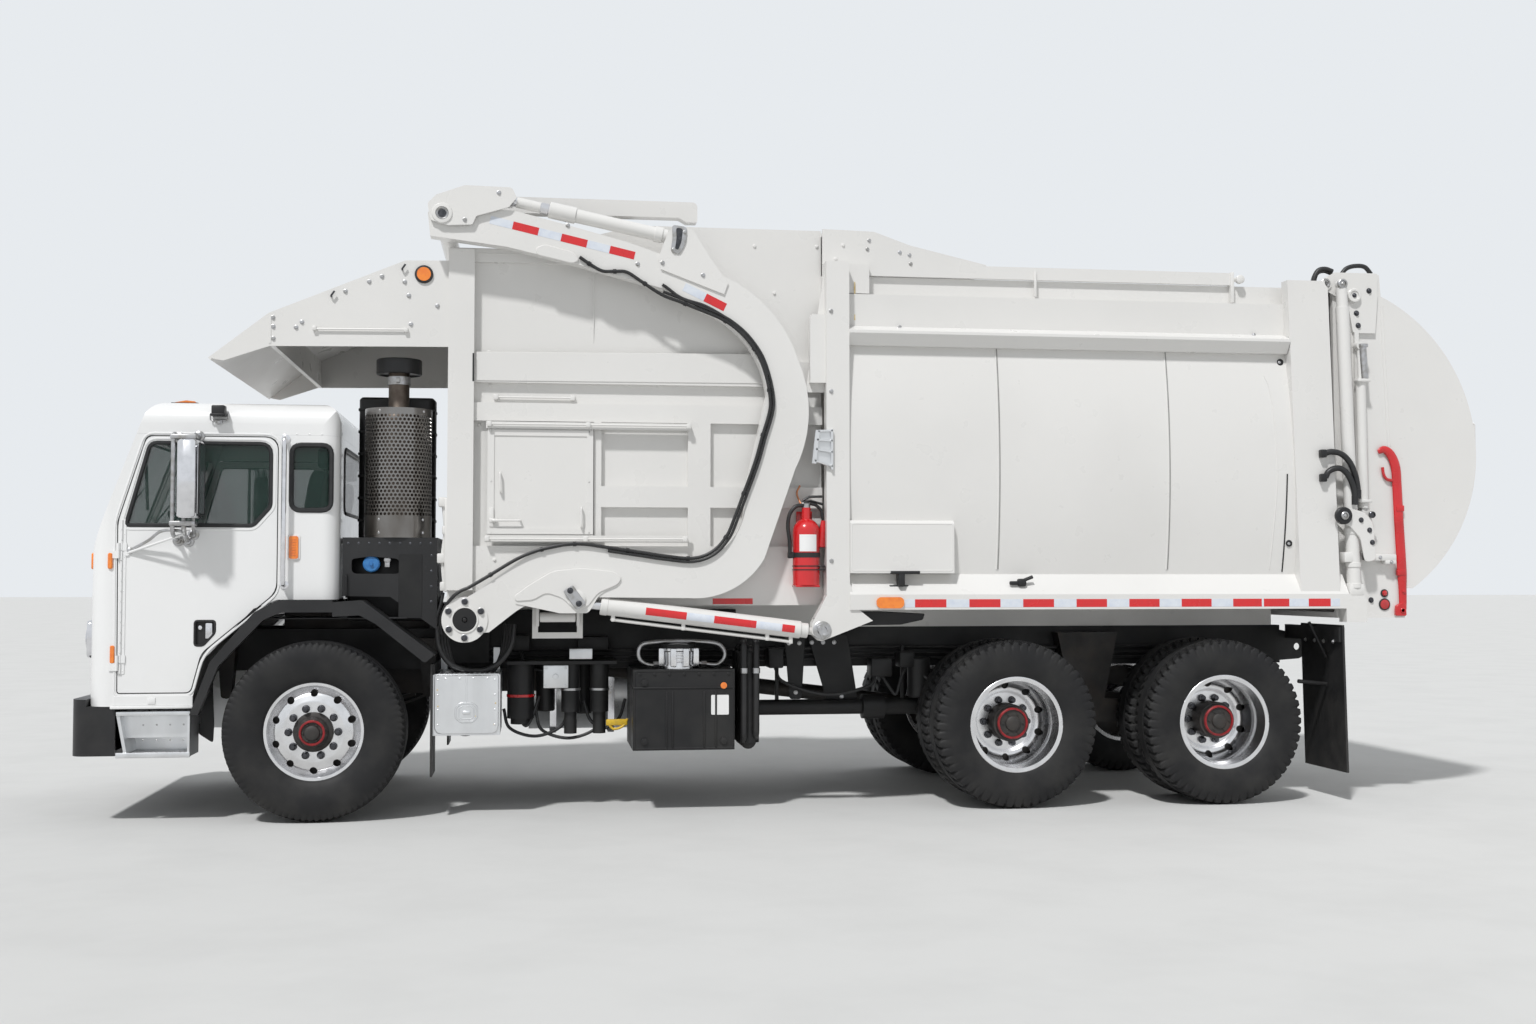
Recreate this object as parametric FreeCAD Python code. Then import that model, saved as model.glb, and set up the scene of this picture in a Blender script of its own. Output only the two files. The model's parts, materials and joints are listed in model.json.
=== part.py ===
# Front-loading garbage truck: a low cabover on three axles, with a hopper and a packer body behind the cab,
# over-the-cab lift arms with folding forks, and a curved tailgate hung from the top of the body.
# Lengths are in millimetres. Pieces are laid out with x from the front axle towards the tailgate, y from the
# truck's middle plane (the left-hand side is negative) and z from the ground. place() then moves them so that
# the origin is on the ground under the middle of the truck.

import FreeCAD
import Part
import math
import os

# Length of the truck and the places of its axles
front_overhang = 1400
first_drive_axle = 4288
tandem_spacing = 1372
second_drive_axle = first_drive_axle + tandem_spacing
hopper_front = 760
hopper_length = 2310
body_front = hopper_front + hopper_length
body_rear = second_drive_axle + 510
tail_bulge = 1288
overall_length = front_overhang + body_rear + tail_bulge

# Wheels and tyres
rim_bead_radius = 285
front_tyre_radius = 535
front_tyre_width = 315
front_tyre_y = 1057
drive_tyre_radius = 525
drive_tyre_width = 280
drive_tyre_y = 1080
dual_spacing = 335
rim_width = 230
rim_wall = 12
hub_bore_radius = 50
hub_radius = 108
pin_radius = 16
nut_circle = 143
nut_radius = 17
nut_count = 10
hand_hole_circle = 229
hand_hole_radius = 22

# Chassis frame
frame_half = 432
frame_top = 1120
rail_height = 260
rail_flange = 85
rail_wall = 9
frame_front = -1150
frame_rear = body_rear + 230
tow_plate = 25
tow_hole_radius = 25
tow_reach = 185
tow_hole_x = frame_rear + 130

# Steering axle
kingpin_y = 850
kingpin_radius = 22
beam_height = 110
spring_half = 620
diff_nose = 255

# Cab
cab_half = 1100
seat_y = cab_half - 460
cab_front = -1310
cab_rear = 120
cab_bottom = 690
cab_roof = 2495
cab_wall = 45
cab_round = 130
windscreen_base = 1612
windscreen_lean = 323
door_gap = 6
arch_top = 1315
door_hinge_x = -1136
hinge_levels = (900, 1560)
glass_thick = 8
glass_inset = 14

# Hopper and body
body_half = 1250
body_side = body_half - 100
roof_half = body_half - 169
post_outer = body_half - 12
post_inner = body_half - 99
hopper_half = body_half - 165
chute_half = hopper_half - 100
wall = 45
floor_top = 1380
floor_thick = 60
hopper_top = 3470
hood_top = 3640
roof_top = 3350
roof_thick = 50
tail_lean = 62
post_depth = 268

# Lift arms and forks
arm_inner = body_half - 110
arm_outer = body_half + 10
arm_pivot_x = 876
arm_pivot_z = 1195
arm_hub_radius = 136
torque_tube_radius = 64
fork_pivot_x = 726
fork_pivot_z = 3631
fork_tube_radius = 55
tine_y = arm_inner - 155
tine_width = 90
lift_pin_x = 1533
lift_pin_z = 1296
lift_base_x = body_front - 40
lift_base_z = 1110
lift_cylinder_y = body_half - 56
crank_pin_x = 1123
crank_pin_z = 3735
fork_base_x = 2152
fork_base_z = 3530
fork_cylinder_y = body_half - 54

# Tailgate
tail_half = body_half - 114
tail_pivot_x = body_rear + 231
tail_pivot_z = 3368
tail_bottom = 1185
tail_wall = 35
tail_pin_x = body_rear + 315
tail_pin_z = 3356
tail_base_x = body_rear + 375
tail_base_z = 1330
tail_cylinder_y = body_half - 38
running_fit = 0.08
seat_gap = 0.3

V = FreeCAD.Vector
ORIGIN = V(0, 0, 0)
ALONG = {"xy": V(0, 0, 1), "xz": V(0, 1, 0), "yz": V(1, 0, 0)}


def point(plane, u, v):
    # A point of a drawing plane: the first letter is across, the second is up
    if plane == "xy":
        return V(u, v, 0)
    if plane == "xz":
        return V(u, 0, v)
    return V(0, u, v)


def outline(plane, corners):
    # A closed wire through corners (u, v) or (u, v, radius), each radius rounding its corner with an arc
    count = len(corners)
    edges = []
    starts = []
    for i, corner in enumerate(corners):
        here = point(plane, corner[0], corner[1])
        radius = corner[2] if len(corner) > 2 else 0
        before = point(plane, *corners[i - 1][:2])
        after = point(plane, *corners[(i + 1) % count][:2])
        back = before.sub(here).normalize()
        ahead = after.sub(here).normalize()
        half = math.acos(max(-1.0, min(1.0, back.dot(ahead)))) / 2
        if radius <= 0 or half > math.pi / 2 - 0.01:
            starts.append((here, None, here))
            continue
        reach = radius / math.tan(half)
        middle = back.add(ahead).normalize()
        centre = here.add(middle.multiply(radius / math.sin(half)))
        first = here.add(V(back).multiply(reach))
        last = here.add(V(ahead).multiply(reach))
        inward = here.sub(centre).normalize().multiply(radius)
        starts.append((first, centre.add(inward), last))
    for i, (first, mid, last) in enumerate(starts):
        if mid is not None:
            edges.append(Part.Arc(first, mid, last).toShape())
        following = starts[(i + 1) % count][0]
        if last.distanceToPoint(following) > 1e-6:
            edges.append(Part.makeLine(last, following))
    return Part.Wire(edges)


def prism(plane, corners, low, high):
    # The outline pushed from low to high along the plane's own normal
    face = Part.Face(outline(plane, corners))
    along = ALONG[plane]
    solid = face.extrude(V(along).multiply(high - low))
    solid.translate(V(along).multiply(low))
    return solid


def box(x0, x1, y0, y1, z0, z1):
    return Part.makeBox(x1 - x0, y1 - y0, z1 - z0, V(x0, y0, z0))


def rod(start, end, radius):
    # A round bar between two points
    a, b = V(*start), V(*end)
    return Part.makeCylinder(radius, a.distanceToPoint(b), a, b.sub(a))


def pin(x, z, radius, y0, y1):
    return Part.makeCylinder(radius, y1 - y0, V(x, y0, z), V(0, 1, 0))


def turned(profile, x, z):
    # A profile of (radius, y) corners turned about the axle line through x, z
    face = Part.Face(outline("yz", [(c[1], c[0], *c[2:]) for c in profile]))
    solid = face.revolve(ORIGIN, V(0, 1, 0), 360)
    solid.translate(V(x, 0, z))
    return solid


def fuse(*shapes):
    solid = shapes[0].multiFuse(list(shapes[1:])) if len(shapes) > 1 else shapes[0]
    return solid.removeSplitter()


def cut(shape, *tools):
    return shape.cut(list(tools))


def mirrored(shape):
    return shape.mirror(ORIGIN, V(0, 1, 0))


def both(*shapes):
    # The left-hand pieces and their right-hand twins
    return [*shapes, *[mirrored(s) for s in shapes]]


def tube_path(points, radius, bend):
    # A bent tube: straight runs joined by tangent arcs, each as large as bend or as its runs allow
    nodes = [V(*p) for p in points]
    edges = []
    at = nodes[0]
    for i in range(1, len(nodes) - 1):
        here = nodes[i]
        back = nodes[i - 1].sub(here)
        ahead = nodes[i + 1].sub(here)
        room = 0.45 * min(back.Length, ahead.Length)
        back.normalize()
        ahead.normalize()
        half = math.acos(max(-1.0, min(1.0, back.dot(ahead)))) / 2
        reach = min(room, bend / math.tan(half))
        size = reach * math.tan(half)
        centre = here.add(back.add(ahead).normalize().multiply(size / math.sin(half)))
        first = here.add(V(back).multiply(reach))
        last = here.add(V(ahead).multiply(reach))
        mid = centre.add(here.sub(centre).normalize().multiply(size))
        edges.append(Part.makeLine(at, first))
        edges.append(Part.Arc(first, mid, last).toShape())
        at = last
    edges.append(Part.makeLine(at, nodes[-1]))
    path = Part.Wire(edges)
    start = Part.Wire(Part.makeCircle(radius, nodes[0], nodes[1].sub(nodes[0])))
    return path.makePipeShell([start], True, False)


def place(shape):
    return shape.translated(V(front_overhang - overall_length / 2, 0, 0))


def save(name, shapes):
    solids = []
    for shape in shapes if isinstance(shapes, list) else [shapes]:
        solids += shape.Solids
    placed = place(Part.makeCompound(solids))
    placed.exportStep(os.path.join("parts", name + ".step"))


# Wheels


def tyre(radius, width, middle, x):
    half = width / 2
    shoulder = 45
    tread_drop = 14
    bulge = 12
    lip = rim_width / 2 - rim_wall - 0.5
    flange = rim_bead_radius + 18
    profile = [
        (rim_bead_radius, middle - lip),
        (flange, middle - lip),
        (rim_bead_radius + 60, middle - half + 4, 30),
        (radius - 130, middle - half, 90),
        (radius - tread_drop, middle - half + bulge, shoulder),
        (radius, middle - half + 60, 40),
        (radius, middle + half - 60, 40),
        (radius - tread_drop, middle + half - bulge, shoulder),
        (radius - 130, middle + half, 90),
        (rim_bead_radius + 60, middle + half - 4, 30),
        (flange, middle + lip),
        (rim_bead_radius, middle + lip),
    ]
    return turned(profile, x, radius)


def rim(middle, face, x, z, outward):
    # The barrel with its two flanges, and the disc at face; outward is the side that the disc bulges to
    edge = rim_width / 2
    bead = rim_bead_radius - 0.3
    flange = 302
    inner = bead - rim_wall
    lip = [
        (inner, middle - edge),
        (flange, middle - edge - 2, 6),
        (flange, middle - edge + rim_wall),
        (bead, middle - edge + rim_wall),
        (bead, middle + edge - rim_wall),
        (flange, middle + edge - rim_wall),
        (flange, middle + edge + 2, 6),
        (inner, middle + edge),
        (inner - 14, middle + 20, 40),
        (inner - 14, middle - 20, 40),
    ]
    barrel = turned(lip, x, z)
    thick = 16 * outward
    meet = middle + math.copysign(70, face - middle)
    disc = [
        (hub_radius + 2, face),
        (180, face, 30),
        (225, face - outward * 14, 40),
        (inner - 6, meet),
        (inner - 6, meet - thick * 1.2),
        (215, face - outward * 14 - thick * 1.2, 40),
        (176, face - thick, 30),
        (hub_radius + 2, face - thick),
    ]
    body = fuse(barrel, turned(disc, x, z))
    holes = []
    for k in range(nut_count):
        turn = math.radians(360 / nut_count * (k + 0.5))
        hx = x + hand_hole_circle * math.cos(turn)
        hz = z + hand_hole_circle * math.sin(turn)
        holes.append(pin(hx, hz, hand_hole_radius, face - 75, face + 75))
    return cut(body, *holes)


def nuts(face, outward, x, z):
    made = []
    for k in range(nut_count):
        turn = math.radians(360 / nut_count * k)
        nx = x + nut_circle * math.cos(turn)
        nz = z + nut_circle * math.sin(turn)
        low, high = sorted((face - outward * 2, face + outward * 34))
        made.append(pin(nx, nz, nut_radius, low, high))
    return made


def front_wheel():
    # Left-hand steering wheel: the disc stands near the outer face, with the hub cap through it
    x, z = 0, front_tyre_radius
    face = -front_tyre_y - 128
    shell = rim(-front_tyre_y, face, x, z, -1)
    drum = fuse(
        pin(x, z, hub_radius + 3, face - 6, face + 60),
        pin(x, z, 165, face + 16, face + 40),
        pin(x, z, hub_radius, face + 60, -front_tyre_y + 115),
        Part.makeCone(74, 66, 60, V(x, face - 6, z), V(0, -1, 0)),
    )
    bore = pin(x, z, hub_bore_radius + running_fit, -front_tyre_y - 61, -front_tyre_y + 130)
    return cut(fuse(shell, drum, *nuts(face, -1, x, z)), bore)


def drive_wheels(x):
    # Left-hand pair: two rims back to back on one hub, whose end stands out in the dish of the outer one
    z = drive_tyre_radius
    outer = -drive_tyre_y
    inner = outer + dual_spacing
    face = (outer + inner) / 2
    shell_out = rim(outer, face - 17, x, z, -1)
    shell_in = mirrored(rim(-inner, -face - 17, x, z, -1))
    drum = fuse(
        pin(x, z, hub_radius + 3, face - 30, face + 30),
        pin(x, z, 165, face - 3, face + 3),
        pin(x, z, hub_radius, face - 150, face - 30),
        pin(x, z, 78, face - 185, face - 150),
        pin(x, z, hub_radius, face + 30, inner + 110),
    )
    bore = pin(x, z, hub_bore_radius + running_fit, face - 110, inner + 140)
    return cut(fuse(shell_out, shell_in, drum, *nuts(face - 17, -1, x, z)), bore)


# Axles and frame


def front_axle():
    z = front_tyre_radius
    half = beam_height / 2
    web = box(-14, 14, -630, 630, z - 95 - half, z - 95 + half)
    flanges = [
        box(-48, 48, -630, 630, z - 95 - half, z - 95 - half + 22),
        box(-48, 48, -630, 630, z - 95 + half - 22, z - 95 + half),
    ]
    ends = []
    bores = []
    for side in (-1, 1):
        rise = [
            (side * 600, z - 95 - half),
            (side * 640, z - 95 - half),
            (side * 742, z - 60, 20),
            (side * (kingpin_y + 10), z - 60),
            (side * (kingpin_y + 10), z + 60),
            (side * (kingpin_y - 60), z + 60),
            (side * 640, z - 95 + half),
        ]
        ends.append(prism("yz", rise, -40, 40))
        ends.append(Part.makeCylinder(58, 120, V(0, side * kingpin_y, z - 60)))
        bores.append(Part.makeCylinder(kingpin_radius + running_fit, 160, V(0, side * kingpin_y, z - 80)))
    pads = []
    for side in (-1, 1):
        middle = side * 480
        pads.append(box(-90, 90, middle - 42, middle + 42, z - 95 + half - 1, z + 15))
        pads.append(leaf_spring(side, z))
    return cut(fuse(web, *flanges, *ends, *pads), *bores)


def leaf_spring(side, z):
    # Three leaves bent to one curve, the longest with an eye at each end in its frame bracket
    low, high = sorted((side * 444, side * 516))
    rise = 130
    leaves = []
    for k in range(3):
        reach = spring_half - 150 * k
        bottom = z + 5 + 14 * (2 - k)
        sag = rise * (reach / spring_half) ** 2
        lower = Part.Arc(V(-reach, 0, bottom + sag), V(0, 0, bottom), V(reach, 0, bottom + sag))
        upper = Part.Arc(V(reach, 0, bottom + sag + 14), V(0, 0, bottom + 14), V(-reach, 0, bottom + sag + 14))
        ends = [
            Part.makeLine(V(reach, 0, bottom + sag), V(reach, 0, bottom + sag + 14)),
            Part.makeLine(V(-reach, 0, bottom + sag + 14), V(-reach, 0, bottom + sag)),
        ]
        wire = Part.Wire([lower.toShape(), ends[0], upper.toShape(), ends[1]])
        leaf = Part.Face(wire).extrude(V(0, high - low, 0))
        leaf.translate(V(0, low, 0))
        leaves.append(leaf)
    eyes = []
    for end in (-1, 1):
        top = z + 5 + 28 + rise + 14
        eyes.append(pin(end * spring_half, top, 24, low, high))
        hanger = [
            (end * (spring_half - 60), frame_top - 60),
            (end * (spring_half + 60), frame_top - 60),
            (end * (spring_half + 30), top - 20, 20),
            (end * (spring_half - 30), top - 20, 20),
        ]
        inner = (side * frame_half, side * (frame_half + 100))
        eyes.append(prism("xz", hanger, min(inner), max(inner)))
    return fuse(*leaves, *eyes)


def knuckle():
    # Left-hand knuckle: two ears above and below the beam's end, and the spindle that carries the wheel
    z = front_tyre_radius
    y = -kingpin_y
    ears = [
        prism("xy", [(-62, y + 55, 40), (62, y + 55, 40), (70, y - 90), (-70, y - 90)], z + 65, z + 95),
        prism("xy", [(-62, y + 55, 40), (62, y + 55, 40), (70, y - 90), (-70, y - 90)], z - 95, z - 65),
    ]
    back = box(-70, 70, y - 90, y - 65, z - 95, z + 95)
    spindle = pin(0, z, hub_bore_radius, -front_tyre_y - 55, y - 70)
    caps = [
        Part.makeCylinder(42, 12, V(0, y, z + 95)),
        Part.makeCylinder(42, 12, V(0, y, z - 107)),
        Part.makeCylinder(kingpin_radius, 200, V(0, y, z - 100)),
    ]
    arm = prism("xy", [(50, y - 80), (70, y - 80), (170, y + 30, 6), (150, y + 45, 6), (50, y - 30)], z - 94, z - 72)
    return fuse(*ears, back, spindle, *caps, arm)


def drive_axles():
    pieces = []
    z = drive_tyre_radius
    for x in (first_drive_axle, second_drive_axle):
        tube = pin(x, z, 68, -590, 590)
        spindles = pin(x, z, hub_bore_radius, -1000, 1000)
        bowl = Part.makeCylinder(205, 210, V(x - 105, 0, z), V(1, 0, 0))
        nose = Part.makeCone(150, 80, diff_nose - 105, V(x - 105, 0, z), V(-1, 0, 0))
        pieces += [tube, spindles, bowl, nose]
    middle = (first_drive_axle + second_drive_axle) / 2
    for side in (-1, 1):
        low, high = sorted((side * 470, side * 560))
        beam = [
            (first_drive_axle - 95, z - 45, 30),
            (second_drive_axle + 95, z - 45, 30),
            (second_drive_axle + 95, z + 60, 30),
            (middle + 130, z + 110),
            (middle - 130, z + 110),
            (first_drive_axle - 95, z + 60, 30),
        ]
        saddle = [
            (middle - 210, frame_top - 40),
            (middle + 210, frame_top - 40),
            (middle + 110, z + 90, 30),
            (middle - 110, z + 90, 30),
        ]
        inner, outer = sorted((side * frame_half, side * 560))
        pieces.append(prism("xz", beam, low, high))
        pieces.append(prism("xz", saddle, inner, outer))
    return fuse(*pieces)


def driveline():
    # Gearbox behind the engine and the shaft to the first drive axle
    gearbox = fuse(
        box(815, 1330, -230, 230, 700, 1090),
        Part.makeCone(190, 90, 260, V(1330, 0, 880), V(1, 0, 0)),
    )
    joint_radius = 78
    start = (1600, 0, 850)
    end = (first_drive_axle - diff_nose - joint_radius - seat_gap, 0, drive_tyre_radius + 40)
    shaft = fuse(
        rod(start, end, 52),
        Part.makeSphere(joint_radius, V(*start)),
        Part.makeSphere(joint_radius, V(*end)),
    )
    return fuse(gearbox, shaft)


def chassis_frame():
    bottom = frame_top - rail_height
    rails = []
    for side in (-1, 1):
        web = sorted((side * frame_half, side * (frame_half - rail_wall)))
        lip = sorted((side * frame_half, side * (frame_half - rail_flange)))
        rails.append(box(frame_front, frame_rear, *web, bottom, frame_top))
        rails.append(box(frame_front, frame_rear, *lip, bottom, bottom + rail_wall))
        rails.append(box(frame_front, frame_rear, *lip, frame_top - rail_wall, frame_top))
        plate = sorted((side * frame_half, side * (frame_half - tow_plate)))
        tow = [
            (frame_rear - 120, bottom + rail_wall),
            (frame_rear + tow_reach, bottom + 30, 60),
            (frame_rear + tow_reach, bottom + 190, 60),
            (frame_rear - 120, frame_top - rail_wall),
        ]
        eye = pin(tow_hole_x, bottom + 110, tow_hole_radius, -frame_half - 10, frame_half + 10)
        rails.append(cut(prism("xz", tow, *plate), eye))
    inside = frame_half - rail_wall
    middle = (first_drive_axle + second_drive_axle) / 2
    for x in (-1090, -420, 1980, body_front - 170, body_front + 490, middle, frame_rear - 70):
        rails.append(box(x - 8, x + 8, -inside, inside, bottom + 30, frame_top - 30))
        rails.append(box(x - 50, x + 50, -inside, inside, bottom + 30, bottom + 40))
        rails.append(box(x - 50, x + 50, -inside, inside, frame_top - 40, frame_top - 30))
    return fuse(*rails, *arm_bearings(), valve_shelf())


def valve_shelf():
    # Shelf on the left rail with the air dryer, two small canisters and the valve block, ahead of the tank
    shelf = box(1120, 1800, -860, -frame_half, 905, 925)
    dryer = fuse(
        Part.makeCylinder(84, 340, V(1205, -740, 566)),
        Part.makeCylinder(62, 40, V(1205, -740, 530)),
    )
    block = box(1342, 1505, -850, -640, 755, 906)
    cans = [Part.makeCylinder(58, 300, V(x, -780, 606)) for x in (1515, 1695)]
    feet = [Part.makeCylinder(40, 140, V(x, -780, 470)) for x in (1515, 1695)]
    return fuse(shelf, dryer, block, *cans, *feet)


def engine_block():
    # The engine as one block, on two mounts between the frame rails
    half = frame_half - rail_wall - seat_gap
    mounts = [box(x, x + 90, -half, half, 900, 960) for x in (-180, 560)]
    return fuse(box(-300, 800, -330, 330, 700, 1280), *mounts)


# Cab


def cab_block(inset, low_inset=None):
    # The cab's outer form drawn in by inset: side, plan and front outlines crossed with each other
    low = inset if low_inset is None else low_inset
    slope = windscreen_lean / (cab_roof - windscreen_base)
    screen = inset * math.hypot(1, slope)
    front = cab_front + inset
    rear = cab_rear - inset
    top = cab_roof - inset
    base = cab_bottom + low
    side = [
        (front, base),
        (cab_front + 12 + inset, windscreen_base, 60),
        (cab_front + 12 + windscreen_lean + screen, top, cab_round - inset),
        (rear, top, 110 - inset),
        (rear, arch_top + low),
        (-232 - low * 0.3, arch_top + low, 60),
        (-365 - low * 0.7, 1262 + low * 0.6),
        (-652 - low, 960 + low * 0.4),
        (-720 - low, base),
    ]
    half = cab_half - inset
    plan = [
        (front, -half, cab_round - inset),
        (rear, -half, 90 - inset),
        (rear, half, 90 - inset),
        (front, half, cab_round - inset),
    ]
    nose = [
        (-half, base - 10),
        (half, base - 10),
        (half, top, cab_round - inset),
        (-half, top, cab_round - inset),
    ]
    body = prism("xz", side, -cab_half - 50, cab_half + 50)
    body = body.common(prism("yz", nose, cab_front - 50, cab_rear + 50))
    body = body.common(prism("xy", plan, cab_bottom - 50, cab_roof + 50))
    tunnel = box(-1200 - inset, cab_rear + 50, -560 - inset, 560 + inset, 0, 1200 + inset)
    return cut(body, tunnel)


def offset_prism(plane, corners, by, low, high):
    # The prism of an outline moved out by a fixed distance, or in where it is negative
    face = Part.Face(outline(plane, corners)).makeOffset2D(by)
    solid = face.extrude(V(ALONG[plane]).multiply(high - low))
    solid.translate(V(ALONG[plane]).multiply(low))
    return solid


def door_corners():
    return [
        (-1132, 770, 12),
        (-722, 770, 30),
        (-664, 1000, 120),
        (-236, 1362, 90),
        (-236, 2284, 75),
        (-985, 2284, 40),
        (-1142, 1775, 60),
    ]


def window_corners():
    return [
        (-1092, 1762, 14),
        (-962, 2240, 40),
        (-280, 2240, 60),
        (-280, 1873, 20),
        (-376, 1762, 20),
    ]


side_window = [(-150, 1855, 50), (70, 1855, 50), (70, 2235, 50), (-150, 2235, 50)]
rear_half = cab_half - 300
rear_window = [(y, z, 70) for y, z in ((-rear_half, 1850), (rear_half, 1850), (rear_half, 2240), (-rear_half, 2240))]
screen_bar = 28


def screen_corners(side):
    # One half of the windscreen, seen from the front
    low, high = sorted((side * screen_bar, side * (cab_half - 115)))
    return [(low, 1690, 60), (high, 1690, 60), (high, 2268, 60), (low, 2268, 60)]


def cab_shell():
    wall_shape = cut(cab_block(0), cab_block(cab_wall))
    side_skin = cab_half - cab_wall - 5
    tools = [
        offset_prism("xz", door_corners(), door_gap, -cab_half - 10, -side_skin),
        offset_prism("xz", door_corners(), door_gap, side_skin, cab_half + 10),
        prism("xz", side_window, -cab_half - 10, cab_half + 10),
        prism("yz", rear_window, cab_rear - 80, cab_rear + 10),
        prism("yz", screen_corners(-1), cab_front - 10, -800),
        prism("yz", screen_corners(1), cab_front - 10, -800),
    ]
    shell = cut(wall_shape, *tools)
    seam = 2298
    plates = [hinge_leaf(z, z + 45, -1) for z in hinge_levels]
    shell = fuse(shell, *plates, *[mirrored(p) for p in plates])
    roof = shell.common(box(cab_front - 50, cab_rear + 50, -cab_half - 50, cab_half + 50, seam + 0.5, cab_roof + 50))
    lower = shell.common(box(cab_front - 50, cab_rear + 50, -cab_half - 50, cab_half + 50, 0, seam))
    return [roof, lower]


def cab_glass():
    layer = cut(cab_block(glass_inset), cab_block(glass_inset + glass_thick))
    panes = [
        layer.common(offset_prism("yz", screen_corners(side), -seat_gap, cab_front - 10, -800))
        for side in (-1, 1)
    ]
    panes.append(layer.common(offset_prism("yz", rear_window, -seat_gap, cab_rear - 80, cab_rear + 10)))
    for low, high in ((-cab_half - 10, -cab_half + 100), (cab_half - 100, cab_half + 10)):
        panes.append(layer.common(offset_prism("xz", side_window, -seat_gap, low, high)))
    return panes


def door():
    # Left-hand door: one thickness of the cab's wall, with its window cut and the pull handle's recess
    slab = cut(cab_block(0), cab_block(cab_wall))
    panel = slab.common(prism("xz", door_corners(), -cab_half - 5, -cab_half + cab_wall))
    window = prism("xz", window_corners(), -cab_half - 10, -cab_half + 170)
    grip = [(-700, 1045, 15), (-652, 1045, 15), (-585, 1120, 15), (-585, 1190, 15), (-700, 1190, 15)]
    recess = prism("xz", grip, -cab_half - 5, -cab_half + 26)
    hinges = [hinge_leaf(z + 45 + seat_gap, z + 90, 1) for z in hinge_levels]
    return fuse(cut(panel, window, recess), *hinges)


def hinge_leaf(low, high, way):
    # Half of a door hinge: its barrel and a leaf that lies on the door or, for way -1, on the cab
    x, y = door_hinge_x, -cab_half - 12
    far = x + way * 46
    near, end = sorted((x + way * 3, far))
    barrel = Part.makeCylinder(10, high - low, V(x, y, low))
    leaf = box(near, end, -cab_half - 9, -cab_half, low, high)
    return fuse(barrel, leaf)


def door_glass():
    layer = cut(cab_block(glass_inset), cab_block(glass_inset + glass_thick))
    return layer.common(offset_prism("xz", window_corners(), -seat_gap, -cab_half - 5, -cab_half + cab_wall))


def mirror():
    # Left-hand mirror: a tall head held off the door by two bent tubes and a front stay
    y = -cab_half
    out = y - 150
    tube = 11
    form = [(-738, out - 110, 40), (-660, out - 110, 20), (-642, out + 70, 20), (-738, out + 70, 30)]
    head = prism("xy", form, 1800, 2240)
    bends = [(-742, y + 1, 2260), (-742, out + 5, 2280), (-742, out + 5, 1700), (-742, y + 1, 1660)]
    main = tube_path(bends, tube, 60)
    brace = rod((-742, out + 5, 1700), (-1090, y + 1, 1590), 8)
    feet = [
        Part.makeCylinder(22, 8, V(-742, y, 2260), V(0, -1, 0)),
        Part.makeCylinder(22, 8, V(-742, y, 1660), V(0, -1, 0)),
        Part.makeCylinder(16, 8, V(-1090, y, 1590), V(0, -1, 0)),
    ]
    return fuse(head, main, brace, *feet)


def cab_interior():
    # Two seats, the dashboard and the steering wheel, as they show through the glass
    pieces = []
    for side in (-1, 1):
        y = side * seat_y
        floor = arch_top + cab_wall + seat_gap
        base = prism("xz", [(-300, floor), (-80, floor), (-80, 1510), (-470, 1510), (-470, 1470)], y - 210, y + 210)
        cushion = prism("xz", [(-520, 1500, 20), (-60, 1500, 20), (-60, 1620, 40), (-520, 1640, 50)], y - 240, y + 240)
        back = prism("xz", [(-190, 1600), (-60, 1600), (30, 2120, 40), (-70, 2130, 40)], y - 230, y + 230)
        rest = prism("xz", [(-50, 2110, 30), (50, 2110, 30), (60, 2260, 40), (-40, 2260, 40)], y - 130, y + 130)
        pieces.append(fuse(base, cushion, back, rest))
    back = cab_front + 12 + cab_wall + seat_gap
    form = [(back, 1250), (-1000, 1250, 30), (-950, 1560, 60), (-1080, 1640, 40), (back + 32, 1640), (back, 1590)]
    dash = prism("xz", form, 140 - cab_half, cab_half - 140)
    column = rod((-1010, -seat_y, 1500), (-800, -seat_y, 1700), 28)
    wheel = Part.makeTorus(215, 14, V(-795, -seat_y, 1705), V(0.69, 0, 0.72))
    spokes = rod((-795, -seat_y - 215, 1705), (-795, 215 - seat_y, 1705), 11)
    boss = rod((-815, -seat_y, 1685), (-785, -seat_y, 1715), 60)
    pieces.append(fuse(dash, column, wheel, spokes, boss))
    return pieces


def front_bumper():
    front, rear, half = -front_overhang, -1146, cab_half - 10
    lip = cab_front - seat_gap
    shell = prism("xy", [(front, -half, 90), (rear, -half), (rear, half), (front, half, 90)], 400, 732)
    hollow = prism("xy", [(front + 48, 20 - half, 60), (rear + 9, 20 - half), (rear + 9, half - 20), (front + 48, half - 20, 60)], 430, 664)
    under_cab = box(lip, rear + 9, -half - 9, half + 9, cab_bottom - seat_gap, 750)
    horns = []
    for side in (-1, 1):
        low, high = sorted((side * 330, side * 420))
        horns.append(box(front + 40, frame_front - seat_gap, low, high, 430, 660))
        horns.append(box(frame_front - 45, frame_front - seat_gap, low, high, 430, frame_top - 60))
    return fuse(cut(shell, hollow, under_cab), *horns)


def nose_x(z):
    # Where the cab's front face stands at this level
    return cab_front + 12 * (z - cab_bottom) / (windscreen_base - cab_bottom)


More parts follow.
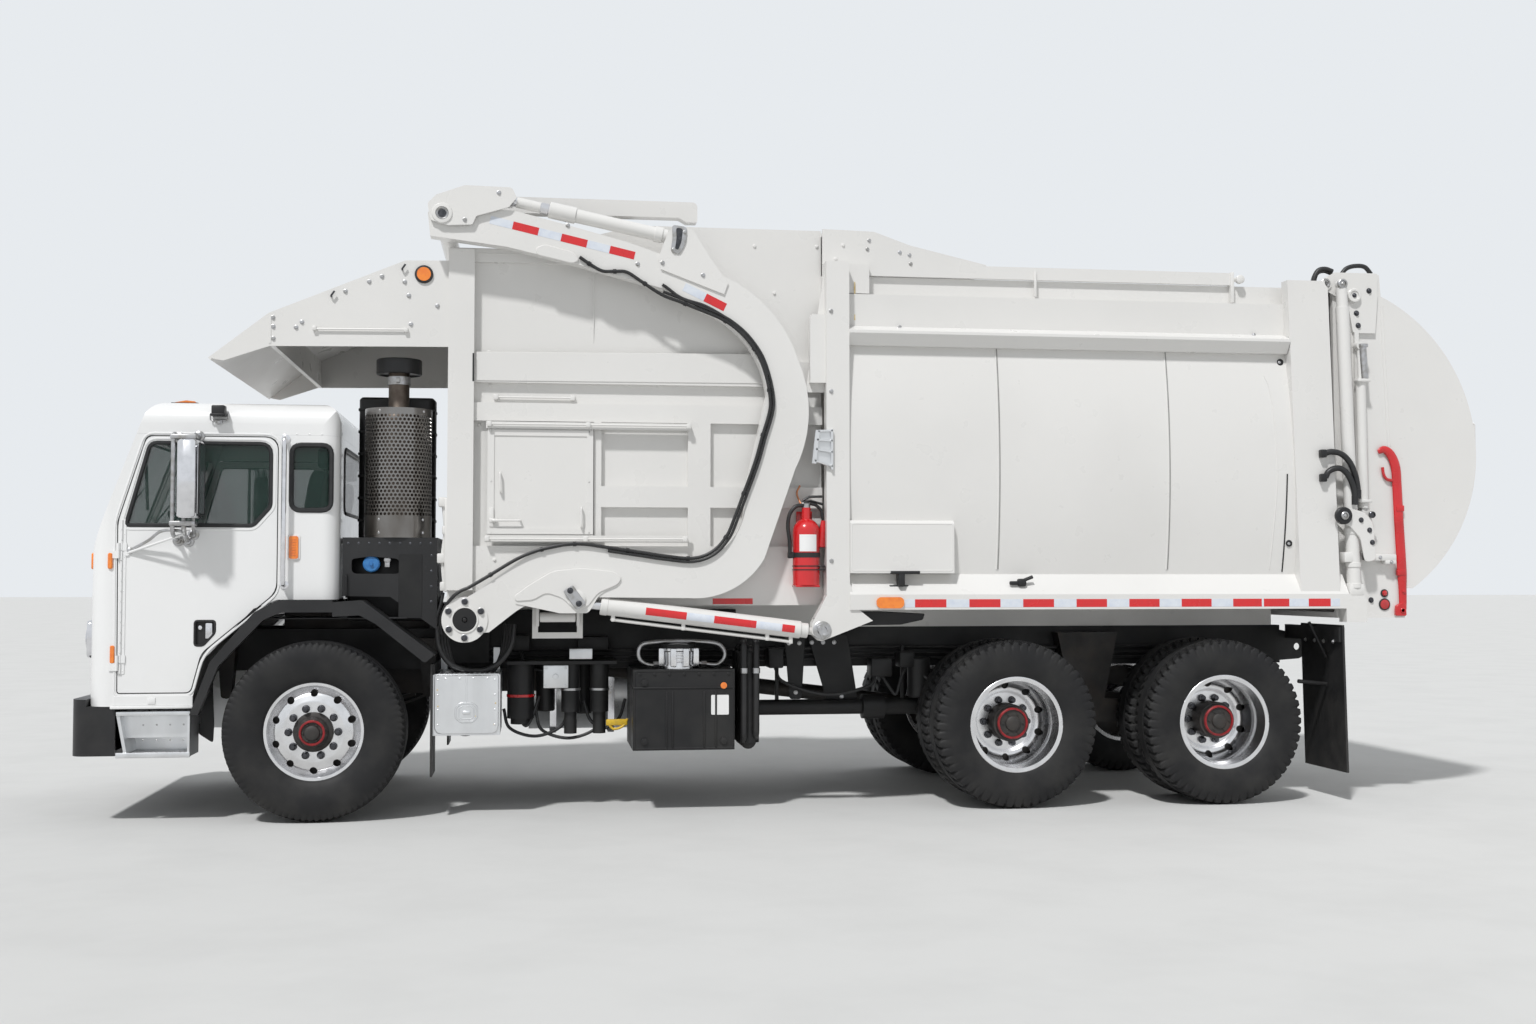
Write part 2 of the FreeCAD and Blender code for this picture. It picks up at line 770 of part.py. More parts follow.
def grille():
    # Black moulding on the cab's front, open between its slats
    low, high, half = 1085, 1505, 610
    back, front = -seat_gap, -32
    side = [
        (nose_x(low) + back, low),
        (nose_x(high) + back, high),
        (nose_x(high) + front, high, 12),
        (nose_x(low) + front, low, 12),
    ]
    openings = [box(cab_front - 60, cab_front + 20, -half + 40, half - 40, z, z + 38) for z in range(low + 34, high - 60, 62)]
    ribs = [box(cab_front - 24, nose_x(low) - 6, y - 9, y + 9, low + 20, high - 20) for y in (-200, 200)]
    return fuse(cut(prism("xz", side, -half, half), *openings), *ribs)


def headlamps():
    # Left-hand lamp block beside the grille: a bezel's worth of lens that stands proud of the cab
    low, high = 985, 1178
    side = [
        (nose_x(low) - seat_gap, low),
        (nose_x(high) - seat_gap, high),
        (nose_x(high) - 22, high, 18),
        (nose_x(low) - 34, low, 18),
    ]
    return prism("xz", side, 130 - cab_half, 380 - cab_half)


def amber_lamps():
    # Markers across the roof's front edge, and on each side one behind the door, one on the canopy and one
    # on the body's rail
    top = cab_roof + seat_gap
    form = [(-868, top), (-743, top), (-743, top + 14, 8), (-800, top + 20, 12), (-868, top + 7, 5)]
    roof = [prism("xz", form, y - 45, y + 45) for y in (-900, -220, 0, 220, 900)]
    flank = -cab_half - seat_gap
    behind_door = prism("xz", [(-164, 1559, 12), (-110, 1559, 12), (-110, 1694, 12), (-164, 1694, 12)], flank - 14, flank)
    canopy_side = -hopper_half - 10 - seat_gap
    on_canopy = pin(611, 3290, 42, canopy_side - 15, canopy_side)
    rail = -body_half - seat_gap
    x = body_front + 308
    on_rail = prism("xz", [(x, 1257, 30), (x + 174, 1257, 30), (x + 174, 1326, 30), (x, 1326, 30)], rail - 14, rail)
    return [*roof, *both(behind_door, on_canopy, on_rail)]


def cab_steps():
    # Left-hand entry: a folded housing with two treads
    outer = -cab_half + 5
    inner = -cab_half + 260
    side_outline = [(-1140, 655), (-722, 655), (-722, 392), (-1085, 392), (-1125, 600)]
    pieces = [
        prism("xz", side_outline, inner, inner + 10),
        box(-1135, -722, outer, inner, 640, 655),
        box(-1075, -722, outer, inner, 392, 415),
        prism("xz", [(-735, 655), (-722, 655), (-722, 392), (-735, 392)], outer, inner),
        prism("xz", [(-1140, 655), (-1122, 655), (-1072, 392), (-1090, 392)], outer, inner),
        box(-1130, -722, outer + 70, outer + 82, 500, 640),
        box(-1100, -722, -cab_half + 245, -650, 560, cab_bottom - seat_gap),
    ]
    return fuse(*pieces)


def fenders():
    # Left-hand arch: the flare below the cab and the separate guard behind it
    top = arch_top - seat_gap
    flare = [
        (-712, 640),
        (-600, 952, 60),
        (-352, 1242, 80),
        (-215, top, 60),
        (98, top),
        (98, 1240),
        (-200, 1240, 60),
        (-300, 1195, 60),
        (-550, 930, 60),
        (-665, 640),
    ]
    lip = prism("xz", flare, -cab_half - 68, -cab_half - 8)
    deep = [
        (-712, 640),
        (-600, 952, 60),
        (-352, 1242, 80),
        (-215, top, 60),
        (98, top),
        (98, top - 12),
        (-212, top - 12, 56),
        (-345, 1230, 76),
        (-588, 947, 56),
        (-700, 640),
    ]
    sheet = prism("xz", deep, -cab_half - 20, 220 - cab_half)
    guard = [
        (98, 1300),
        (270, 1312, 40),
        (385, 1225, 60),
        (700, 985, 20),
        (640, 935, 20),
        (350, 1170, 80),
        (255, 1222, 40),
        (98, 1214),
    ]
    guard_lip = prism("xz", guard, -cab_half - 68, -cab_half - 30)
    guard_sheet = [
        (98, 1300),
        (270, 1312, 40),
        (385, 1225, 60),
        (700, 985),
        (692, 976),
        (380, 1213, 56),
        (268, 1300, 36),
        (98, 1288),
    ]
    return fuse(lip, sheet, guard_lip, prism("xz", guard_sheet, -cab_half - 50, 220 - cab_half))


def engine_cowl():
    # Black housing behind the cab on the left: side plate, top and the air cleaner's duct
    outer = -1010
    plate = prism("xz", [(135, 1335), (135, 1690), (700, 1690), (700, 1130), (420, 1330)], outer, outer + 30)
    top = box(135, 700, outer, -345, 1660, 1690)
    back = box(670, 700, outer, -345, 1330, 1690)
    mouth = [(190, 1470, 30), (480, 1470, 30), (480, 1560, 40), (300, 1575, 20), (190, 1560, 20)]
    port = prism("xz", mouth, outer - 5, outer + 35)
    legs = box(620, 700, -430, -345, frame_top + seat_gap, 1660)
    return fuse(cut(plate, port), top, back, legs)


def exhaust_stack():
    # Perforated heat shield round the upright silencer, and the tail pipe with its flat cap
    x, y = 447, -825
    foot = 1690 + seat_gap
    ring = Part.makeCylinder(212, 851, V(x, y, foot))
    hollow = Part.makeCylinder(200, 830, V(x, y, 1680))
    silencer = Part.makeCylinder(150, 880, V(x, y, foot))
    pipe = Part.makeCylinder(64, 200, V(x, y, 2560))
    cap = Part.makeCylinder(135, 95, V(x, y, 2705))
    band = Part.makeCylinder(205, 14, V(x, y, 1700))
    return fuse(cut(ring, hollow), silencer, pipe, cap, band)


# Hopper and body


def canopy():
    # Hood over the cab: two side plates, the sloped top sheet and the turned-down lip in front
    half = hopper_half + 10
    plate = 10
    back = hopper_front - seat_gap
    side = [(-648, 2757, 15), (-300, 3034), (499, 3372, 20), (back, 3378), (back, 2850), (-292, 2835), (-560, 2742)]
    top = [
        (-648, 2757),
        (-300, 3034),
        (499, 3372),
        (back, 3378),
        (back, 3364),
        (503, 3358),
        (-292, 3020),
        (-636, 2746),
    ]
    stiff = [(-300, 3020), (-292, 2835), (-262, 2835), (-270, 3030)]
    pieces = [
        prism("xz", side, -half, -half + plate),
        prism("xz", side, half - plate, half),
        prism("xz", top, -half + 1, half - 1),
        prism("xz", stiff, -half + 1, half - 1),
        box(back - 50, back, -half + 1, half - 1, 3240, 3370),
        box(200, 250, -half + 1, half - 1, 3160, 3240),
    ]
    return fuse(*pieces)


def hopper_walls():
    # Side walls with their posts and beams, and the front wall that carries the canopy
    outer = -hopper_half
    panel = outer + 40
    x0, x1 = hopper_front, body_front
    side = [
        (x0, 1275),
        (x1, 1275),
        (x1, hood_top),
        (1900, hood_top),
        (1300, hopper_top),
        (x0, hopper_top),
    ]
    sheet = prism("xz", side, panel, panel + wall)
    bars = [
        box(x0, x0 + 155, outer - 30, panel, 1370, 3450),
        box(x0 + 155, x1, outer, panel, 2640, 2800),
        box(x0 + 155, x1, outer, panel, 2404, 2516),
        box(2225, 2365, outer, panel, 1640, 2404),
        box(1690, x1, outer, panel, 1880, 2010),
        box(1645, 1690, outer, panel, 1640, 2404),
        box(x0 + 155, x1, outer, panel, 1275, 1640),
        box(x0 + 155, 1900, outer + 10, panel, 3380, hopper_top - 10),
        box(1275, 1310, outer, panel, 1076, 1276),
        box(1546, 1581, outer, panel, 1076, 1276),
        box(1275, 1581, outer, panel, 1076, 1112),
    ]
    left = fuse(sheet, *bars)
    inside = -outer - 40 - wall
    front = fuse(
        box(x0, x0 + 40, -inside, inside, 1300, hopper_top),
        box(x0 + 40, x0 + 120, -inside, inside, 3390, hopper_top),
    )
    doorway = prism("xz", [(1045, 1735, 20), (1595, 1735, 20), (1595, 2325, 20), (1045, 2325, 20)], outer - 5, panel + wall + 5)
    guides = [box(900, 3000, y0, y1, 3400, 3434) for y0, y1 in ((-inside, 70 - inside), (inside - 70, inside))]
    right = mirrored(left)
    return fuse(cut(left, doorway), right, front, *guides)


def body_shell():
    # Bulged sides, roof and the floor on its two sills
    x0, x1 = body_front + 0.5, body_rear
    low, high = 1440, 2930
    mid = (low + high) / 2
    top_y, bulge_y = body_side, body_half - 28
    arc_out = Part.Arc(V(0, -top_y, low), V(0, -bulge_y, mid), V(0, -top_y, high)).toShape()
    arc_in = Part.Arc(V(0, -top_y + wall, high), V(0, -bulge_y + wall, mid), V(0, -top_y + wall, low)).toShape()
    ends = [
        Part.makeLine(V(0, -top_y, high), V(0, -top_y + wall, high)),
        Part.makeLine(V(0, -top_y + wall, low), V(0, -top_y, low)),
    ]
    side = Part.Face(Part.Wire([arc_out, ends[0], arc_in, ends[1]])).extrude(V(x1 - x0, 0, 0))
    side.translate(V(x0, 0, 0))
    curb = [
        (-top_y, high),
        (-top_y - 10, 3225),
        (70 - top_y, 3230),
        (70 - top_y, roof_top),
        (120 - top_y, roof_top),
        (120 - top_y, 3190),
        (45 - top_y, 3170),
        (45 - top_y, high),
    ]
    upper = prism("yz", curb, x0, x1)
    lower = box(x0, x1, -top_y, 45 - top_y, floor_top - 130, low)
    left = fuse(side, upper, lower)
    roof = box(x0, x1, 110 - top_y, top_y - 110, roof_top - roof_thick - 40, roof_top - 40)
    inside = hopper_half - 85 - seat_gap
    floor = box(hopper_front + 40 + seat_gap, x0, -inside, inside, floor_top - floor_thick, floor_top)
    deck = box(x0, x1, 40 - top_y, top_y - 40, floor_top - floor_thick, floor_top)
    under = frame_top + seat_gap
    sills = [box(960, frame_rear - 60, y - 45, y + 45, under, floor_top - floor_thick) for y in (-385, 385)]
    return left, fuse(left, mirrored(left), roof, floor, deck, *sills, body_end())


def body_frame(side_wall):
    # Left-hand posts, ledge and lower rail that frame the bulged side
    x0, x1 = body_front, body_rear
    half = body_half
    post = box(x0, x0 + 145, -post_outer, -post_inner, 1250, 3415)
    foot = [
        (x0 + 145, 1415),
        (x0 + 32, 1400),
        (x0 - 45, 1250),
        (x0 - 92, 1165),
        (x0 - 92, 1100, 25),
        (x0 - 40, 1052, 25),
        (x0 + 290, 1180),
        (x0 + 200, 1250),
    ]
    ear = prism("xz", foot, -post_outer, -post_inner)
    slot = box(x0 - 120, x0 + 22, -lift_cylinder_y - 35, -lift_cylinder_y + 35, 1000, 1198)
    lift_pin = pin(lift_base_x, lift_base_z, pin_radius, -post_outer, -post_inner)
    root = 89.5 - half
    ledge = prism("yz", [(root, 3022), (-half, 2985), (-half, 2968), (50 - half, 2897), (root, 2897)], x0 + 145, x1 - 60)
    ledge = fuse(ledge, prism("yz", [(root, 3022), (root, 2897), (root + 20.5, 2897), (root + 20.5, 3022)], x0 + 145, x1 - 60))
    rail = prism("yz", [(-body_side, 1468), (-body_side - 10, 1468), (-half, 1342), (-half, 1248), (-body_side, 1248)], x0 + 145, x1 + 320)
    rear = [
        (x1, 1250),
        (x1 + post_depth, 1250),
        (x1 + post_depth - tail_lean, 3372),
        (x1 - tail_lean - 8, 3372),
    ]
    back = prism("xz", rear, -post_outer, -post_inner)
    top_rail = box(x0 + 290, x1 - 390, -roof_half - 29, -roof_half, 3352, 3432)
    cheek = [
        (x0, 3416),
        (x0 + 300, 3416),
        (x0 + 1060, 3433),
        (x0 + 1060, 3440),
        (x0 + 560, 3552),
        (x0 + 330, 3632),
        (x0, 3640),
    ]
    hood = prism("xz", cheek, -roof_half - 29, -roof_half)
    upper = box(x0, x0 + 290, -body_side, -roof_half, 3231, 3415)
    rest = prism("xz", [(x0 - 97, 2655), (x0, 2655), (x0, 3083), (x0 - 85, 3083), (x0 - 97, 3060)], 25 - post_outer, -post_inner)
    brace = prism("xz", [(x0 - 120, 2600), (x0, 2600), (x0, 3350)], -post_inner - 12, -post_inner)
    frame = fuse(cut(fuse(post, ear), slot), lift_pin, ledge, rail, back, top_rail, hood, upper, rest, brace)
    frame = fuse(cut(frame, tail_recess()), *tail_supports())
    return cut(frame, side_wall)


def tail_recess():
    # Room in the rear post for the tailgate's hinge ear
    return pin(tail_pivot_x, tail_pivot_z, 44, -post_outer - 1, -post_inner + 1)


def tail_supports():
    # Hinge ear for the tailgate at the top of the rear post and the clevis of its cylinder at the foot
    x, z = tail_pivot_x, tail_pivot_z
    end = body_rear
    y0, y1 = 79 - body_half, 90 - body_half - seat_gap
    form = [
        (x - 70, z - 60),
        (x + 14, z - 40),
        (x + 36, z - 18, 15),
        (x + 36, z + 18, 15),
        (x + 14, z + 40),
        (x - 70, z + 3),
    ]
    ear = prism("xz", form, y0, y1)
    ear = cut(ear, pin(x, z, pin_radius + running_fit, y0 - 5, y1 + 5))
    foot = [
        (end + 300, 1160),
        (end + 440, 1160),
        (end + 440, 1300),
        (end + 415, 1368, 30),
        (end + 335, 1368, 30),
        (end + 300, 1300),
    ]
    block = prism("xz", foot, -body_half, 98 - body_half)
    slot = box(end + 290, end + 450, -tail_cylinder_y - 33, -tail_cylinder_y + 33, 1262, 1400)
    post = pin(tail_base_x, tail_base_z, pin_radius, -body_half, 98 - body_half)
    return [ear, fuse(cut(block, slot), post)]


def hood():
    # Raised cover over the place where the sliding roof door waits
    x0 = body_front
    side = [
        (1905, 3600),
        (x0, 3600),
        (x0 + 330, 3594),
        (x0 + 560, 3514),
        (x0 + 1060, 3400),
        (x0 + 1060, 3420),
        (x0 + 565, 3534),
        (x0 + 334, 3614),
        (x0, 3620),
        (1905, 3620),
    ]
    sheet = prism("xz", side, -roof_half, roof_half)
    inside = hopper_half - 40 - wall - seat_gap
    front = sheet.common(box(1900, x0, -inside, inside, 3300, 3700))
    rear = sheet.common(box(x0, x0 + 1100, seat_gap - roof_half, roof_half - seat_gap, 3300, 3700))
    return fuse(front, rear)


def body_end():
    # Frame round the rear opening, against which the tailgate closes
    x0, x1 = body_rear, body_rear + 228
    half = body_half - 106
    return fuse(
        box(x0, x1, -half, -half + 90, 1250, 3350),
        box(x0, x1, half - 90, half, 1250, 3350),
        box(x0, x1, -half + 90, half - 90, 3250, 3350),
        box(x0, x1, -half + 90, half - 90, 1250, floor_top),
    )


# Arms, forks and their cylinders


def traced(start, steps, low, high):
    # An upright plate whose edge runs from start by lines (x, z) and by arcs (through x, z, to x, z)
    edges = []
    at = V(start[0], 0, start[1])
    for step in steps:
        end = V(step[-2], 0, step[-1])
        if len(step) == 4:
            edges.append(Part.Arc(at, V(step[0], 0, step[1]), end).toShape())
        else:
            edges.append(Part.makeLine(at, end))
        at = end
    edges.append(Part.makeLine(at, V(start[0], 0, start[1])))
    solid = Part.Face(Part.Wire(edges)).extrude(V(0, high - low, 0))
    solid.translate(V(0, low, 0))
    return solid


def arm():
    # Left-hand lift arm with its hub, its cylinder lug and the bracket of the fork cylinder
    steps = [
        (1159, 1230),
        (1291, 1302, 1441, 1330),
        (2218, 1322),
        (2540, 1410, 2682, 1564),
        (2874, 2116),
        (2958, 2500, 2892, 2790),
        (2745, 3062, 2456, 3287),
        (1837, 3494),
        (1463, 3590),
        (1160, 3664),
        (700, 3700),
        (640, 3640),
        (655, 3498),
        (1112, 3444),
        (1532, 3350),
        (2060, 3213),
        (2301, 3086),
        (2595, 2860, 2699, 2570),
        (2561, 1958),
        (2423, 1620, 2217, 1550),
        (1573, 1655),
        (1370, 1630, 1174, 1528),
        (943, 1361),
        (820, 1290),
        (820, 1100),
    ]
    plate = traced((1020, 1120), steps, -arm_outer + 20, -arm_inner)
    hub = pin(arm_pivot_x, arm_pivot_z, arm_hub_radius, -arm_outer + 12, -arm_inner + 8)
    gusset = [
        (1158, 1352),
        (1175, 1290),
        (1441, 1232),
        (1610, 1232, 40),
        (1670, 1335),
        (1813, 1440, 20),
        (1776, 1486),
        (1574, 1511),
        (1407, 1503),
        (1274, 1427),
    ]
    lugs = [
        prism("xz", gusset, -arm_outer + 14, -arm_outer + 26),
        prism("xz", gusset, -arm_inner - 12, -arm_inner - 2),
    ]
    gap = [(1150, 1150), (1700, 1150), (1700, 1345), (1610, 1400), (1330, 1400), (1150, 1290)]
    pocket = prism("xz", gap, -arm_outer + 26, -arm_inner - 12)
    bracket = [
        (2041, 3331),
        (2024, 3396),
        (2090, 3575, 40),
        (2230, 3590, 40),
        (2351, 3400),
        (2455, 3255),
        (2430, 3186),
    ]
    cylinder_y = -fork_cylinder_y
    ears = prism("xz", bracket, cylinder_y - 56, cylinder_y + 56)
    room = prism("xz", [(1980, 3470), (1980, 3640), (2330, 3640), (2330, 3462)], cylinder_y - 49, cylinder_y + 49)
    pins = pin(fork_base_x, fork_base_z, pin_radius, cylinder_y - 56, cylinder_y + 56)
    body = cut(fuse(plate, hub, ears), pocket, room)
    bore = pin(fork_pivot_x, fork_pivot_z, fork_tube_radius + running_fit, -arm_outer - 5, -arm_inner + 5)
    return cut(fuse(body, *lugs, pins), bore)


def arms():
    left = arm()
    tube = pin(arm_pivot_x, arm_pivot_z, torque_tube_radius, -arm_inner - 10, arm_inner + 10)
    return fuse(left, mirrored(left), tube)


def arm_bearings():
    # Plates on the frame rails that carry the arms' torque tube
    x, z = arm_pivot_x, arm_pivot_z
    form = [
        (x - 126, 900),
        (x + 126, 900),
        (x + 126, z + 45, 40),
        (x + 64, z + 95, 30),
        (x - 64, z + 95, 30),
        (x - 126, z + 45, 40),
    ]
    plates = []
    for side in (-1, 1):
        low, high = sorted((side * frame_half, side * (frame_half + 60)))
        bore = pin(x, z, torque_tube_radius + running_fit, low - 5, high + 5)
        plates.append(cut(prism("xz", form, low, high), bore))
    return plates


def cylinder(base, head, y, radius, shaft, length, eye):
    # A cylinder in two bodies: the barrel turns on a pin through its eye at base, and the rod slides in its
    # bore and ends in an eye at head, which no pin goes through
    bx, bz = base
    hx, hz = head
    reach = math.hypot(hx - bx, hz - bz)
    ux, uz = (hx - bx) / reach, (hz - bz) / reach

    def at(distance):
        return (bx + ux * distance, y, bz + uz * distance)

    wide = eye * 0.62
    neck = eye * 1.8
    tube = fuse(
        rod(at(eye * 0.6), at(neck + 5), eye * 0.55),
        rod(at(neck), at(length), radius),
        pin(bx, bz, eye, y - wide, y + wide),
    )
    bore = shaft + running_fit
    barrel = cut(
        tube,
        pin(bx, bz, pin_radius + running_fit, y - wide - 5, y + wide + 5),
        rod(at(neck + 25), at(length + 20), bore),
    )
    piston = fuse(
        rod(at(neck + 40), at(reach - eye * 0.7), shaft),
        pin(hx, hz, eye, y - wide, y + wide),
    )
    return barrel, piston


def lift_cylinder():
    base, head = (lift_base_x, lift_base_z), (lift_pin_x, lift_pin_z)
    return cylinder(base, head, -lift_cylinder_y, 46, 30, 1290, 42)


def fork_cylinder():
    base, head = (fork_base_x, fork_base_z), (crank_pin_x, crank_pin_z)
    return cylinder(base, head, -fork_cylinder_y, 42, 28, 800, 40)


def forks():
    # Cross tube in the arms' ends, the two tines on it and the bell crank outside each arm
    x, z = fork_pivot_x, fork_pivot_z
    tube = pin(x, z, fork_tube_radius, -arm_outer + 5, arm_outer - 5)
    sides = []
    crank = [
        (640, 3690, 25),
        (690, 3742, 20),
        (860, 3805, 30),
        (1140, 3800, 30),
        (1168, 3740, 20),
        (1120, 3680, 20),
        (928, 3621, 20),
        (905, 3568, 15),
        (760, 3560, 20),
        (655, 3590, 30),
    ]
    sides.append(prism("xz", crank, -arm_outer - 8, -arm_outer + 8))
    tine = [
        (x - 75, z - 60, 40),
        (x + 75, z - 60, 40),
        (x + 110, 3700, 30),
        (2170, 3700, 20),
        (2215, 3674),
        (2286, 3674, 10),
        (2286, 3800, 30),
        (x + 60, 3800, 60),
        (x - 75, 3690, 40),
    ]
    sides.append(prism("xz", tine, -tine_y - tine_width / 2, -tine_y + tine_width / 2))
    return fuse(tube, *both(*sides))


# Doors of the hopper and the packer


def top_door():
    return box(2080, 3420, -chute_half, chute_half, 3434 + seat_gap, 3500)


def packer():
    base = floor_top + seat_gap
    side = [(890, base), (1500, base), (1500, 2330, 20), (1420, 2470, 30), (1330, 2470, 30), (890, 2100, 30)]
    inner = [(920, 1380), (1470, 1380), (1470, 2300), (1400, 2440), (1340, 2440), (920, 2085)]
    shell = cut(prism("xz", side, -chute_half, chute_half), prism("xz", inner, 30 - chute_half, chute_half - 30))
    return shell


def access_door():
    outer = -hopper_half - 20
    low, high = 1682 + seat_gap, 2377 - seat_gap
    plate = box(1000, 1640, outer, outer + 14, low, high)
    frame = [box(1000, 1640, outer - 6, outer + 1, z, z + 36) for z in (1712, 2312)]
    bars = [box(x, x + 40, outer - 6, outer + 1, 1712, 2348) for x in (1000, 1600)]
    return fuse(plate, *frame, *bars)


def access_rails():
    outer = -hopper_half
    return [
        fuse(box(990, 2240, outer - 30, outer, 2377, 2397), box(990, 2240, outer - 34, outer - 30, 2355, 2397)),
        fuse(box(990, 2240, outer - 30, outer, 1662, 1682), box(990, 2240, outer - 34, outer - 30, 1662, 1704)),
    ]


# Tailgate


def bow(x, z, rear, level):
    # Middle point of the arc from x, z to rear, level that stands upright where it meets rear, level
    centre = ((rear ** 2 - x ** 2 - (z - level) ** 2) / 2) / (rear - x)
    radius = rear - centre
    half = math.atan2(z - level, x - centre) / 2
    return centre + radius * math.cos(half), level + radius * math.sin(half)


def tailgate_shell():
    end = body_rear
    x0 = end + 292
    rear = end + tail_bulge
    level = 2262
    skin = tail_wall
    outer_steps = [
        (end + 330, 3440),
        (end + 620, 3440),
        (end + 630, 3300),
        (*bow(end + 630, 3300, rear, level), rear, level),
        (*bow(end + 824, 1377, rear, level), end + 824, 1377),
        (end + 777, 1378),
        (end + 764, tail_bottom),
        (x0, tail_bottom),
    ]
    inner_steps = [
        (end + 350, 3440 - skin),
        (end + 585, 3440 - skin),
        (end + 595, 3270),
        (*bow(end + 595, 3270, rear - skin, level), rear - skin, level),
        (*bow(end + 805, 1415, rear - skin, level), end + 805, 1415),
        (end + 730, 1415),
        (end + 720, tail_bottom + skin),
        (x0 - 5, tail_bottom + skin),
    ]
    shell = traced((x0, 3390), outer_steps, -tail_half, tail_half)
    hollow = traced((x0 - 5, 3360), inner_steps, -tail_half + tail_wall, tail_half - tail_wall)
    return cut(shell, hollow)


def tailgate_gear():
    # Left-hand plates, pins and lock rod on the side of the tailgate, with its prop
    end = body_rear
    y0, y1 = -tail_half - 24, -tail_half - 13
    hx, hz = tail_pivot_x, tail_pivot_z
    top = [
        (hx - 36, hz, 34),
        (hx - 10, hz + 36, 30),
        (end + 298, 3446, 20),
        (end + 596, 3446, 10),
        (end + 596, 3298),
        (end + 575, 3050),
        (end + 420, 3050, 20),
        (end + 390, 3230, 40),
        (end + 300, 3290, 40),
        (hx - 10, hz - 36, 30),
    ]
    low = [
        (end + 275, 1880, 20),
        (end + 310, 1890, 20),
        (end + 390, 1860),
        (end + 530, 1880, 20),
        (end + 530, 1640),
        (end + 470, 1600, 20),
        (end + 390, 1700),
        (end + 330, 1760, 20),
        (end + 275, 1810, 20),
    ]
    pieces = [
        prism("xz", top, y0, y1),
        prism("xz", low, y0, y1),
        pin(hx, hz, pin_radius, y0 - 11 + seat_gap, y1),
        pin(end + 420, 3293, 45, y0 - 12, y1),
        prism("xz", top, y1 - 1, -tail_half).common(box(end + 300, end + 630, -tail_half - 14, -tail_half, 3000, 3460)),
        prism("xz", low, y1 - 1, -tail_half).common(box(end + 300, end + 630, -tail_half - 14, -tail_half, 1500, 1900)),
        box(end + 430, end + 460, y1 - 1, -tail_half, 1640, 3060),
        box(end + 430, end + 460, y0, y1, 1640, 3060),
        rod((end + 455, y0 - 38, 1900), (end + 446, y0 - 38, 2740), 32),
        rod((end + 446, y0 - 38, 2730), (end + 440, y0 - 38, 2960), 16),
        pin(end + 440, 2960, 26, y0 - 56, y0 + 2),
        pin(end + 456, 1862, 34, y0 - 56, y0 + 2),
    ]
    prop = [
        (end + 622, 2170, 20),
        (end + 560, 2235, 20),
        (end + 540, 2277, 15),
        (end + 615, 2300, 20),
        (end + 688, 2199, 40),
        (end + 720, 1902, 60),
        (end + 740, 1378, 60),
        (end + 760, 1240, 20),
        (end + 765, 1195, 10),
        (end + 643, 1204, 20),
        (end + 670, 1400, 60),
        (end + 636, 1901, 60),
    ]
    return fuse(*pieces), prism("xz", prop, -tail_half - 30, -tail_half - seat_gap)


def tail_cylinder():
    base, head = (tail_base_x, tail_base_z), (tail_pin_x, tail_pin_z)
    return cylinder(base, head, -tail_cylinder_y, 44, 36, 440, 34)


# Boxes and tanks


def toolbox(side_wall, frame):
    x0 = body_front + 146
    side = [(-body_side, 1475), (2 - body_half, 1475), (2 - body_half, 1788, 15), (25 - body_half, 1802, 10), (-body_side, 1802)]
    return cut(prism("yz", side, x0, x0 + 660), side_wall, frame)


def fold_step():
    # Climbing step folded up against the front post on the left: a slatted plate in a frame
    x0, x1 = body_front - 82, body_front + 38
    y0, y1 = -post_outer - 24, -post_outer - seat_gap
    low, high = 2108, 2364
    plate = box(x0, x1, y0, y1, low, high)
    slots = [box(x0 + 16, x1 - 16, y0 - 1, y1 + 1, z, z + 24) for z in range(low + 20, high - 40, 40)]
    return cut(plate, *slots)


def extinguisher():
    y = -hopper_half - 84 - seat_gap
    bottle = fuse(
        Part.makeCylinder(84, 330, V(2953, y, 1400)),
        Part.makeSphere(84, V(2953, y, 1730)),
        Part.makeCylinder(28, 90, V(2953, y, 1790)),
    )
    return bottle


def hydraulic_tank():
    tank = box(1890, 2518, -1080, -frame_half - seat_gap, 385, 880)
    filter_can = fuse(Part.makeCylinder(95, 150, V(2180, -930, 879)), Part.makeCylinder(110, 24, V(2180, -930, 1006)))
    return fuse(tank, filter_can)


def battery_box():
    shell = box(685, 1085, -1100, -frame_half - 100, 495, 860)
    near = -frame_half - seat_gap
    hangers = [box(x, x + 40, near - 110, near, 780, 1000) for x in (700, 1030)]
    return fuse(shell, *hangers)


def air_tanks():
    tanks = []
    for y in (-960, -820, -680):
        barrel = Part.makeCylinder(68, 560, V(2618, y, 419))
        ends = [Part.makeSphere(50, V(2618, y, z)) for z in (425, 975)]
        tanks.append(fuse(barrel, *ends))
    bar = box(2596, 2640, -960, -frame_half - seat_gap, 870, 930)
    return fuse(*tanks, bar)


def fuel_tank():
    # Right-hand side, out of the photo's sight
    tank = Part.makeCylinder(300, 1150, V(1250, 800, 660), V(1, 0, 0))
    straps = [box(x, x + 40, frame_half + seat_gap, 720, 870, 940) for x in (1400, 2150)]
    return fuse(tank, *straps)


def mudflaps():
    # Left-hand flaps behind the front wheel and behind the last ones, each hung from a bar on the frame rail
    rail = -frame_half - seat_gap
    tyre_face = -drive_tyre_y - drive_tyre_width / 2
    x = second_drive_axle + drive_tyre_radius + 255
    rear_flap = prism("xz", [(x + 15, 1140), (x + 30, 1140), (x + 50, 190), (x + 35, 190)], tyre_face + 5, -640)
    rear_bar = box(x, x + 40, tyre_face + 20, rail, 1030, 1125)
    x = front_tyre_radius + 136
    front_flap = box(x, x + 12, -1120, -790, 250, 925)
    front_bar = box(x + 10, x + 24, -1100, rail, 866, 925)
    return fuse(rear_flap, rear_bar), fuse(front_flap, front_bar)


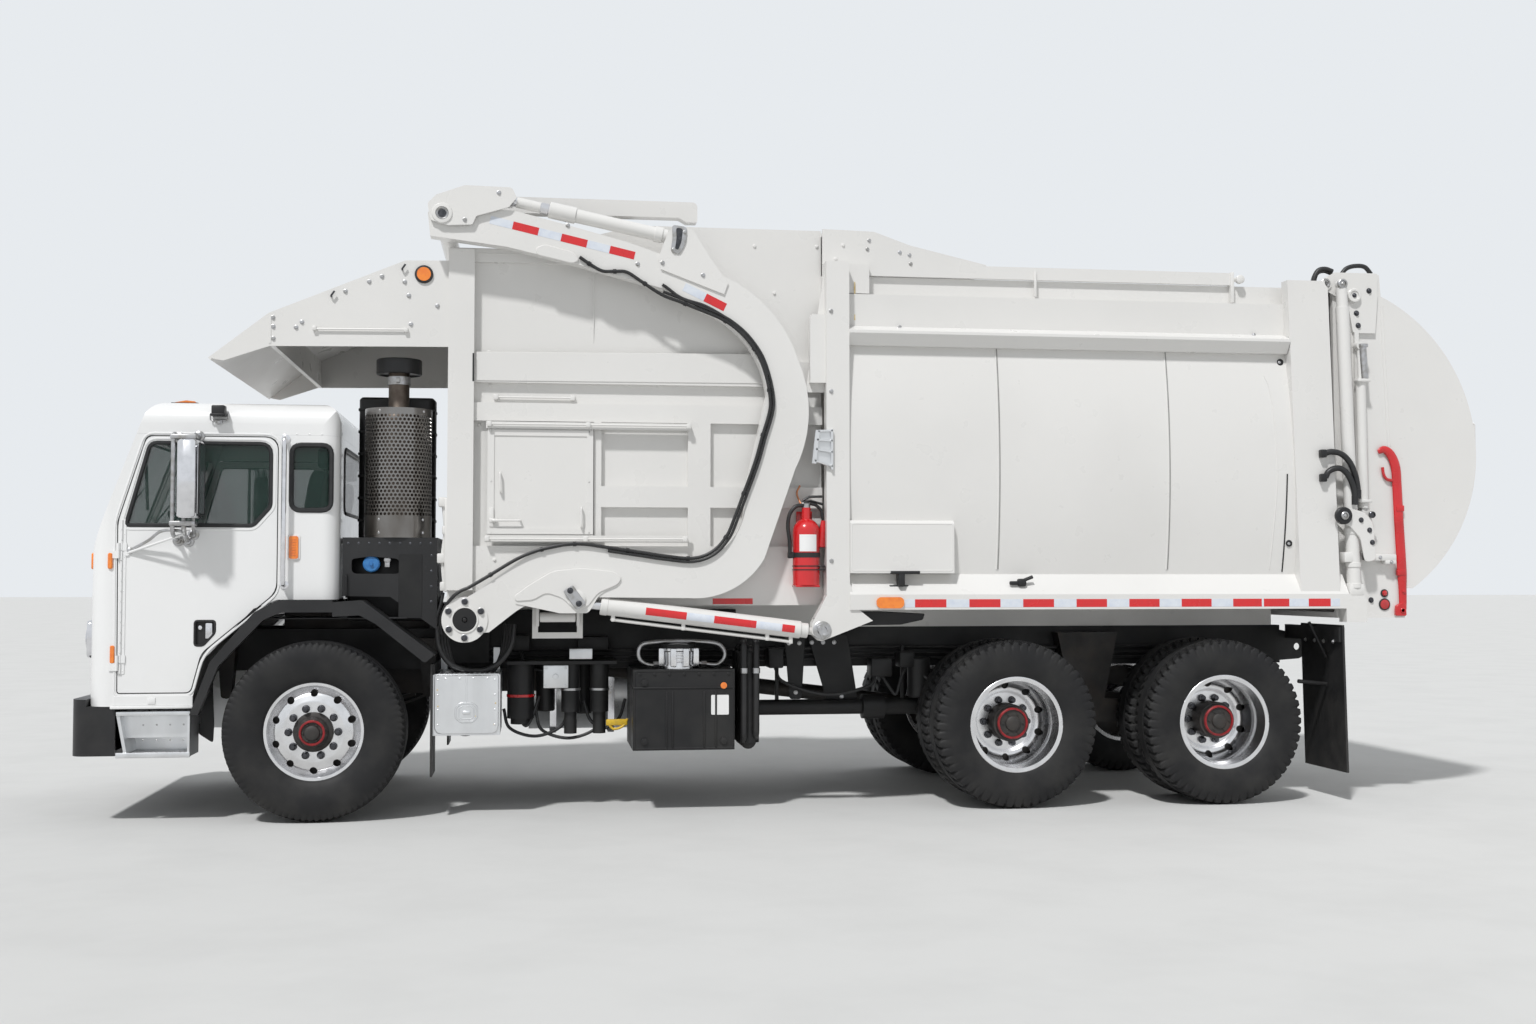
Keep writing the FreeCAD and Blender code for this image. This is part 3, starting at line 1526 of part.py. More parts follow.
def tail_lamps():
    end = body_rear
    lamps = []
    for x, z in ((end + 775.6, 1330), (end + 771.6, 1270)):
        lamps.append(Part.makeCylinder(26, 16, V(x, -tail_half + 96, z), V(1, 0, 0)))
    return lamps


def main():
    os.makedirs("parts", exist_ok=True)
    x1, x2 = first_drive_axle, second_drive_axle
    front_left = tyre(front_tyre_radius, front_tyre_width, -front_tyre_y, 0)
    save("front_tyre_left", front_left)
    save("front_tyre_right", mirrored(front_left))
    wheel = front_wheel()
    save("front_wheel_left", wheel)
    save("front_wheel_right", mirrored(wheel))
    for number, x in ((1, x1), (2, x2)):
        pair = [tyre(drive_tyre_radius, drive_tyre_width, y, x) for y in (-drive_tyre_y, -drive_tyre_y + dual_spacing)]
        save(f"drive_tyres_{number}_left", pair)
        save(f"drive_tyres_{number}_right", [mirrored(t) for t in pair])
        hub = drive_wheels(x)
        save(f"drive_wheels_{number}_left", hub)
        save(f"drive_wheels_{number}_right", mirrored(hub))
    save("front_axle", front_axle())
    steering = knuckle()
    save("knuckle_left", steering)
    save("knuckle_right", mirrored(steering))
    save("drive_axles", drive_axles())
    save("driveline", driveline())
    save("chassis_frame", chassis_frame())
    save("engine_block", engine_block())
    save("cab_shell", cab_shell())
    save("cab_glass", cab_glass())
    save("cab_interior", cab_interior())
    left_door = fuse(door(), mirror())
    save("door_left", left_door)
    save("door_right", mirrored(left_door))
    pane = door_glass()
    save("door_glass_left", pane)
    save("door_glass_right", mirrored(pane))
    save("front_bumper", [front_bumper(), grille()])
    save("headlamps", both(headlamps()))
    save("amber_lamps", amber_lamps())
    save("cab_steps", both(cab_steps()))
    save("fenders", both(fenders()))
    save("engine_cowl", engine_cowl())
    save("exhaust_stack", exhaust_stack())
    save("canopy", canopy())
    save("hopper_walls", [fuse(hopper_walls(), *access_rails()), hood()])
    side_wall, shell = body_shell()
    save("body_shell", shell)
    frame = body_frame(side_wall)
    save("body_frame", both(frame))
    save("arms", arms())
    barrel, shaft = lift_cylinder()
    save("lift_barrels", both(barrel))
    save("lift_rods", both(shaft))
    save("forks", forks())
    barrel, shaft = fork_cylinder()
    save("fork_barrels", both(barrel))
    save("fork_rods", both(shaft))
    save("top_door", top_door())
    save("packer", packer())
    save("access_door", access_door())
    save("tailgate_shell", tailgate_shell())
    gear, prop = tailgate_gear()
    save("tailgate_gear", both(gear))
    save("tail_prop", prop)
    save("tail_lamps", both(*tail_lamps()))
    barrel, shaft = tail_cylinder()
    save("tail_barrels", both(barrel))
    save("tail_rods", both(shaft))
    save("toolbox", toolbox(side_wall, frame))
    save("fold_step", fold_step())
    save("extinguisher", extinguisher())
    save("hydraulic_tank", hydraulic_tank())
    save("battery_box", battery_box())
    save("air_tanks", air_tanks())
    save("fuel_tank", fuel_tank())
    save("mudflaps", both(*mudflaps()))


main()
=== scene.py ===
import json
import math
import bmesh
import bpy
import numpy as np
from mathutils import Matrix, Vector
from mathutils.bvhtree import BVHTree

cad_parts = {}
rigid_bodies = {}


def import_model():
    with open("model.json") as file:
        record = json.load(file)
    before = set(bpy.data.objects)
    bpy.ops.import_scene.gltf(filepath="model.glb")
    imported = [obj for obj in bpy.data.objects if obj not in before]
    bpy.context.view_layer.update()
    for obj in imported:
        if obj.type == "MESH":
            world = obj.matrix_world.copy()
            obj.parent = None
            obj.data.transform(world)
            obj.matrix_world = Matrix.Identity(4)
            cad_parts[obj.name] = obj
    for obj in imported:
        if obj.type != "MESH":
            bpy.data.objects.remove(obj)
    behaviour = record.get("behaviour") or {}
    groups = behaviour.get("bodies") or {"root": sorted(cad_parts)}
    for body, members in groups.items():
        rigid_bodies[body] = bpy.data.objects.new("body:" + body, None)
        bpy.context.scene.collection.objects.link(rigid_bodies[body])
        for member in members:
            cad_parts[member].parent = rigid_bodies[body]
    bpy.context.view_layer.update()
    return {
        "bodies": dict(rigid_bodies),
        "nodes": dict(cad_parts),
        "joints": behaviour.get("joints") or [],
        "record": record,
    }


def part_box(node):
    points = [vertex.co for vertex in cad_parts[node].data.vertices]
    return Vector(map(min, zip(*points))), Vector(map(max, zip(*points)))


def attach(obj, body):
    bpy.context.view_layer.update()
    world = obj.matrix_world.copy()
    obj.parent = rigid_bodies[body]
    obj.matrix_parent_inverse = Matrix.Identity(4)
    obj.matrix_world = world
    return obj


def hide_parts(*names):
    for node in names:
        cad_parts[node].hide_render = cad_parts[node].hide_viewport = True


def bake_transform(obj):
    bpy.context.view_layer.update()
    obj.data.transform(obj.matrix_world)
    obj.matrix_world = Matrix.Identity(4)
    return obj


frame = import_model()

nodes = frame["nodes"]
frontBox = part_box("front_tyre_left")
axleX = (frontBox[0].x + frontBox[1].x) / 2  # lengths below are measured back from the front axle
rad = math.radians
print("frame loaded:", len(nodes), "nodes")


# Looks: every finish wanders between two tones in object space, and those with a dust tone take dust from
# below.

lookDefaults = dict(patchScale=30.0, stretch=None, dustScale=9.0, roughScale=6.0, bump=0.2, bumpScale=200.0,
    bumpDepth=0.001)
plainSockets = dict(metal="Metallic", specular="Specular IOR Level", sheen="Sheen Weight",
    coat="Coat Weight", coatRough="Coat Roughness")


def newLook(name, look):
    # One shader. Two tones are mixed by soft noise, dust rises from the ground and fades with height,
    # roughness wanders, and a fine noise gives the bump.
    material = bpy.data.materials.new(name)
    material.use_nodes = True
    tree = material.node_tree
    shader = tree.nodes["Principled BSDF"]
    place = tree.nodes.new("ShaderNodeTexCoord").outputs["Object"]

    def noise(scale, detail, stretch=None):
        source = place
        if stretch:
            mapping = tree.nodes.new("ShaderNodeMapping")
            mapping.inputs["Scale"].default_value = stretch
            tree.links.new(place, mapping.inputs["Vector"])
            source = mapping.outputs["Vector"]
        texture = tree.nodes.new("ShaderNodeTexNoise")
        texture.inputs["Scale"].default_value = scale
        texture.inputs["Detail"].default_value = detail
        tree.links.new(source, texture.inputs["Vector"])
        return texture.outputs["Fac"]

    def remap(value, low, high, newLow, newHigh):
        node = tree.nodes.new("ShaderNodeMapRange")
        for socket, number in zip(("From Min", "From Max", "To Min", "To Max"),
                (low, high, newLow, newHigh)):
            node.inputs[socket].default_value = number
        tree.links.new(value, node.inputs["Value"])
        return node.outputs["Result"]

    def times(first, second):
        node = tree.nodes.new("ShaderNodeMath")
        node.operation = "MULTIPLY"
        tree.links.new(first, node.inputs[0])
        tree.links.new(second, node.inputs[1])
        return node.outputs[0]

    def blendTones(factor, first, second):
        node = tree.nodes.new("ShaderNodeMix")
        node.data_type = "RGBA"
        tree.links.new(factor, node.inputs["Factor"])
        for socket, tone in (("A", first), ("B", second)):
            target = [s for s in node.inputs if s.name == socket and s.type == "RGBA"][0]
            if isinstance(tone, tuple):
                target.default_value = (*tone, 1)
            else:
                tree.links.new(tone, target)
        return [s for s in node.outputs if s.type == "RGBA"][0]

    look = {**lookDefaults, **look}
    patches = remap(noise(look["patchScale"], 5.0, look["stretch"]), 0.42, 0.68, 0.0, 1.0)
    colour = blendTones(patches, look["colour"], look["worn"])
    if "dust" in look:
        split = tree.nodes.new("ShaderNodeSeparateXYZ")
        tree.links.new(place, split.inputs["Vector"])
        height = remap(split.outputs["Z"], look["dustTop"], 0.0, 0.0, look["dustMost"])
        spots = remap(noise(look["dustScale"], 6.0), 0.38, 0.66, 0.15, 1.0)
        colour = blendTones(times(height, spots), colour, look["dust"])
    tree.links.new(colour, shader.inputs["Base Color"])
    wander = noise(look["roughScale"], 4.0, look["stretch"])
    tree.links.new(remap(wander, 0.3, 0.7, *look["rough"]), shader.inputs["Roughness"])
    bump = tree.nodes.new("ShaderNodeBump")
    bump.inputs["Strength"].default_value = look["bump"]
    bump.inputs["Distance"].default_value = look["bumpDepth"]
    tree.links.new(noise(look["bumpScale"], 3.0, look["stretch"]), bump.inputs["Height"])
    tree.links.new(bump.outputs["Normal"], shader.inputs["Normal"])
    for word, socket in plainSockets.items():
        if word in look:
            shader.inputs[socket].default_value = look[word]
    return material


dustTone = (0.42, 0.39, 0.34)
lookSettings = {
    "bodyPaint": dict(colour=(0.745, 0.735, 0.715), worn=(0.71, 0.7, 0.68), patchScale=0.9, dust=dustTone,
        dustTop=1.5, dustMost=0.16, rough=(0.26, 0.4), bump=0.12, bumpScale=3.0, bumpDepth=0.004, coat=0.25,
        coatRough=0.18),
    "cabPaint": dict(colour=(0.83, 0.83, 0.825), worn=(0.8, 0.8, 0.795), patchScale=0.8, dust=dustTone,
        dustTop=1.1, dustMost=0.14, rough=(0.16, 0.26), bump=0.05, bumpScale=60.0, bumpDepth=0.0006,
        coat=0.6, coatRough=0.06),
    "chassisPaint": dict(colour=(0.011, 0.011, 0.012), worn=(0.018, 0.018, 0.018), patchScale=5.0,
        dust=(0.16, 0.15, 0.135), dustTop=1.6, dustMost=0.08, dustScale=6.0, rough=(0.36, 0.6),
        bumpScale=55.0, specular=0.32),
    # black plastic of the mouldings, and also painted shade in the wheel arch
    "mouldedBlackAndShade": dict(colour=(0.014, 0.014, 0.015), worn=(0.022, 0.022, 0.023), patchScale=4.0,
        dust=(0.22, 0.2, 0.18), dustTop=1.5, dustMost=0.06, rough=(0.34, 0.48), bump=0.25, bumpScale=420.0,
        bumpDepth=0.0005, specular=0.4),
    "castIron": dict(colour=(0.016, 0.015, 0.015), worn=(0.034, 0.026, 0.022), patchScale=7.0,
        dust=(0.22, 0.2, 0.17), dustTop=1.4, dustMost=0.14, rough=(0.45, 0.7), bump=0.5, bumpScale=150.0,
        bumpDepth=0.0012),
    "tyreRubber": dict(colour=(0.012, 0.012, 0.013), worn=(0.018, 0.018, 0.018), patchScale=5.0,
        dust=(0.14, 0.13, 0.12), dustTop=1.3, dustMost=0.1, dustScale=5.0, rough=(0.55, 0.75), bump=0.25,
        bumpScale=240.0, bumpDepth=0.0006, specular=0.28),
    "flapRubber": dict(colour=(0.012, 0.012, 0.013), worn=(0.026, 0.025, 0.024), patchScale=3.0,
        dust=(0.24, 0.22, 0.19), dustTop=1.1, dustMost=0.08, rough=(0.5, 0.7), bump=0.3, bumpScale=90.0),
    "rimAluminium": dict(colour=(0.8, 0.8, 0.81), worn=(0.7, 0.7, 0.71), patchScale=12.0,
        dust=(0.5, 0.47, 0.43), dustTop=0.9, dustMost=0.2, rough=(0.2, 0.3), bump=0.03, bumpScale=60.0,
        bumpDepth=0.0003, metal=1.0),
    "sheetAluminium": dict(colour=(0.76, 0.77, 0.78), worn=(0.66, 0.67, 0.68), patchScale=7.0,
        stretch=(1.0, 1.0, 0.25), dust=(0.48, 0.45, 0.41), dustTop=1.0, dustMost=0.25, rough=(0.26, 0.44),
        bump=0.1, bumpScale=60.0, metal=0.9),
    "polishedSteel": dict(colour=(0.78, 0.78, 0.8), worn=(0.68, 0.68, 0.7), patchScale=16.0,
        rough=(0.08, 0.18), bump=0.03, bumpDepth=0.0003, metal=1.0),
    "zincPlate": dict(colour=(0.5, 0.5, 0.51), worn=(0.36, 0.35, 0.33), rough=(0.3, 0.45), bump=0.1,
        bumpScale=300.0, metal=1.0),
    "shieldSteel": dict(colour=(0.27, 0.26, 0.25), worn=(0.15, 0.135, 0.12), patchScale=5.0,
        stretch=(1.0, 1.0, 0.4), rough=(0.16, 0.26), bump=0.1, bumpScale=70.0, metal=1.0),
    "burntSteel": dict(colour=(0.15, 0.125, 0.105), worn=(0.08, 0.06, 0.05), patchScale=9.0,
        rough=(0.3, 0.5), bumpScale=90.0, metal=1.0),
    "redEnamel": dict(colour=(0.62, 0.012, 0.016), worn=(0.5, 0.01, 0.012), patchScale=6.0,
        rough=(0.18, 0.32), bump=0.08, bumpScale=50.0, coat=0.5, coatRough=0.08),
    "sealRed": dict(colour=(0.3, 0.01, 0.014), worn=(0.16, 0.01, 0.012), rough=(0.3, 0.5), bump=0.3,
        bumpScale=160.0),
    "redLens": dict(colour=(0.55, 0.008, 0.01), worn=(0.42, 0.006, 0.008), rough=(0.1, 0.16), bump=0.5,
        bumpScale=260.0, coat=1.0, coatRough=0.03),
    "amberLens": dict(colour=(0.9, 0.24, 0.012), worn=(0.8, 0.18, 0.01), rough=(0.1, 0.16), bump=0.5,
        bumpScale=260.0, coat=1.0, coatRough=0.03),
    "clearLens": dict(colour=(0.8, 0.82, 0.84), worn=(0.7, 0.72, 0.74), patchScale=40.0, rough=(0.05, 0.1),
        bump=0.6, bumpScale=220.0, coat=1.0, coatRough=0.02),
    "redTape": dict(colour=(0.66, 0.01, 0.014), worn=(0.6, 0.012, 0.016), patchScale=20.0,
        rough=(0.22, 0.34), bump=0.25, bumpScale=500.0, bumpDepth=0.0003, coat=0.6),
    "paleTape": dict(colour=(0.7, 0.74, 0.8), worn=(0.62, 0.67, 0.76), patchScale=20.0, rough=(0.2, 0.32),
        bump=0.25, bumpScale=500.0, bumpDepth=0.0003, coat=0.6),
    # grey lines beside the weld seams of the smooth wall: painted shadow
    "seamShadeGrey": dict(colour=(0.33, 0.325, 0.315), worn=(0.25, 0.245, 0.235), patchScale=9.0,
        rough=(0.5, 0.7), bump=0.1),
    # black rubber of seals and rings, and also painted shade in the slits of the posts
    "gasketAndSlitShade": dict(colour=(0.01, 0.01, 0.011), worn=(0.018, 0.018, 0.019), patchScale=25.0,
        rough=(0.45, 0.6), bump=0.15, bumpScale=300.0),
    "blueCap": dict(colour=(0.03, 0.16, 0.42), worn=(0.05, 0.22, 0.5), patchScale=40.0, rough=(0.25, 0.4),
        bumpScale=90.0),
    "copperTone": dict(colour=(0.45, 0.16, 0.07), worn=(0.55, 0.24, 0.12), patchScale=60.0,
        rough=(0.3, 0.45), metal=0.7),
    "yellowPlastic": dict(colour=(0.7, 0.46, 0.03), worn=(0.55, 0.36, 0.04), patchScale=50.0,
        rough=(0.35, 0.5)),
    "sealant": dict(colour=(0.62, 0.46, 0.2), worn=(0.74, 0.62, 0.38), patchScale=20.0, rough=(0.4, 0.6),
        bump=0.3, bumpScale=120.0),
    "hoseRubber": dict(colour=(0.012, 0.012, 0.013), worn=(0.022, 0.022, 0.022), rough=(0.38, 0.55),
        bump=0.3, bumpScale=500.0, bumpDepth=0.0004),
    "seatCloth": dict(colour=(0.055, 0.057, 0.062), worn=(0.085, 0.086, 0.09), patchScale=120.0,
        rough=(0.8, 0.95), bump=0.5, bumpScale=900.0, bumpDepth=0.0008, sheen=0.35),
    "cabTrim": dict(colour=(0.06, 0.062, 0.066), worn=(0.08, 0.082, 0.086), patchScale=6.0,
        rough=(0.5, 0.68), bump=0.3, bumpScale=380.0, bumpDepth=0.0006),
    "darkNut": dict(colour=(0.06, 0.062, 0.068), worn=(0.1, 0.1, 0.11), patchScale=40.0, rough=(0.22, 0.36),
        bump=0.1, metal=0.8),
}
looks = {name: newLook(name, look) for name, look in lookSettings.items()}


def glassLook(name, tint, seen):
    # Tinted glass: a dark clear sheet that lets the inside show, with a sharp reflection.
    material = newLook(name, dict(colour=tint, worn=tuple(0.9 * c for c in tint), patchScale=1.2,
        rough=(0.0, 0.02), bump=0.02, bumpScale=2.0, bumpDepth=0.001))
    shader = material.node_tree.nodes["Principled BSDF"]
    shader.inputs["IOR"].default_value = 1.5
    shader.inputs["Alpha"].default_value = seen
    return material


looks["cabGlass"] = glassLook("cabGlass", (0.012, 0.04, 0.03), 0.42)

slotLooks = {
    "paint_white": "bodyPaint", "frame_black": "chassisPaint", "cab_black": "mouldedBlackAndShade",
    "tyre": "tyreRubber", "rim": "rimAluminium", "aluminium": "sheetAluminium", "steel": "polishedSteel",
    "silencer": "shieldSteel", "seat": "cabTrim", "red": "redEnamel", "rubber": "flapRubber",
    "iron": "castIron", "glass": "cabGlass", "lamp_red": "redLens", "lamp_amber": "amberLens",
    "lamp_clear": "clearLens",
}
nodeLooks = {"cab_shell": "cabPaint", "door_left": "cabPaint", "door_right": "cabPaint",
    "tail_rods": "bodyPaint"}
for name, node in nodes.items():
    slotName = node.data.materials[0].name
    node.data.materials[0] = looks[nodeLooks.get(name, slotLooks[slotName])]
print("looks made:", len(looks))


# Mesh makers. A part is a pair: points as an array, and faces as a list of index rows.

def gridFaces(rows, columns, closeRows=False, closeColumns=False):
    # Each face joins a point with the next along its row and along its column.
    index = np.arange(rows * columns).reshape(rows, columns)
    if closeRows:
        index = np.vstack([index, index[:1]])
    if closeColumns:
        index = np.hstack([index, index[:, :1]])
    corners = (index[:-1, :-1], index[:-1, 1:], index[1:, 1:], index[1:, :-1])
    return np.stack(corners, -1).reshape(-1, 4).tolist()


def gridPart(points, closeRows=False, closeColumns=False, caps=False):
    # A grid of points as a surface; caps close its first and last row with one face each.
    rows, columns = points.shape[:2]
    faces = gridFaces(rows, columns, closeRows, closeColumns)
    if caps:
        faces += [list(range(columns)), list(range((rows - 1) * columns, rows * columns))]
    return points.reshape(-1, 3), faces


def joined(parts):
    # The parts' points one after another, each part's faces counted on from the parts before it.
    points, faces, start = [], [], 0
    for partPoints, partFaces in parts:
        points.append(partPoints)
        faces += [[index + start for index in face] for face in partFaces]
        start += len(partPoints)
    return np.concatenate(points), faces


def mirrorImage(part):
    # Mirrored across the truck's middle.
    points, faces = part
    return points * (1, -1, 1), [face[::-1] for face in faces]


def moved(part, offset):
    return part[0] + np.asarray(offset, float), part[1]


def addPiece(name, part, look, body="chassis", sharp=35):
    # Takes a part or a list of parts, measured back from the front axle. Points that meet are merged, and
    # faces turned outwards. The piece rides its body; with None it is left free.
    points, faces = joined(part) if isinstance(part, list) else part
    mesh = bpy.data.meshes.new(name)
    mesh.from_pydata((points + (axleX, 0, 0)).tolist(), [], faces)
    shape = bmesh.new()
    shape.from_mesh(mesh)
    bmesh.ops.remove_doubles(shape, verts=shape.verts, dist=0.00002)
    bmesh.ops.dissolve_degenerate(shape, edges=shape.edges, dist=0.00002)
    bmesh.ops.recalc_face_normals(shape, faces=shape.faces)
    shape.to_mesh(mesh)
    shape.free()
    mesh.materials.append(looks[look])
    mesh.shade_smooth()
    mesh.set_sharp_from_angle(angle=rad(sharp))
    piece = bpy.data.objects.new(name, mesh)
    bpy.context.scene.collection.objects.link(piece)
    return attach(piece, body) if body else piece


outwards, upwards = (0, -1, 0), (0, 0, 1)  # off the left-hand side, and to the sky


def axisFrame(axis):
    # Three unit rows: two across, and the axis itself last.
    along = np.asarray(axis, float) / np.linalg.norm(axis)
    across = np.cross((0, 0, 1) if abs(along[2]) < 0.9 else (1, 0, 0), along)
    across /= np.linalg.norm(across)
    return np.array([across, np.cross(along, across), along])


def fullTurn(count):
    # Even angles once round.
    return np.linspace(0, 2 * math.pi, count, endpoint=False)


def lathe(profile, origin, axis, sides=32):
    # Profile (distance along the axis, radius) turned round the axis.
    # An end that stops off the axis is closed by a flat face.
    profile = [tuple(p) for p in np.asarray(profile, float)]
    ring = profile[0][1] > 0 and profile[-1][1] > 0
    if not ring and profile[0][1] > 0:
        profile.insert(0, (profile[0][0], 0.0))
    if not ring and profile[-1][1] > 0:
        profile.append((profile[-1][0], 0.0))
    profile = np.asarray(profile, float)
    turn = fullTurn(sides)
    local = np.stack([np.outer(profile[:, 1], np.cos(turn)), np.outer(profile[:, 1], np.sin(turn)),
        np.repeat(profile[:, :1], sides, 1)], -1)
    return gridPart(local @ axisFrame(axis) + np.asarray(origin, float), closeColumns=True, caps=ring)


def roundBox(low, high, edge, steps=2):
    # A ball's directions by longitude and latitude, each moved out to the corner of the box it points to.
    low, high = np.asarray(low, float), np.asarray(high, float)
    low, high = np.minimum(low, high), np.maximum(low, high)
    edge = min(edge, 0.499 * float((high - low).min()))
    quarter = np.linspace(0, math.pi / 2, steps + 1)
    longitude = np.concatenate([quarter + k * math.pi / 2 for k in range(4)])
    latitude = np.concatenate([quarter - math.pi / 2, quarter])
    signX = np.repeat([1, -1, -1, 1], steps + 1)
    signY = np.repeat([1, 1, -1, -1], steps + 1)
    signZ = np.repeat([-1, 1], steps + 1)
    ball = np.stack([np.outer(np.cos(latitude), np.cos(longitude)),
        np.outer(np.cos(latitude), np.sin(longitude)),
        np.repeat(np.sin(latitude)[:, None], len(longitude), 1)], -1)
    corner = np.stack(np.broadcast_arrays(signX[None], signY[None], signZ[:, None]), -1)
    return gridPart((low + high) / 2 + corner * ((high - low) / 2 - edge) + ball * edge,
        closeColumns=True, caps=True)


def lengthOf(rows):
    # One length per row, as a column.
    return np.linalg.norm(rows, axis=1, keepdims=True)


def cornerCurves(start, corner, end, steps):
    # Between each start and end, a curve that the corner draws towards itself.
    share = np.linspace(0, 1, steps + 1)[None, :, None]
    start, corner, end = start[:, None], corner[:, None], end[:, None]
    return (1 - share) ** 2 * start + 2 * share * (1 - share) * corner + share ** 2 * end


def rounded(corners, radius, steps=4):
    # Each corner becomes a short curve between points set back along its two edges.
    corners = np.asarray(corners, float)
    before, after = np.roll(corners, 1, 0) - corners, np.roll(corners, -1, 0) - corners
    lengths = [lengthOf(edge) for edge in (before, after)]
    back = np.minimum(np.broadcast_to(np.reshape(radius, (-1, 1)), (len(corners), 1)),
        0.49 * np.minimum(*lengths))
    start, end = corners + before / lengths[0] * back, corners + after / lengths[1] * back
    return cornerCurves(start, corners, end, steps).reshape(-1, 2)


def shrunk(outline, inset):
    # Each point moves square to the line through its neighbours, towards the inside.
    chord = np.roll(outline, -1, 0) - np.roll(outline, 1, 0)
    normal = np.stack([-chord[:, 1], chord[:, 0]], 1) / (lengthOf(chord) + 1e-12)
    following = np.roll(outline, -1, 0)
    area = (outline[:, 0] * following[:, 1] - outline[:, 1] * following[:, 0]).sum()
    return outline + normal * inset * np.sign(area)


planes = {"side": (0, 2, 1), "front": (1, 2, 0), "top": (0, 1, 2)}


def plate(outline, plane, low, high, edge=0.0015):
    # An outline carried from low to high square to its plane, with its two rims bevelled.
    outline = np.asarray(outline, float)
    inner = shrunk(outline, edge)
    step = edge if high > low else -edge
    rings = [(inner, low), (outline, low + step), (outline, high - step), (inner, high)]
    points = np.zeros((len(rings), len(outline), 3))
    first, second, depth = planes[plane]
    for k, (ring, level) in enumerate(rings):
        points[k, :, first], points[k, :, second], points[k, :, depth] = ring[:, 0], ring[:, 1], level
    return gridPart(points, closeColumns=True, caps=True)


def smoothPath(corners, steps=60):
    # A Catmull curve through the corners, its points as even shares of each run.
    corners = np.asarray(corners, float)
    padded = np.vstack([2 * corners[:1] - corners[1:2], corners, 2 * corners[-1:] - corners[-2:-1]])
    share = np.linspace(0, len(corners) - 1, steps)
    run = np.minimum(share.astype(int), len(corners) - 2)
    t = (share - run)[:, None]
    a, b, c, d = (padded[run + k] for k in range(4))
    square, cube = 2 * a - 5 * b + 4 * c - d, 3 * b - 3 * c + d - a
    return 0.5 * (2 * b + (c - a) * t + square * t ** 2 + cube * t ** 3)


def bentPath(corners, bend, steps=5):
    # A bent bar: straight runs with a curve of the given reach at each inner corner.
    corners = np.asarray(corners, float)
    before, after = corners[:-2] - corners[1:-1], corners[2:] - corners[1:-1]
    lengths = [lengthOf(run) for run in (before, after)]
    back = np.minimum(bend, 0.45 * np.minimum(*lengths))
    start, end = corners[1:-1] + before / lengths[0] * back, corners[1:-1] + after / lengths[1] * back
    curves = cornerCurves(start, corners[1:-1], end, steps)
    return np.vstack([corners[:1], curves.reshape(-1, 3), corners[-1:]])


def tube(path, radius, sides=10, flat=1.0):
    # A ring carried along a path; each ring stands square to the path, turned from the one direction
    # that the path keeps clear of.
    path = np.asarray(path, float)
    tangent = np.gradient(path, axis=0)
    tangent /= lengthOf(tangent) + 1e-12
    spread = np.abs(tangent).max(0)
    steady = np.eye(3)[int(np.argmin(spread))]
    across = np.cross(tangent, steady)
    across /= lengthOf(across) + 1e-12
    upward = np.cross(across, tangent)
    turn = fullTurn(sides)[None, :, None]
    radius = np.broadcast_to(np.asarray(radius, float), (len(path),))[:, None, None]
    ring = across[:, None] * np.cos(turn) + flat * upward[:, None] * np.sin(turn)
    return gridPart(path[:, None] + radius * ring, closeColumns=True, caps=True)


def repeated(part, places):
    # The same part at each place.
    points, faces = part
    places = np.asarray(places, float).reshape(-1, 3)
    everywhere = (places[:, None] + points[None]).reshape(-1, 3)
    starts = np.arange(len(places)) * len(points)
    return everywhere, [[index + start for index in face] for start in starts for face in faces]


def boltHead(across, height, axis):
    # A washer with a six-sided head on it.
    r = across / 2
    washer = lathe([(-0.001, 0), (-0.001, 1.45 * r), (0.12 * height, 1.45 * r), (0.2 * height, 1.3 * r),
        (0.2 * height, 0)], (0, 0, 0), axis, 12)
    head = lathe([(0.1 * height, 0), (0.1 * height, r), (0.85 * height, r), (height, 0.8 * r), (height, 0)],
        (0, 0, 0), axis, 6)
    return joined([washer, head])


def bolts(places, across=0.024, height=0.012, axis=outwards):
    return repeated(boltHead(across, height, axis), places)


def between(start, end, count):
    # Evenly spaced places from start to end.
    return np.linspace(start, end, count)


def rivets(places, radius=0.008, height=0.003, axis=outwards):
    # Low domes.
    return repeated(lathe([(-0.001, radius), (0.3 * height, 0.95 * radius), (0.8 * height, 0.6 * radius),
        (height, 0)], (0, 0, 0), axis, 10), places)


skins = {}


def onSkin(names, pairs):
    # The first face that a line from the left meets at each (x, z).
    places = []
    for x, z in pairs:
        start = Vector((x + axleX, -12, z))
        hits = []
        for name in names.split():
            if name not in skins:
                mesh = nodes[name].data
                faces = [p.vertices for p in mesh.polygons]
                skins[name] = BVHTree.FromPolygons([v.co for v in mesh.vertices], faces)
            hit = skins[name].ray_cast(start, Vector((0, 1, 0)))
            if hit[0] is not None:
                hits.append((hit[3], hit[0]))
        if not hits:
            raise ValueError(f"no face of {names} at {x}, {z}")
        nearest = min(hits, key=lambda hit: hit[0])[1]
        places.append((nearest.x - axleX, nearest.y, nearest.z))
    return np.array(places)


def bentBar(corners, bend, radius, sides):
    return tube(bentPath(corners, bend), radius, sides)


def skinLevel(names, x, z):
    # How far out the skin lies on the left, as its y.
    return onSkin(names, [(x, z)])[0, 1]


def hose(corners, radius, sides=10):
    return tube(smoothPath(corners, 8 * len(corners)), radius, sides)


def clips(corners, shares, radius):
    # Bands round a hose at shares of its run.
    path = smoothPath(corners, 200)
    parts = []
    for share in shares:
        k = int(share * 198)
        run = path[k + 1] - path[k]
        profile = [(-0.01, radius * 0.9), (-0.01, radius * 1.25), (0.01, radius * 1.25),
            (0.01, radius * 0.9)]
        parts.append(lathe(profile, path[k], run, 14))
    return joined(parts)


def decal(corners, level):
    # A thin patch on the left-hand face at level.
    return plate(corners, "side", level + 0.0004, level - 0.0012, 0.0003)


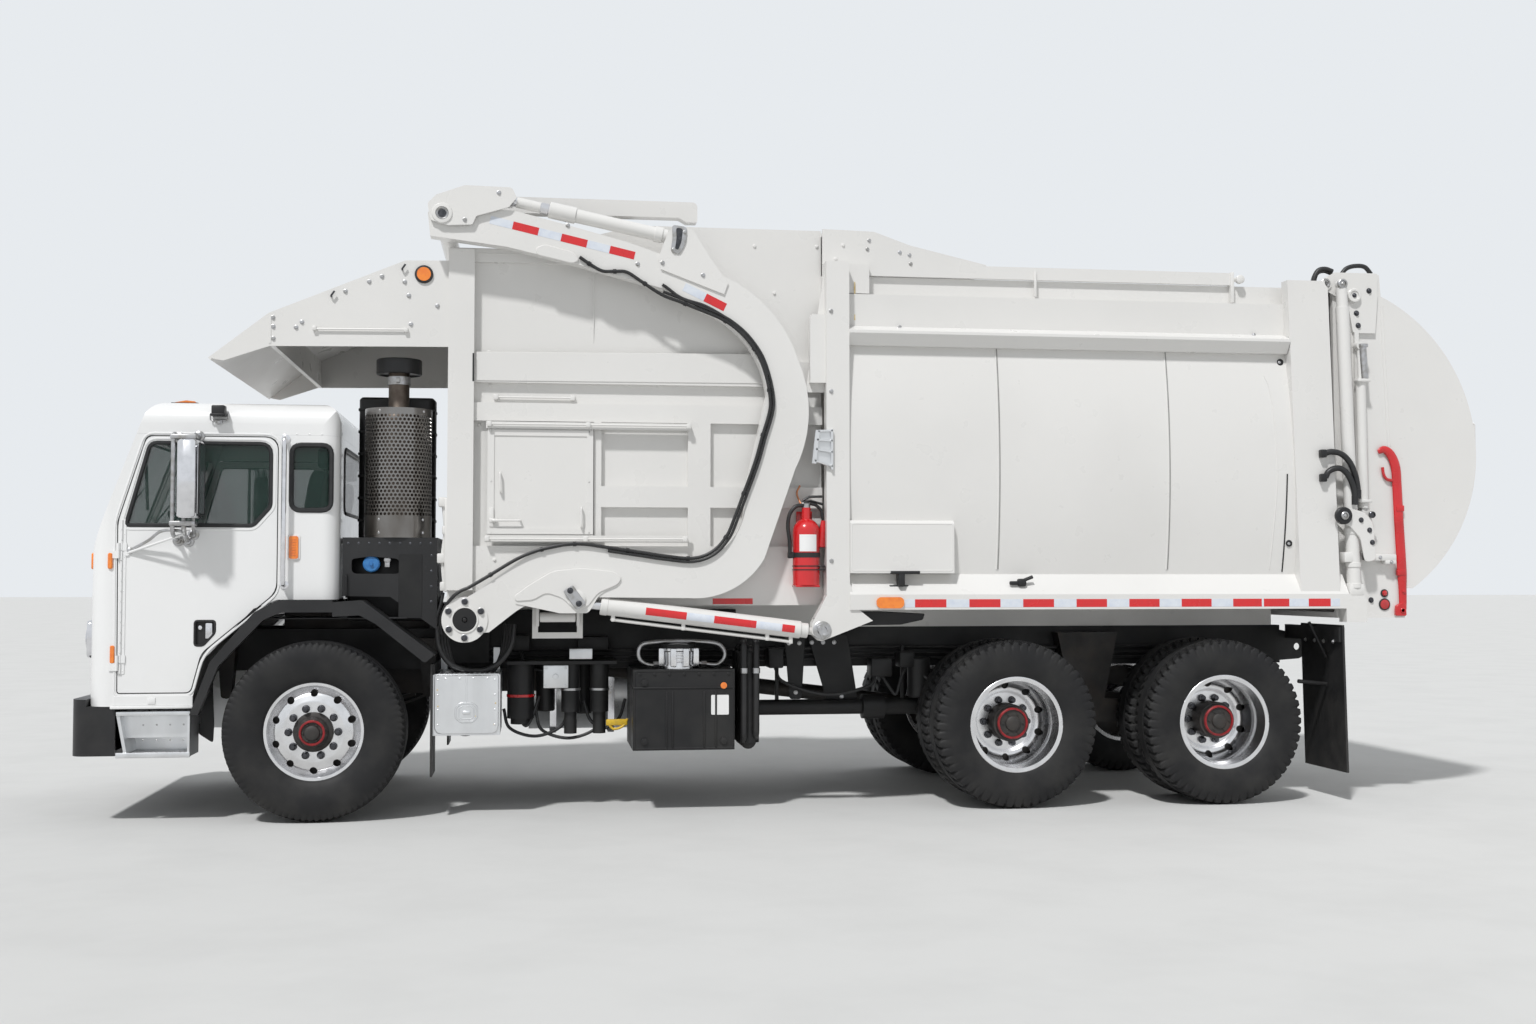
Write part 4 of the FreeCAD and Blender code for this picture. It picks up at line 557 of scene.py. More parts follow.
def tapeRun(start, end, width, blocks, level):
    # Blocks of a tape between two points (x, z), given by the x where each begins and ends.
    start, end = np.asarray(start, float), np.asarray(end, float)
    along = (end - start) / np.linalg.norm(end - start)
    up = np.array([-along[1], along[0]]) * width / 2
    parts = []
    for low, high in blocks:
        a, b = (start + along * (x - start[0]) / along[0] for x in (low, high))
        parts.append(decal([a - up, b - up, b + up, a + up], level))
    return joined(parts)


def bothSides(name, part, look, body="chassis", sharp=35):
    # A left-hand piece and its mirror image: on one body, or on a left and a right one where body holds %s.
    part = joined(part) if isinstance(part, list) else part
    if "%s" not in body:
        return [addPiece(name, joined([part, mirrorImage(part)]), look, body, sharp)]
    halves = (("left", part), ("right", mirrorImage(part)))
    return [addPiece(f"{name}_{side}", half, look, body % side, sharp) for side, half in halves]


def band(x, y, low, high, inner, outer, sides=36):
    # A flat ring of oblong section round an upright line at (x, y).
    turn = fullTurn(sides)
    rings = [np.stack([x + r * np.cos(turn), y + r * np.sin(turn), np.full(sides, z)], -1)
        for z, r in ((low, inner), (low, outer), (high, outer), (high, inner))]
    return gridPart(np.stack(rings), closeRows=True, closeColumns=True)


def sideRing(x, z, profile, sides):
    # A closed profile (radius, y) carried round a crosswise line at (x, z).
    turn = fullTurn(sides)
    rings = [np.stack([x + r * np.cos(turn), np.full(sides, y), z + r * np.sin(turn)], -1)
        for r, y in profile]
    return gridPart(np.stack(rings), closeRows=True, closeColumns=True)


def sidePlate(corners, radius, low, high, edge=0.0015):
    # A plate with rounded corners that faces sideways.
    return plate(rounded(corners, radius), "side", low, high, edge)


def oblong(x0, z0, x1, z1):
    # The four corners of an upright rectangle.
    return [(x0, z0), (x1, z0), (x1, z1), (x0, z1)]


def onPlane(outline, plane, level):
    # A flat outline as points in space.
    outline = np.asarray(outline, float)
    points = np.zeros((len(outline), 3))
    first, second, depth = planes[plane]
    points[:, first], points[:, second], points[:, depth] = outline[:, 0], outline[:, 1], level
    return points


def bead(path, normal, width, depth, sides=6):
    # A soft ridge along a closed path on a surface: an oval ring, its width square to the run.
    path = np.asarray(path, float)
    tangent = np.roll(path, -1, 0) - np.roll(path, 1, 0)
    across = np.cross(tangent, normal)
    across /= lengthOf(across) + 1e-12
    up = np.asarray(normal, float) / np.linalg.norm(normal)
    turn = fullTurn(sides)
    ring = 0.5 * width * across[:, None] * np.cos(turn)[:, None] + 0.5 * depth * up * np.sin(turn)[:, None]
    return gridPart(path[:, None] + ring, closeRows=True, closeColumns=True)

def sideBead(outline, level, width, depth):
    return bead(onPlane(outline, "side", level), (0, 1, 0), width, depth)


# Tyres: a ring of many rows, its tread lowered along grooves and in slanting notches at the shoulders

tyres = {
    "front": dict(radius=0.535, width=0.314, middles=(-1.057,), pitches=84, rowsPerPitch=4, shoulder=0.1,
        notch=0.3, depth=0.011, slant=2.2, grooves=(-0.088, -0.031, 0.031, 0.088)),
    "drive": dict(radius=0.525, width=0.28, middles=(-1.08, -0.745), pitches=56, rowsPerPitch=6,
        shoulder=0.052, notch=0.26, depth=0.017, slant=6.0, grooves=(-0.05, 0.05)),
}
beadRadius = 0.289
# shares of the half width, and of the way from the bead to the tread
sideWall = np.array([(0.74, 0), (0.8, 0.03), (0.84, 0.07), (0.9, 0.16), (0.97, 0.33), (1, 0.5),
    (0.99, 0.66), (0.955, 0.78), (0.915, 0.87), (0.885, 0.925), (0.86, 0.955)])


def tyrePart(settings, x, middle):
    # Rows run round the axle and columns across from bead to bead. The tread falls away towards its edges
    # with the fourth and the second power of the share of its half width, and two narrow bells raise the
    # moulded lines of each wall.
    radius, half = settings["radius"], settings["width"] / 2
    side = sideWall * (half, radius - beadRadius) + (0, beadRadius)
    treadHalf = side[-1, 0]
    edges = [g + step for g in settings["grooves"] for step in (-0.0062, -0.0045, 0.0045, 0.0062)]
    across = np.unique(np.concatenate([np.linspace(-treadHalf, treadHalf, 15), edges]))[1:-1]
    crown = radius - 0.011 * (across / treadHalf) ** 4 - 0.0035 * (across / treadHalf) ** 2
    left, right = side * (-1, 1), side[::-1]
    y = np.concatenate([left[:, 0], across, right[:, 0]])
    r = np.concatenate([left[:, 1], crown, right[:, 1]])
    rows = settings["pitches"] * settings["rowsPerPitch"]
    turn = fullTurn(rows)[:, None]
    onTread = r > radius * 0.9
    groove = onTread & (np.abs(y[:, None] - settings["grooves"]).min(1) < 0.005)
    phase = (turn * settings["pitches"] / (2 * math.pi) + settings["slant"] * np.abs(y)) % 1.0
    notch = (phase < settings["notch"]) & onTread & (np.abs(y) > settings["shoulder"])
    radii = r - settings["depth"] * (groove | notch)
    lines = 0.0014 * np.exp(-((r - 0.335) / 0.004) ** 2) + 0.0016 * np.exp(-((r - 0.47) / 0.003) ** 2)
    outward = y + np.sign(y) * np.where(onTread, 0, lines)
    points = np.stack([x + radii * np.sin(turn), middle + np.repeat(outward[None], rows, 0),
        radius + radii * np.cos(turn)], -1)
    return gridPart(points, closeRows=True, closeColumns=True)


# Hubs: distance outwards from the wheel's disc, and radius

hubs = {
    "front": dict(face=-1.185, drum=0.085, ring=(0.062, 0.075, 0.078), cap=0.042, capBolts=0.052,
        profile=[(0, 0.117), (0.01, 0.117), (0.014, 0.11), (0.018, 0.092), (0.05, 0.084), (0.06, 0.08),
        (0.067, 0.076), (0.067, 0)]),
    "drive": dict(face=-0.9295, drum=0.02, ring=(0.085, 0.098, 0.182), cap=0.045, capBolts=0.066,
        profile=[(0, 0.119), (0.132, 0.119), (0.142, 0.116), (0.146, 0.106), (0.16, 0.102), (0.171, 0.098),
        (0.171, 0)]),
}
nutCircle = 0.143


def addHub(kind, name, x, z, body):
    settings = hubs[kind]
    face = settings["face"]
    inner, outer, reach = settings["ring"]
    hub = lathe(settings["profile"], (x, face, z), outwards, 40)
    ring = lathe([(reach - 0.022, outer + 0.002), (reach - 0.004, outer), (reach, outer - 0.004),
        (reach, inner + 0.002), (reach - 0.005, inner), (reach - 0.022, inner - 0.002)], (x, face, z),
        outwards, 44)
    cap = lathe([(reach - 0.016, settings["cap"] + 0.006), (reach + 0.001, settings["cap"]),
        (reach + 0.006, settings["cap"] - 0.008), (reach + 0.008, 0.012), (reach + 0.008, 0)], (x, face, z),
        outwards, 32)

    def circle(count, radius, y):
        turn = fullTurn(count)
        return np.stack([x + radius * np.cos(turn), np.full(count, y), z + radius * np.sin(turn)], -1)
    nut = lathe([(-0.002, 0.0245), (0.006, 0.0235), (0.008, 0.019), (0.034, 0.019), (0.04, 0.014),
        (0.042, 0)], (0, 0, 0), outwards, 12)
    heads = circle(6, settings["capBolts"], face - reach + 0.01)
    bothSides("hub_" + name, [hub, cap, bolts(heads, 0.012, 0.008)], "castIron", body)
    bothSides("seal_ring_" + name, ring, "sealRed", body)
    behind = settings["drum"]
    drum = lathe([(-behind, 0.2), (-behind, 0.255), (-behind - 0.01, 0.262), (-behind - 0.06, 0.262),
        (-behind - 0.06, 0.2)], (x, face, z), outwards, 48)
    bothSides("drum_" + name, drum, "castIron", body)
    bothSides("nuts_" + name, repeated(nut, circle(10, nutCircle, face)), "darkNut", body)


wheels = [
    ("front", "front", 0.0, "wheel_front_%s", "front_tyre_%s"),
    ("drive", "drive_1", 4.288, "wheels_drive_1_%s", "drive_tyres_1_%s"),
    ("drive", "drive_2", 5.66, "wheels_drive_2_%s", "drive_tyres_2_%s"),
]
for kind, name, x, body, node in wheels:
    settings = tyres[kind]
    part = joined([tyrePart(settings, x, middle) for middle in settings["middles"]])
    pair = bothSides("tread_" + name, part, "tyreRubber", body, sharp=30)
    for side, piece in zip(("left", "right"), pair):
        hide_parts(node % side)
    addHub(kind, name, x, settings["radius"], body)
print("wheels made")


# Cab: gaskets, seals, rails, mirrors, lamps and what shows through the glass

cab = dict(side=-1.1, nose=-1.31, rear=0.12, screenBase=1.612, screenLean=0.323 / 0.883, gasketWidth=0.024,
    gasketDepth=0.014, railRadius=0.014, railX=-0.19, railLow=1.402, railHigh=2.276)
doorOutline = [(-1.132, 0.77), (-0.722, 0.77), (-0.664, 1.0), (-0.236, 1.362), (-0.236, 2.284),
    (-0.985, 2.284), (-1.142, 1.775)]
doorRadii = [0.012, 0.03, 0.08, 0.06, 0.075, 0.04, 0.05]
windowOutline = [(-1.092, 1.762), (-0.962, 2.24), (-0.28, 2.24), (-0.28, 1.873), (-0.376, 1.762)]
windowRadii = [0.014, 0.035, 0.06, 0.02, 0.02]
sideWindow = oblong(-0.15, 1.855, 0.07, 2.235)
rearWindow = oblong(-0.8, 1.85, 0.8, 2.24)
screenHalf = oblong(0.028, 1.69, 0.985, 2.268)


def onScreen(outline):
    # Points (y, z) on the leaning windscreen.
    outline = np.asarray(outline, float)
    x = cab["nose"] + 0.012 + (outline[:, 1] - cab["screenBase"]) * cab["screenLean"]
    return np.column_stack([x, outline])


def addGaskets():
    width, depth = cab["gasketWidth"], cab["gasketDepth"]
    window = shrunk(rounded(windowOutline, windowRadii), -0.006)
    bothSides("door_gasket", sideBead(window, cab["side"], width, depth), "gasketAndSlitShade", "door_%s")
    # the pale moulding between the window and the door's edge
    rim = shrunk(rounded(windowOutline, windowRadii), -0.03)
    bothSides("window_swage", sideBead(rim, cab["side"], 0.016, 0.008), "cabPaint", "door_%s")
    seal = shrunk(rounded(doorOutline, doorRadii), -0.003)
    bothSides("door_seal", sideBead(seal, cab["side"] + 0.002, 0.008, 0.008), "gasketAndSlitShade")
    frame = shrunk(rounded(doorOutline, doorRadii), -0.018)
    bothSides("door_frame", sideBead(frame, cab["side"], 0.013, 0.009), "cabPaint")
    quarter = shrunk(rounded(sideWindow, 0.05), -0.006)
    bothSides("quarter_gasket", sideBead(quarter, cab["side"], 0.03, 0.02), "gasketAndSlitShade")
    rear = shrunk(rounded(rearWindow, 0.07), -0.006)
    screen = onScreen(shrunk(rounded(screenHalf, 0.06), -0.006))
    outward = np.cross((0, 1, 0), (cab["screenLean"], 0, 1))
    addPiece("rear_gasket", bead(onPlane(rear, "front", cab["rear"]), (1, 0, 0), width, depth), "gasketAndSlitShade")
    bothSides("screen_gaskets", bead(screen * (1, -1, 1), outward, 0.03, 0.016), "gasketAndSlitShade")


def addRailsAndHinges():
    # Standing grab rails behind the doors, on feet, and the long hinge of each door.
    side, x = cab["side"], cab["railX"]
    low, high = cab["railLow"], cab["railHigh"]
    path = bentPath([(x, side + 0.004, high), (x, side - 0.06, high), (x, side - 0.06, low),
        (x, side + 0.004, low)], 0.04)
    feet = [lathe([(0, 0.026), (0.006, 0.026), (0.01, 0.018), (0.01, 0)], (x, side, z), outwards, 20)
        for z in (low, high)]
    bothSides("grab_rail", [tube(path, cab["railRadius"], 12), *feet], "polishedSteel")
    hinge = sidePlate(oblong(-1.118, 0.88, -1.094, 1.79), 0.004, side, side - 0.004)
    knuckles = [lathe([(0, 0.007), (0.055, 0.007)], (-1.119, side - 0.006, z), upwards, 10)
        for z in between(0.884, 1.73, 15)]
    pins = rivets([(-1.104, side - 0.004, z) for z in between(0.9, 1.77, 14)], 0.004, 0.002)
    bothSides("door_hinge_strip", [hinge, *knuckles, pins], "cabPaint", "door_%s")


mirror = dict(shell=[(-0.768, -1.34), (-0.735, -1.366), (-0.655, -1.366), (-0.638, -1.176),
    (-0.735, -1.176), (-0.768, -1.195)], low=1.792, high=2.248, pole=-0.742, poleY=-1.245,
    front=-0.8, arm=-0.69)


def addMirrors():
    # Bright shell round the head, its glass on the rear side, the poles, clamps and stay.
    shell = plate(rounded(mirror["shell"], 0.032, 6), "top", mirror["low"], mirror["high"], 0.012)
    bothSides("mirror_shell", shell, "polishedSteel", "door_%s", sharp=50)
    face = oblong(-1.348, 1.815, -1.192, 2.225)
    glass = plate(rounded(face, 0.02), "front", -0.65, -0.636, 0.002)
    bothSides("mirror_glass", glass, "polishedSteel", "door_%s")
    rim = bead(onPlane(rounded(face, 0.02), "front", -0.64), (1, 0, 0), 0.012, 0.012)
    bothSides("mirror_rim", rim, "gasketAndSlitShade", "door_%s")
    side, root, out = cab["side"], cab["side"] + 0.004, mirror["poleY"]
    pole, fore, arm = mirror["pole"], mirror["front"], mirror["arm"]
    outer = bentBar([(pole, root, 2.262), (pole, out, 2.281), (pole, out, 1.699), (pole, root, 1.66)],
        0.06, 0.0138, 12)
    front = bentBar([(fore, root, 2.275), (fore, out - 0.03, 2.292), (fore, out - 0.03, 1.7),
        (fore, root, 1.665)], 0.05, 0.0125, 12)
    inner = bentBar([(arm, root, 2.285), (arm, out + 0.01, 2.29), (arm, out + 0.01, 2.15)], 0.03, 0.009, 10)
    lower = bentBar([(arm, out + 0.01, 1.85), (arm, out + 0.01, 1.735), (-0.715, root, 1.7)],
        0.03, 0.01, 10)
    stay = tube(smoothPath([(-0.748, out + 0.012, 1.716), (-0.82, out + 0.02, 1.724), (-0.89, -1.19, 1.712),
        (-0.96, -1.15, 1.664), (-1.075, side + 0.002, 1.606)], 30), 0.009, 10)
    feet = [lathe([(0, 0.034), (0.008, 0.032), (0.016, 0.02), (0.03, 0.017), (0.03, 0)], (x, side, z),
        outwards, 24) for x, z in ((pole, 2.262), (pole, 1.66), (-0.715, 1.7), (arm, 2.285), (fore, 2.275),
        (fore, 1.665))]
    clamps = [roundBox((fore - 0.016, out - 0.048, z - 0.014), (arm + 0.02, out + 0.03, z + 0.014), 0.006)
        for z in (1.762, 2.268)]
    small = lathe([(0, 0.022), (0.006, 0.02), (0.01, 0.01), (0.01, 0)], (-1.075, side, 1.604), outwards, 18)
    bothSides("mirror_poles", [outer, front, inner, lower, stay, *feet, *clamps, small],
        "zincPlate", "door_%s")


recess = rounded([(-0.7, 1.045), (-0.652, 1.045), (-0.585, 1.12), (-0.585, 1.19), (-0.7, 1.19)], 0.016)


def addHandles():
    # Black cup in the door's recess with a bright paddle and a key barrel.
    side = cab["side"]
    cup = plate(shrunk(recess, 0.001), "side", side + 0.0255, side + 0.018, 0.002)
    rim = sideBead(recess, side, 0.014, 0.01)
    bothSides("handle_cup", [cup, rim], "mouldedBlackAndShade", "door_%s")
    paddle = roundBox((-0.64, side + 0.018, 1.085), (-0.6, side - 0.002, 1.178), 0.006)
    key = lathe([(0, 0.012), (0.008, 0.012), (0.01, 0.008), (0.01, 0)], (-0.672, side + 0.018, 1.15),
        outwards, 16)
    slotLine = roundBox((-0.632, side - 0.001, 1.112), (-0.608, side - 0.005, 1.15), 0.003)
    bothSides("handle_paddle", [paddle, key, slotLine], "polishedSteel", "door_%s")


def addCabLamps():
    # Bases of the amber lamps, small front markers, and a work lamp on the roof's edge.
    side = cab["side"]
    base = sidePlate(oblong(-0.176, 1.549, -0.098, 1.704), 0.018, side, side - 0.006, 0.003)
    bothSides("lamp_bases", base, "cabPaint")
    ridges = [roundBox((-0.15, side - 0.013, z), (-0.124, side - 0.018, z + 0.005), 0.002)
        for z in between(1.578, 1.672, 7)]
    marker = sidePlate(oblong(-1.196, 1.497, -1.168, 1.592), 0.013, side, side - 0.014, 0.006)
    corner = roundBox((cab["nose"] - 0.002, -0.985, 1.495), (cab["nose"] + 0.02, -1.022, 1.594), 0.01, 3)
    low = sidePlate(oblong(-1.176, 0.942, -1.15, 1.048), 0.012, side, side - 0.012, 0.005)
    bothSides("amber_markers", [*ridges, marker, corner, low], "amberLens")
    lampBox = roundBox((-0.612, -1.09, 2.412), (-0.535, -1.165, 2.468), 0.008)
    cap = roundBox((-0.618, -1.086, 2.404), (-0.529, -1.17, 2.418), 0.004)
    bothSides("work_lamp", [lampBox, cap], "mouldedBlackAndShade")
    yoke = bentBar([(-0.624, -1.12, 2.42), (-0.624, -1.12, 2.38), (-0.523, -1.12, 2.38),
        (-0.523, -1.12, 2.42)], 0.012, 0.005, 8)
    foot = roundBox((-0.59, -1.06, 2.362), (-0.557, -1.125, 2.384), 0.004)
    bolt = bolts([(-0.573, -1.122, 2.368)], 0.022, 0.014)
    bothSides("work_lamp_yoke", [yoke, foot, bolt], "zincPlate")
    roof = 2.495
    pods = [roundBox((-0.885, y - 0.058, roof - 0.003), (-0.726, y + 0.058, roof + 0.006), 0.003)
        for y in (-0.9, -0.22, 0, 0.22, 0.9)]
    addPiece("roof_lamp_bases", pods, "gasketAndSlitShade")


def addWipersAndFront():
    # Two wipers that lie on the screen, bezels round the headlamps, and handles and bolts on the nose.
    blades, arms = [], []
    for base, tip in ((-0.86, -0.3), (0.1, 0.66)):
        root = onScreen([(base, 1.65)])[0] + (-0.02, 0, 0)
        mid = onScreen([((base + tip) / 2 + 0.06, 1.86)])[0] + (-0.034, 0, 0)
        high = onScreen([(tip, 2.02)])[0] + (-0.026, 0, 0)
        arms.append(tube([root, mid, high], [0.008, 0.006, 0.004], 8))
        arms.append(lathe([(0, 0.02), (0.022, 0.018), (0.03, 0.01), (0.03, 0)], root + (0.02, 0, -0.004),
            (-1, 0, 0), 16))
        start, end = (onScreen([(tip + shift, 2.02 + rise)])[0]
            for shift, rise in ((-0.24, 0.13), (0.24, -0.13)))
        blades.append(tube(between(start + (-0.016, 0, 0), end + (-0.016, 0, 0), 9), 0.006, 6, flat=1.8))
    addPiece("wiper_arms", arms, "mouldedBlackAndShade")
    addPiece("wiper_blades", blades, "flapRubber")
    bezel = oblong(-0.975, 0.978, -0.715, 1.185)
    ring = bead(onPlane(rounded(bezel, 0.03), "front", cab["nose"] - 0.012), (1, 0, 0), 0.02, 0.04)
    bulbs = [lathe([(0.03, 0.07), (0.036, 0.074), (0.042, 0.07), (0.044, 0.06), (0.034, 0.04), (0.03, 0)],
        (cab["nose"] + 0.004, y, 1.082), (-1, 0, 0), 28) for y in (-0.905, -0.785)]
    bothSides("headlamp_bezel", [ring, *bulbs], "polishedSteel")
    grip = bentBar([(-1.304, -0.52, 1.565), (-1.35, -0.52, 1.565), (-1.35, -0.2, 1.565),
        (-1.304, -0.2, 1.565)], 0.03, 0.01, 10)
    bothSides("nose_handle", grip, "polishedSteel")
    heads = [(-1.306, y, 1.535) for y in between(-0.6, 0.6, 7)]
    addPiece("nose_bolts", bolts(heads, 0.018, 0.008, (-1, 0, 0)), "zincPlate")
    screws = rivets([(x, cab["side"], 2.306) for x in between(-0.94, 0.02, 14)], 0.006, 0.003)
    bothSides("roof_screws", screws, "cabPaint")


def cushionPart(low, high, crown, rows=22, columns=22):
    # A crowned pad: rounded square in plan, its sides pulled in between the corners, top raised by crown.
    low, high = np.asarray(low, float), np.asarray(high, float)
    centre, half = (low + high) / 2, (high - low) / 2
    u = np.linspace(-math.pi / 2, math.pi / 2, rows)[:, None]
    v = fullTurn(columns * 2)[None]

    def power(value, share):
        return np.sign(value) * np.abs(value) ** share
    x = power(np.cos(u), 0.35) * power(np.cos(v), 0.32)
    y = power(np.cos(u), 0.35) * power(np.sin(v), 0.32)
    z = power(np.sin(u), 0.55) * np.ones_like(v)
    bulge = (1 - x ** 2) * (1 - y ** 2)
    pinch = 1 - (1 - np.abs(z)) * 0.06
    points = np.stack([x * half[0] * pinch, y * half[1] * pinch, z * half[2] + crown * bulge * (z > 0)], -1)
    return gridPart(points + centre, closeColumns=True, caps=True)


def turnedBy(part, degrees, centre):
    # Turned about the truck's crosswise direction.
    points, faces = part
    angle = rad(degrees)
    local = points - centre
    x = local[:, 0] * math.cos(angle) + local[:, 2] * math.sin(angle)
    z = -local[:, 0] * math.sin(angle) + local[:, 2] * math.cos(angle)
    return np.column_stack([x, local[:, 1], z]) + centre, faces


def addInterior():
    # Two seats with padded cushions, the dashboard, and the steering wheel.
    parts = []
    for y in (-0.64, 0.64):
        parts.append(roundBox((-0.46, y - 0.2, 1.362), (-0.09, y + 0.2, 1.5), 0.02))
        parts.append(roundBox((-0.075, y - 0.19, 1.5), (-0.045, y + 0.19, 2.05), 0.01))
    form = rounded([(-1.252, 1.25), (-1.0, 1.25), (-0.955, 1.56), (-1.08, 1.635), (-1.222, 1.638),
        (-1.252, 1.59)], [0.01, 0.03, 0.05, 0.04, 0.02, 0.01])
    parts.append(plate(form, "side", -0.955, 0.955, 0.008))
    parts.append(roundBox((-1.13, -0.86, 1.6), (-0.975, -0.42, 1.7), 0.03, 3))
    parts.append(tube([(-1.01, -0.64, 1.5), (-0.805, -0.64, 1.695)], 0.03, 14))
    centre, axis = np.array([-0.795, -0.64, 1.705]), np.array([0.69, 0, 0.72])
    across, upward = axisFrame(axis)[:2]

    def onWheel(turn, radius):
        return centre + radius * (np.cos(turn)[..., None] * across + np.sin(turn)[..., None] * upward)
    parts.append(bead(onWheel(fullTurn(48), 0.205), axis, 0.03, 0.03, 10))
    parts += [tube([centre, end], 0.011, 8) for end in onWheel(np.radians([20, 160, 270]), 0.2)]
    parts.append(lathe([(-0.03, 0.05), (0.012, 0.062), (0.02, 0.05), (0.024, 0)], centre, -axis, 24))
    base = addPiece("cab_fittings", parts, "cabTrim")
    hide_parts("cab_interior")
    for side, y in (("left", -0.64), ("right", 0.64)):
        seat = cushionPart((-0.525, y - 0.235, 1.5), (-0.065, y + 0.235, 1.625), 0.018)
        back = turnedBy(cushionPart((-0.165, y - 0.23, 1.6), (-0.055, y + 0.23, 2.115), 0.0), 9,
            (-0.1, y, 1.62))
        head = cushionPart((-0.055, y - 0.125, 2.125), (0.035, y + 0.125, 2.255), 0.0, 16, 16)
        for name, part in (("seat_cushion", seat), ("seat_back", back), ("head_rest", head)):
            addPiece(f"{name}_{side}", part, "seatCloth", "chassis", sharp=60)


def addSteps():
    # Raised grip dots and lips on the treads, the sill, and rivets on the housing.
    side = cab["side"]
    rows = [(x, side + 0.03 + 0.028 * k, 0.6555) for k in range(7) for x in between(-1.105, -0.745, 14)]
    rows += [(x, side + 0.03 + 0.028 * k, 0.4155) for k in range(3) for x in between(-1.05, -0.745, 12)]
    dots = rivets(rows, 0.007, 0.003, upwards)
    lips = [roundBox((-1.138, side - 0.002, z0), (-0.718, side + 0.01, z1), 0.004)
        for z0, z1 in ((0.634, 0.66), (0.388, 0.42))]
    bothSides("step_grip", [dots, *lips], "sheetAluminium")
    sill = [roundBox((-1.17, side + 0.03, 0.676), (-0.7, side - 0.018, 0.694), 0.005),
        sidePlate(oblong(-1.15, 0.694, -0.705, 0.752), 0.004, side + 0.002, side - 0.006, 0.002),
        roundBox((-0.96, side - 0.003, 0.704), (-0.915, side - 0.011, 0.742), 0.002)]
    bothSides("cab_sill", sill, "cabPaint")
    wall = skinLevel("cab_steps", -0.9, 0.53)
    bothSides("step_rivets", rivets([(x, wall, z) for x in between(-1.0, -0.77, 4) for z in (0.485, 0.575)],
        0.006, 0.003), "zincPlate")


for make in (addGaskets, addRailsAndHinges, addMirrors, addHandles, addCabLamps, addWipersAndFront,
        addInterior, addSteps):
    make()
print("cab made")


# Exhaust: a perforated shield round the silencer

exhaust = dict(x=0.447, y=-0.825, shield=0.202, wall=0.004, low=1.69, holesLow=1.823, holesHigh=2.447,
    high=2.485, around=50, rows=27, hole=0.0094, silencer=0.15, pipe=0.0635)


def shieldPart(settings):
    # Cells set like bricks: each is eight faces between a square, with its corners and the middles of its
    # sides, and an eight-sided hole. The same ring of points stands on the outer and the inner radius.
    width = 2 * math.pi / settings["around"]
    height = (settings["holesHigh"] - settings["holesLow"]) / settings["rows"]
    square = np.array([(1, 0), (1, 1), (0, 1), (-1, 1), (-1, 0), (-1, -1), (0, -1),
        (1, -1)]) * (width / 2, height / 2)
    turn = np.arange(8) * math.pi / 4
    hole = np.stack([np.cos(turn) / settings["shield"], np.sin(turn)], 1) * settings["hole"]
    row, column = np.mgrid[0:settings["rows"], 0:settings["around"]]
    centre = np.stack([(column + 0.5 * (row % 2)) * width, settings["holesLow"] + (row + 0.5) * height],
        -1).reshape(-1, 1, 2)
    outline, inner = centre + square, centre + hole
    rings = []
    for radius in (settings["shield"], settings["shield"] - settings["wall"]):
        for flat in (outline, inner):
            rings.append(np.stack([settings["x"] + radius * np.cos(flat[..., 0]),
                settings["y"] + radius * np.sin(flat[..., 0]), flat[..., 1]], -1))
    points = np.stack(rings, 1)
    count = len(points)
    index = np.arange(count * 32).reshape(count, 4, 8)
    following = np.roll(index, -1, 2)
    faces = []
    for a, b in ((0, 1), (3, 2), (1, 3)):
        faces.append(np.stack([index[:, a], following[:, a], following[:, b], index[:, b]],
            -1).reshape(-1, 4))
    return points.reshape(-1, 3), np.concatenate(faces).tolist()


def addExhaust(settings):
    x, y = settings["x"], settings["y"]
    outer, wall = settings["shield"], settings["wall"]
    shield = addPiece("exhaust_shield", shieldPart(settings), "shieldSteel", sharp=40)
    overlap, proud = 0.002, 0.0012
    spans = ((settings["low"], settings["holesLow"] + overlap),
        (settings["holesHigh"] - overlap, settings["high"]))
    bands = [band(x, y, low, high, outer - wall, outer + proud, 72) for low, high in spans]
    addPiece("exhaust_bands", bands, "shieldSteel")
    silencer = lathe([(1.69, 0), (1.69, settings["silencer"]), (2.4, settings["silencer"]), (2.45, 0.135),
        (2.475, 0.072), (2.49, settings["pipe"]), (2.62, settings["pipe"]), (2.76, settings["pipe"]),
        (2.76, 0)], (x, y, 0), upwards, 40)
    addPiece("exhaust_pipe", silencer, "burntSteel")
    clamp = band(x, y, 2.64, 2.69, 0.06, 0.071)
    lug = roundBox((x - 0.012, y - 0.094, 2.65), (x + 0.012, y - 0.066, 2.68), 0.003)
    screws = bolts([(x + outer * math.sin(a), y - outer * math.cos(a), z) for a in (-0.5, 0.9)
        for z in (1.72, 1.8, 2.466)], 0.012, 0.006)
    addPiece("exhaust_clamps", [clamp, lug, screws], "zincPlate")
    cap = lathe([(2.712, 0), (2.712, 0.12), (2.704, 0.134), (2.709, 0.139), (2.792, 0.139), (2.798, 0.134),
        (2.796, 0.118), (2.79, 0)], (x, y, 0), upwards, 40)
    addPiece("exhaust_cap", cap, "mouldedBlackAndShade")
    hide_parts("exhaust_stack")


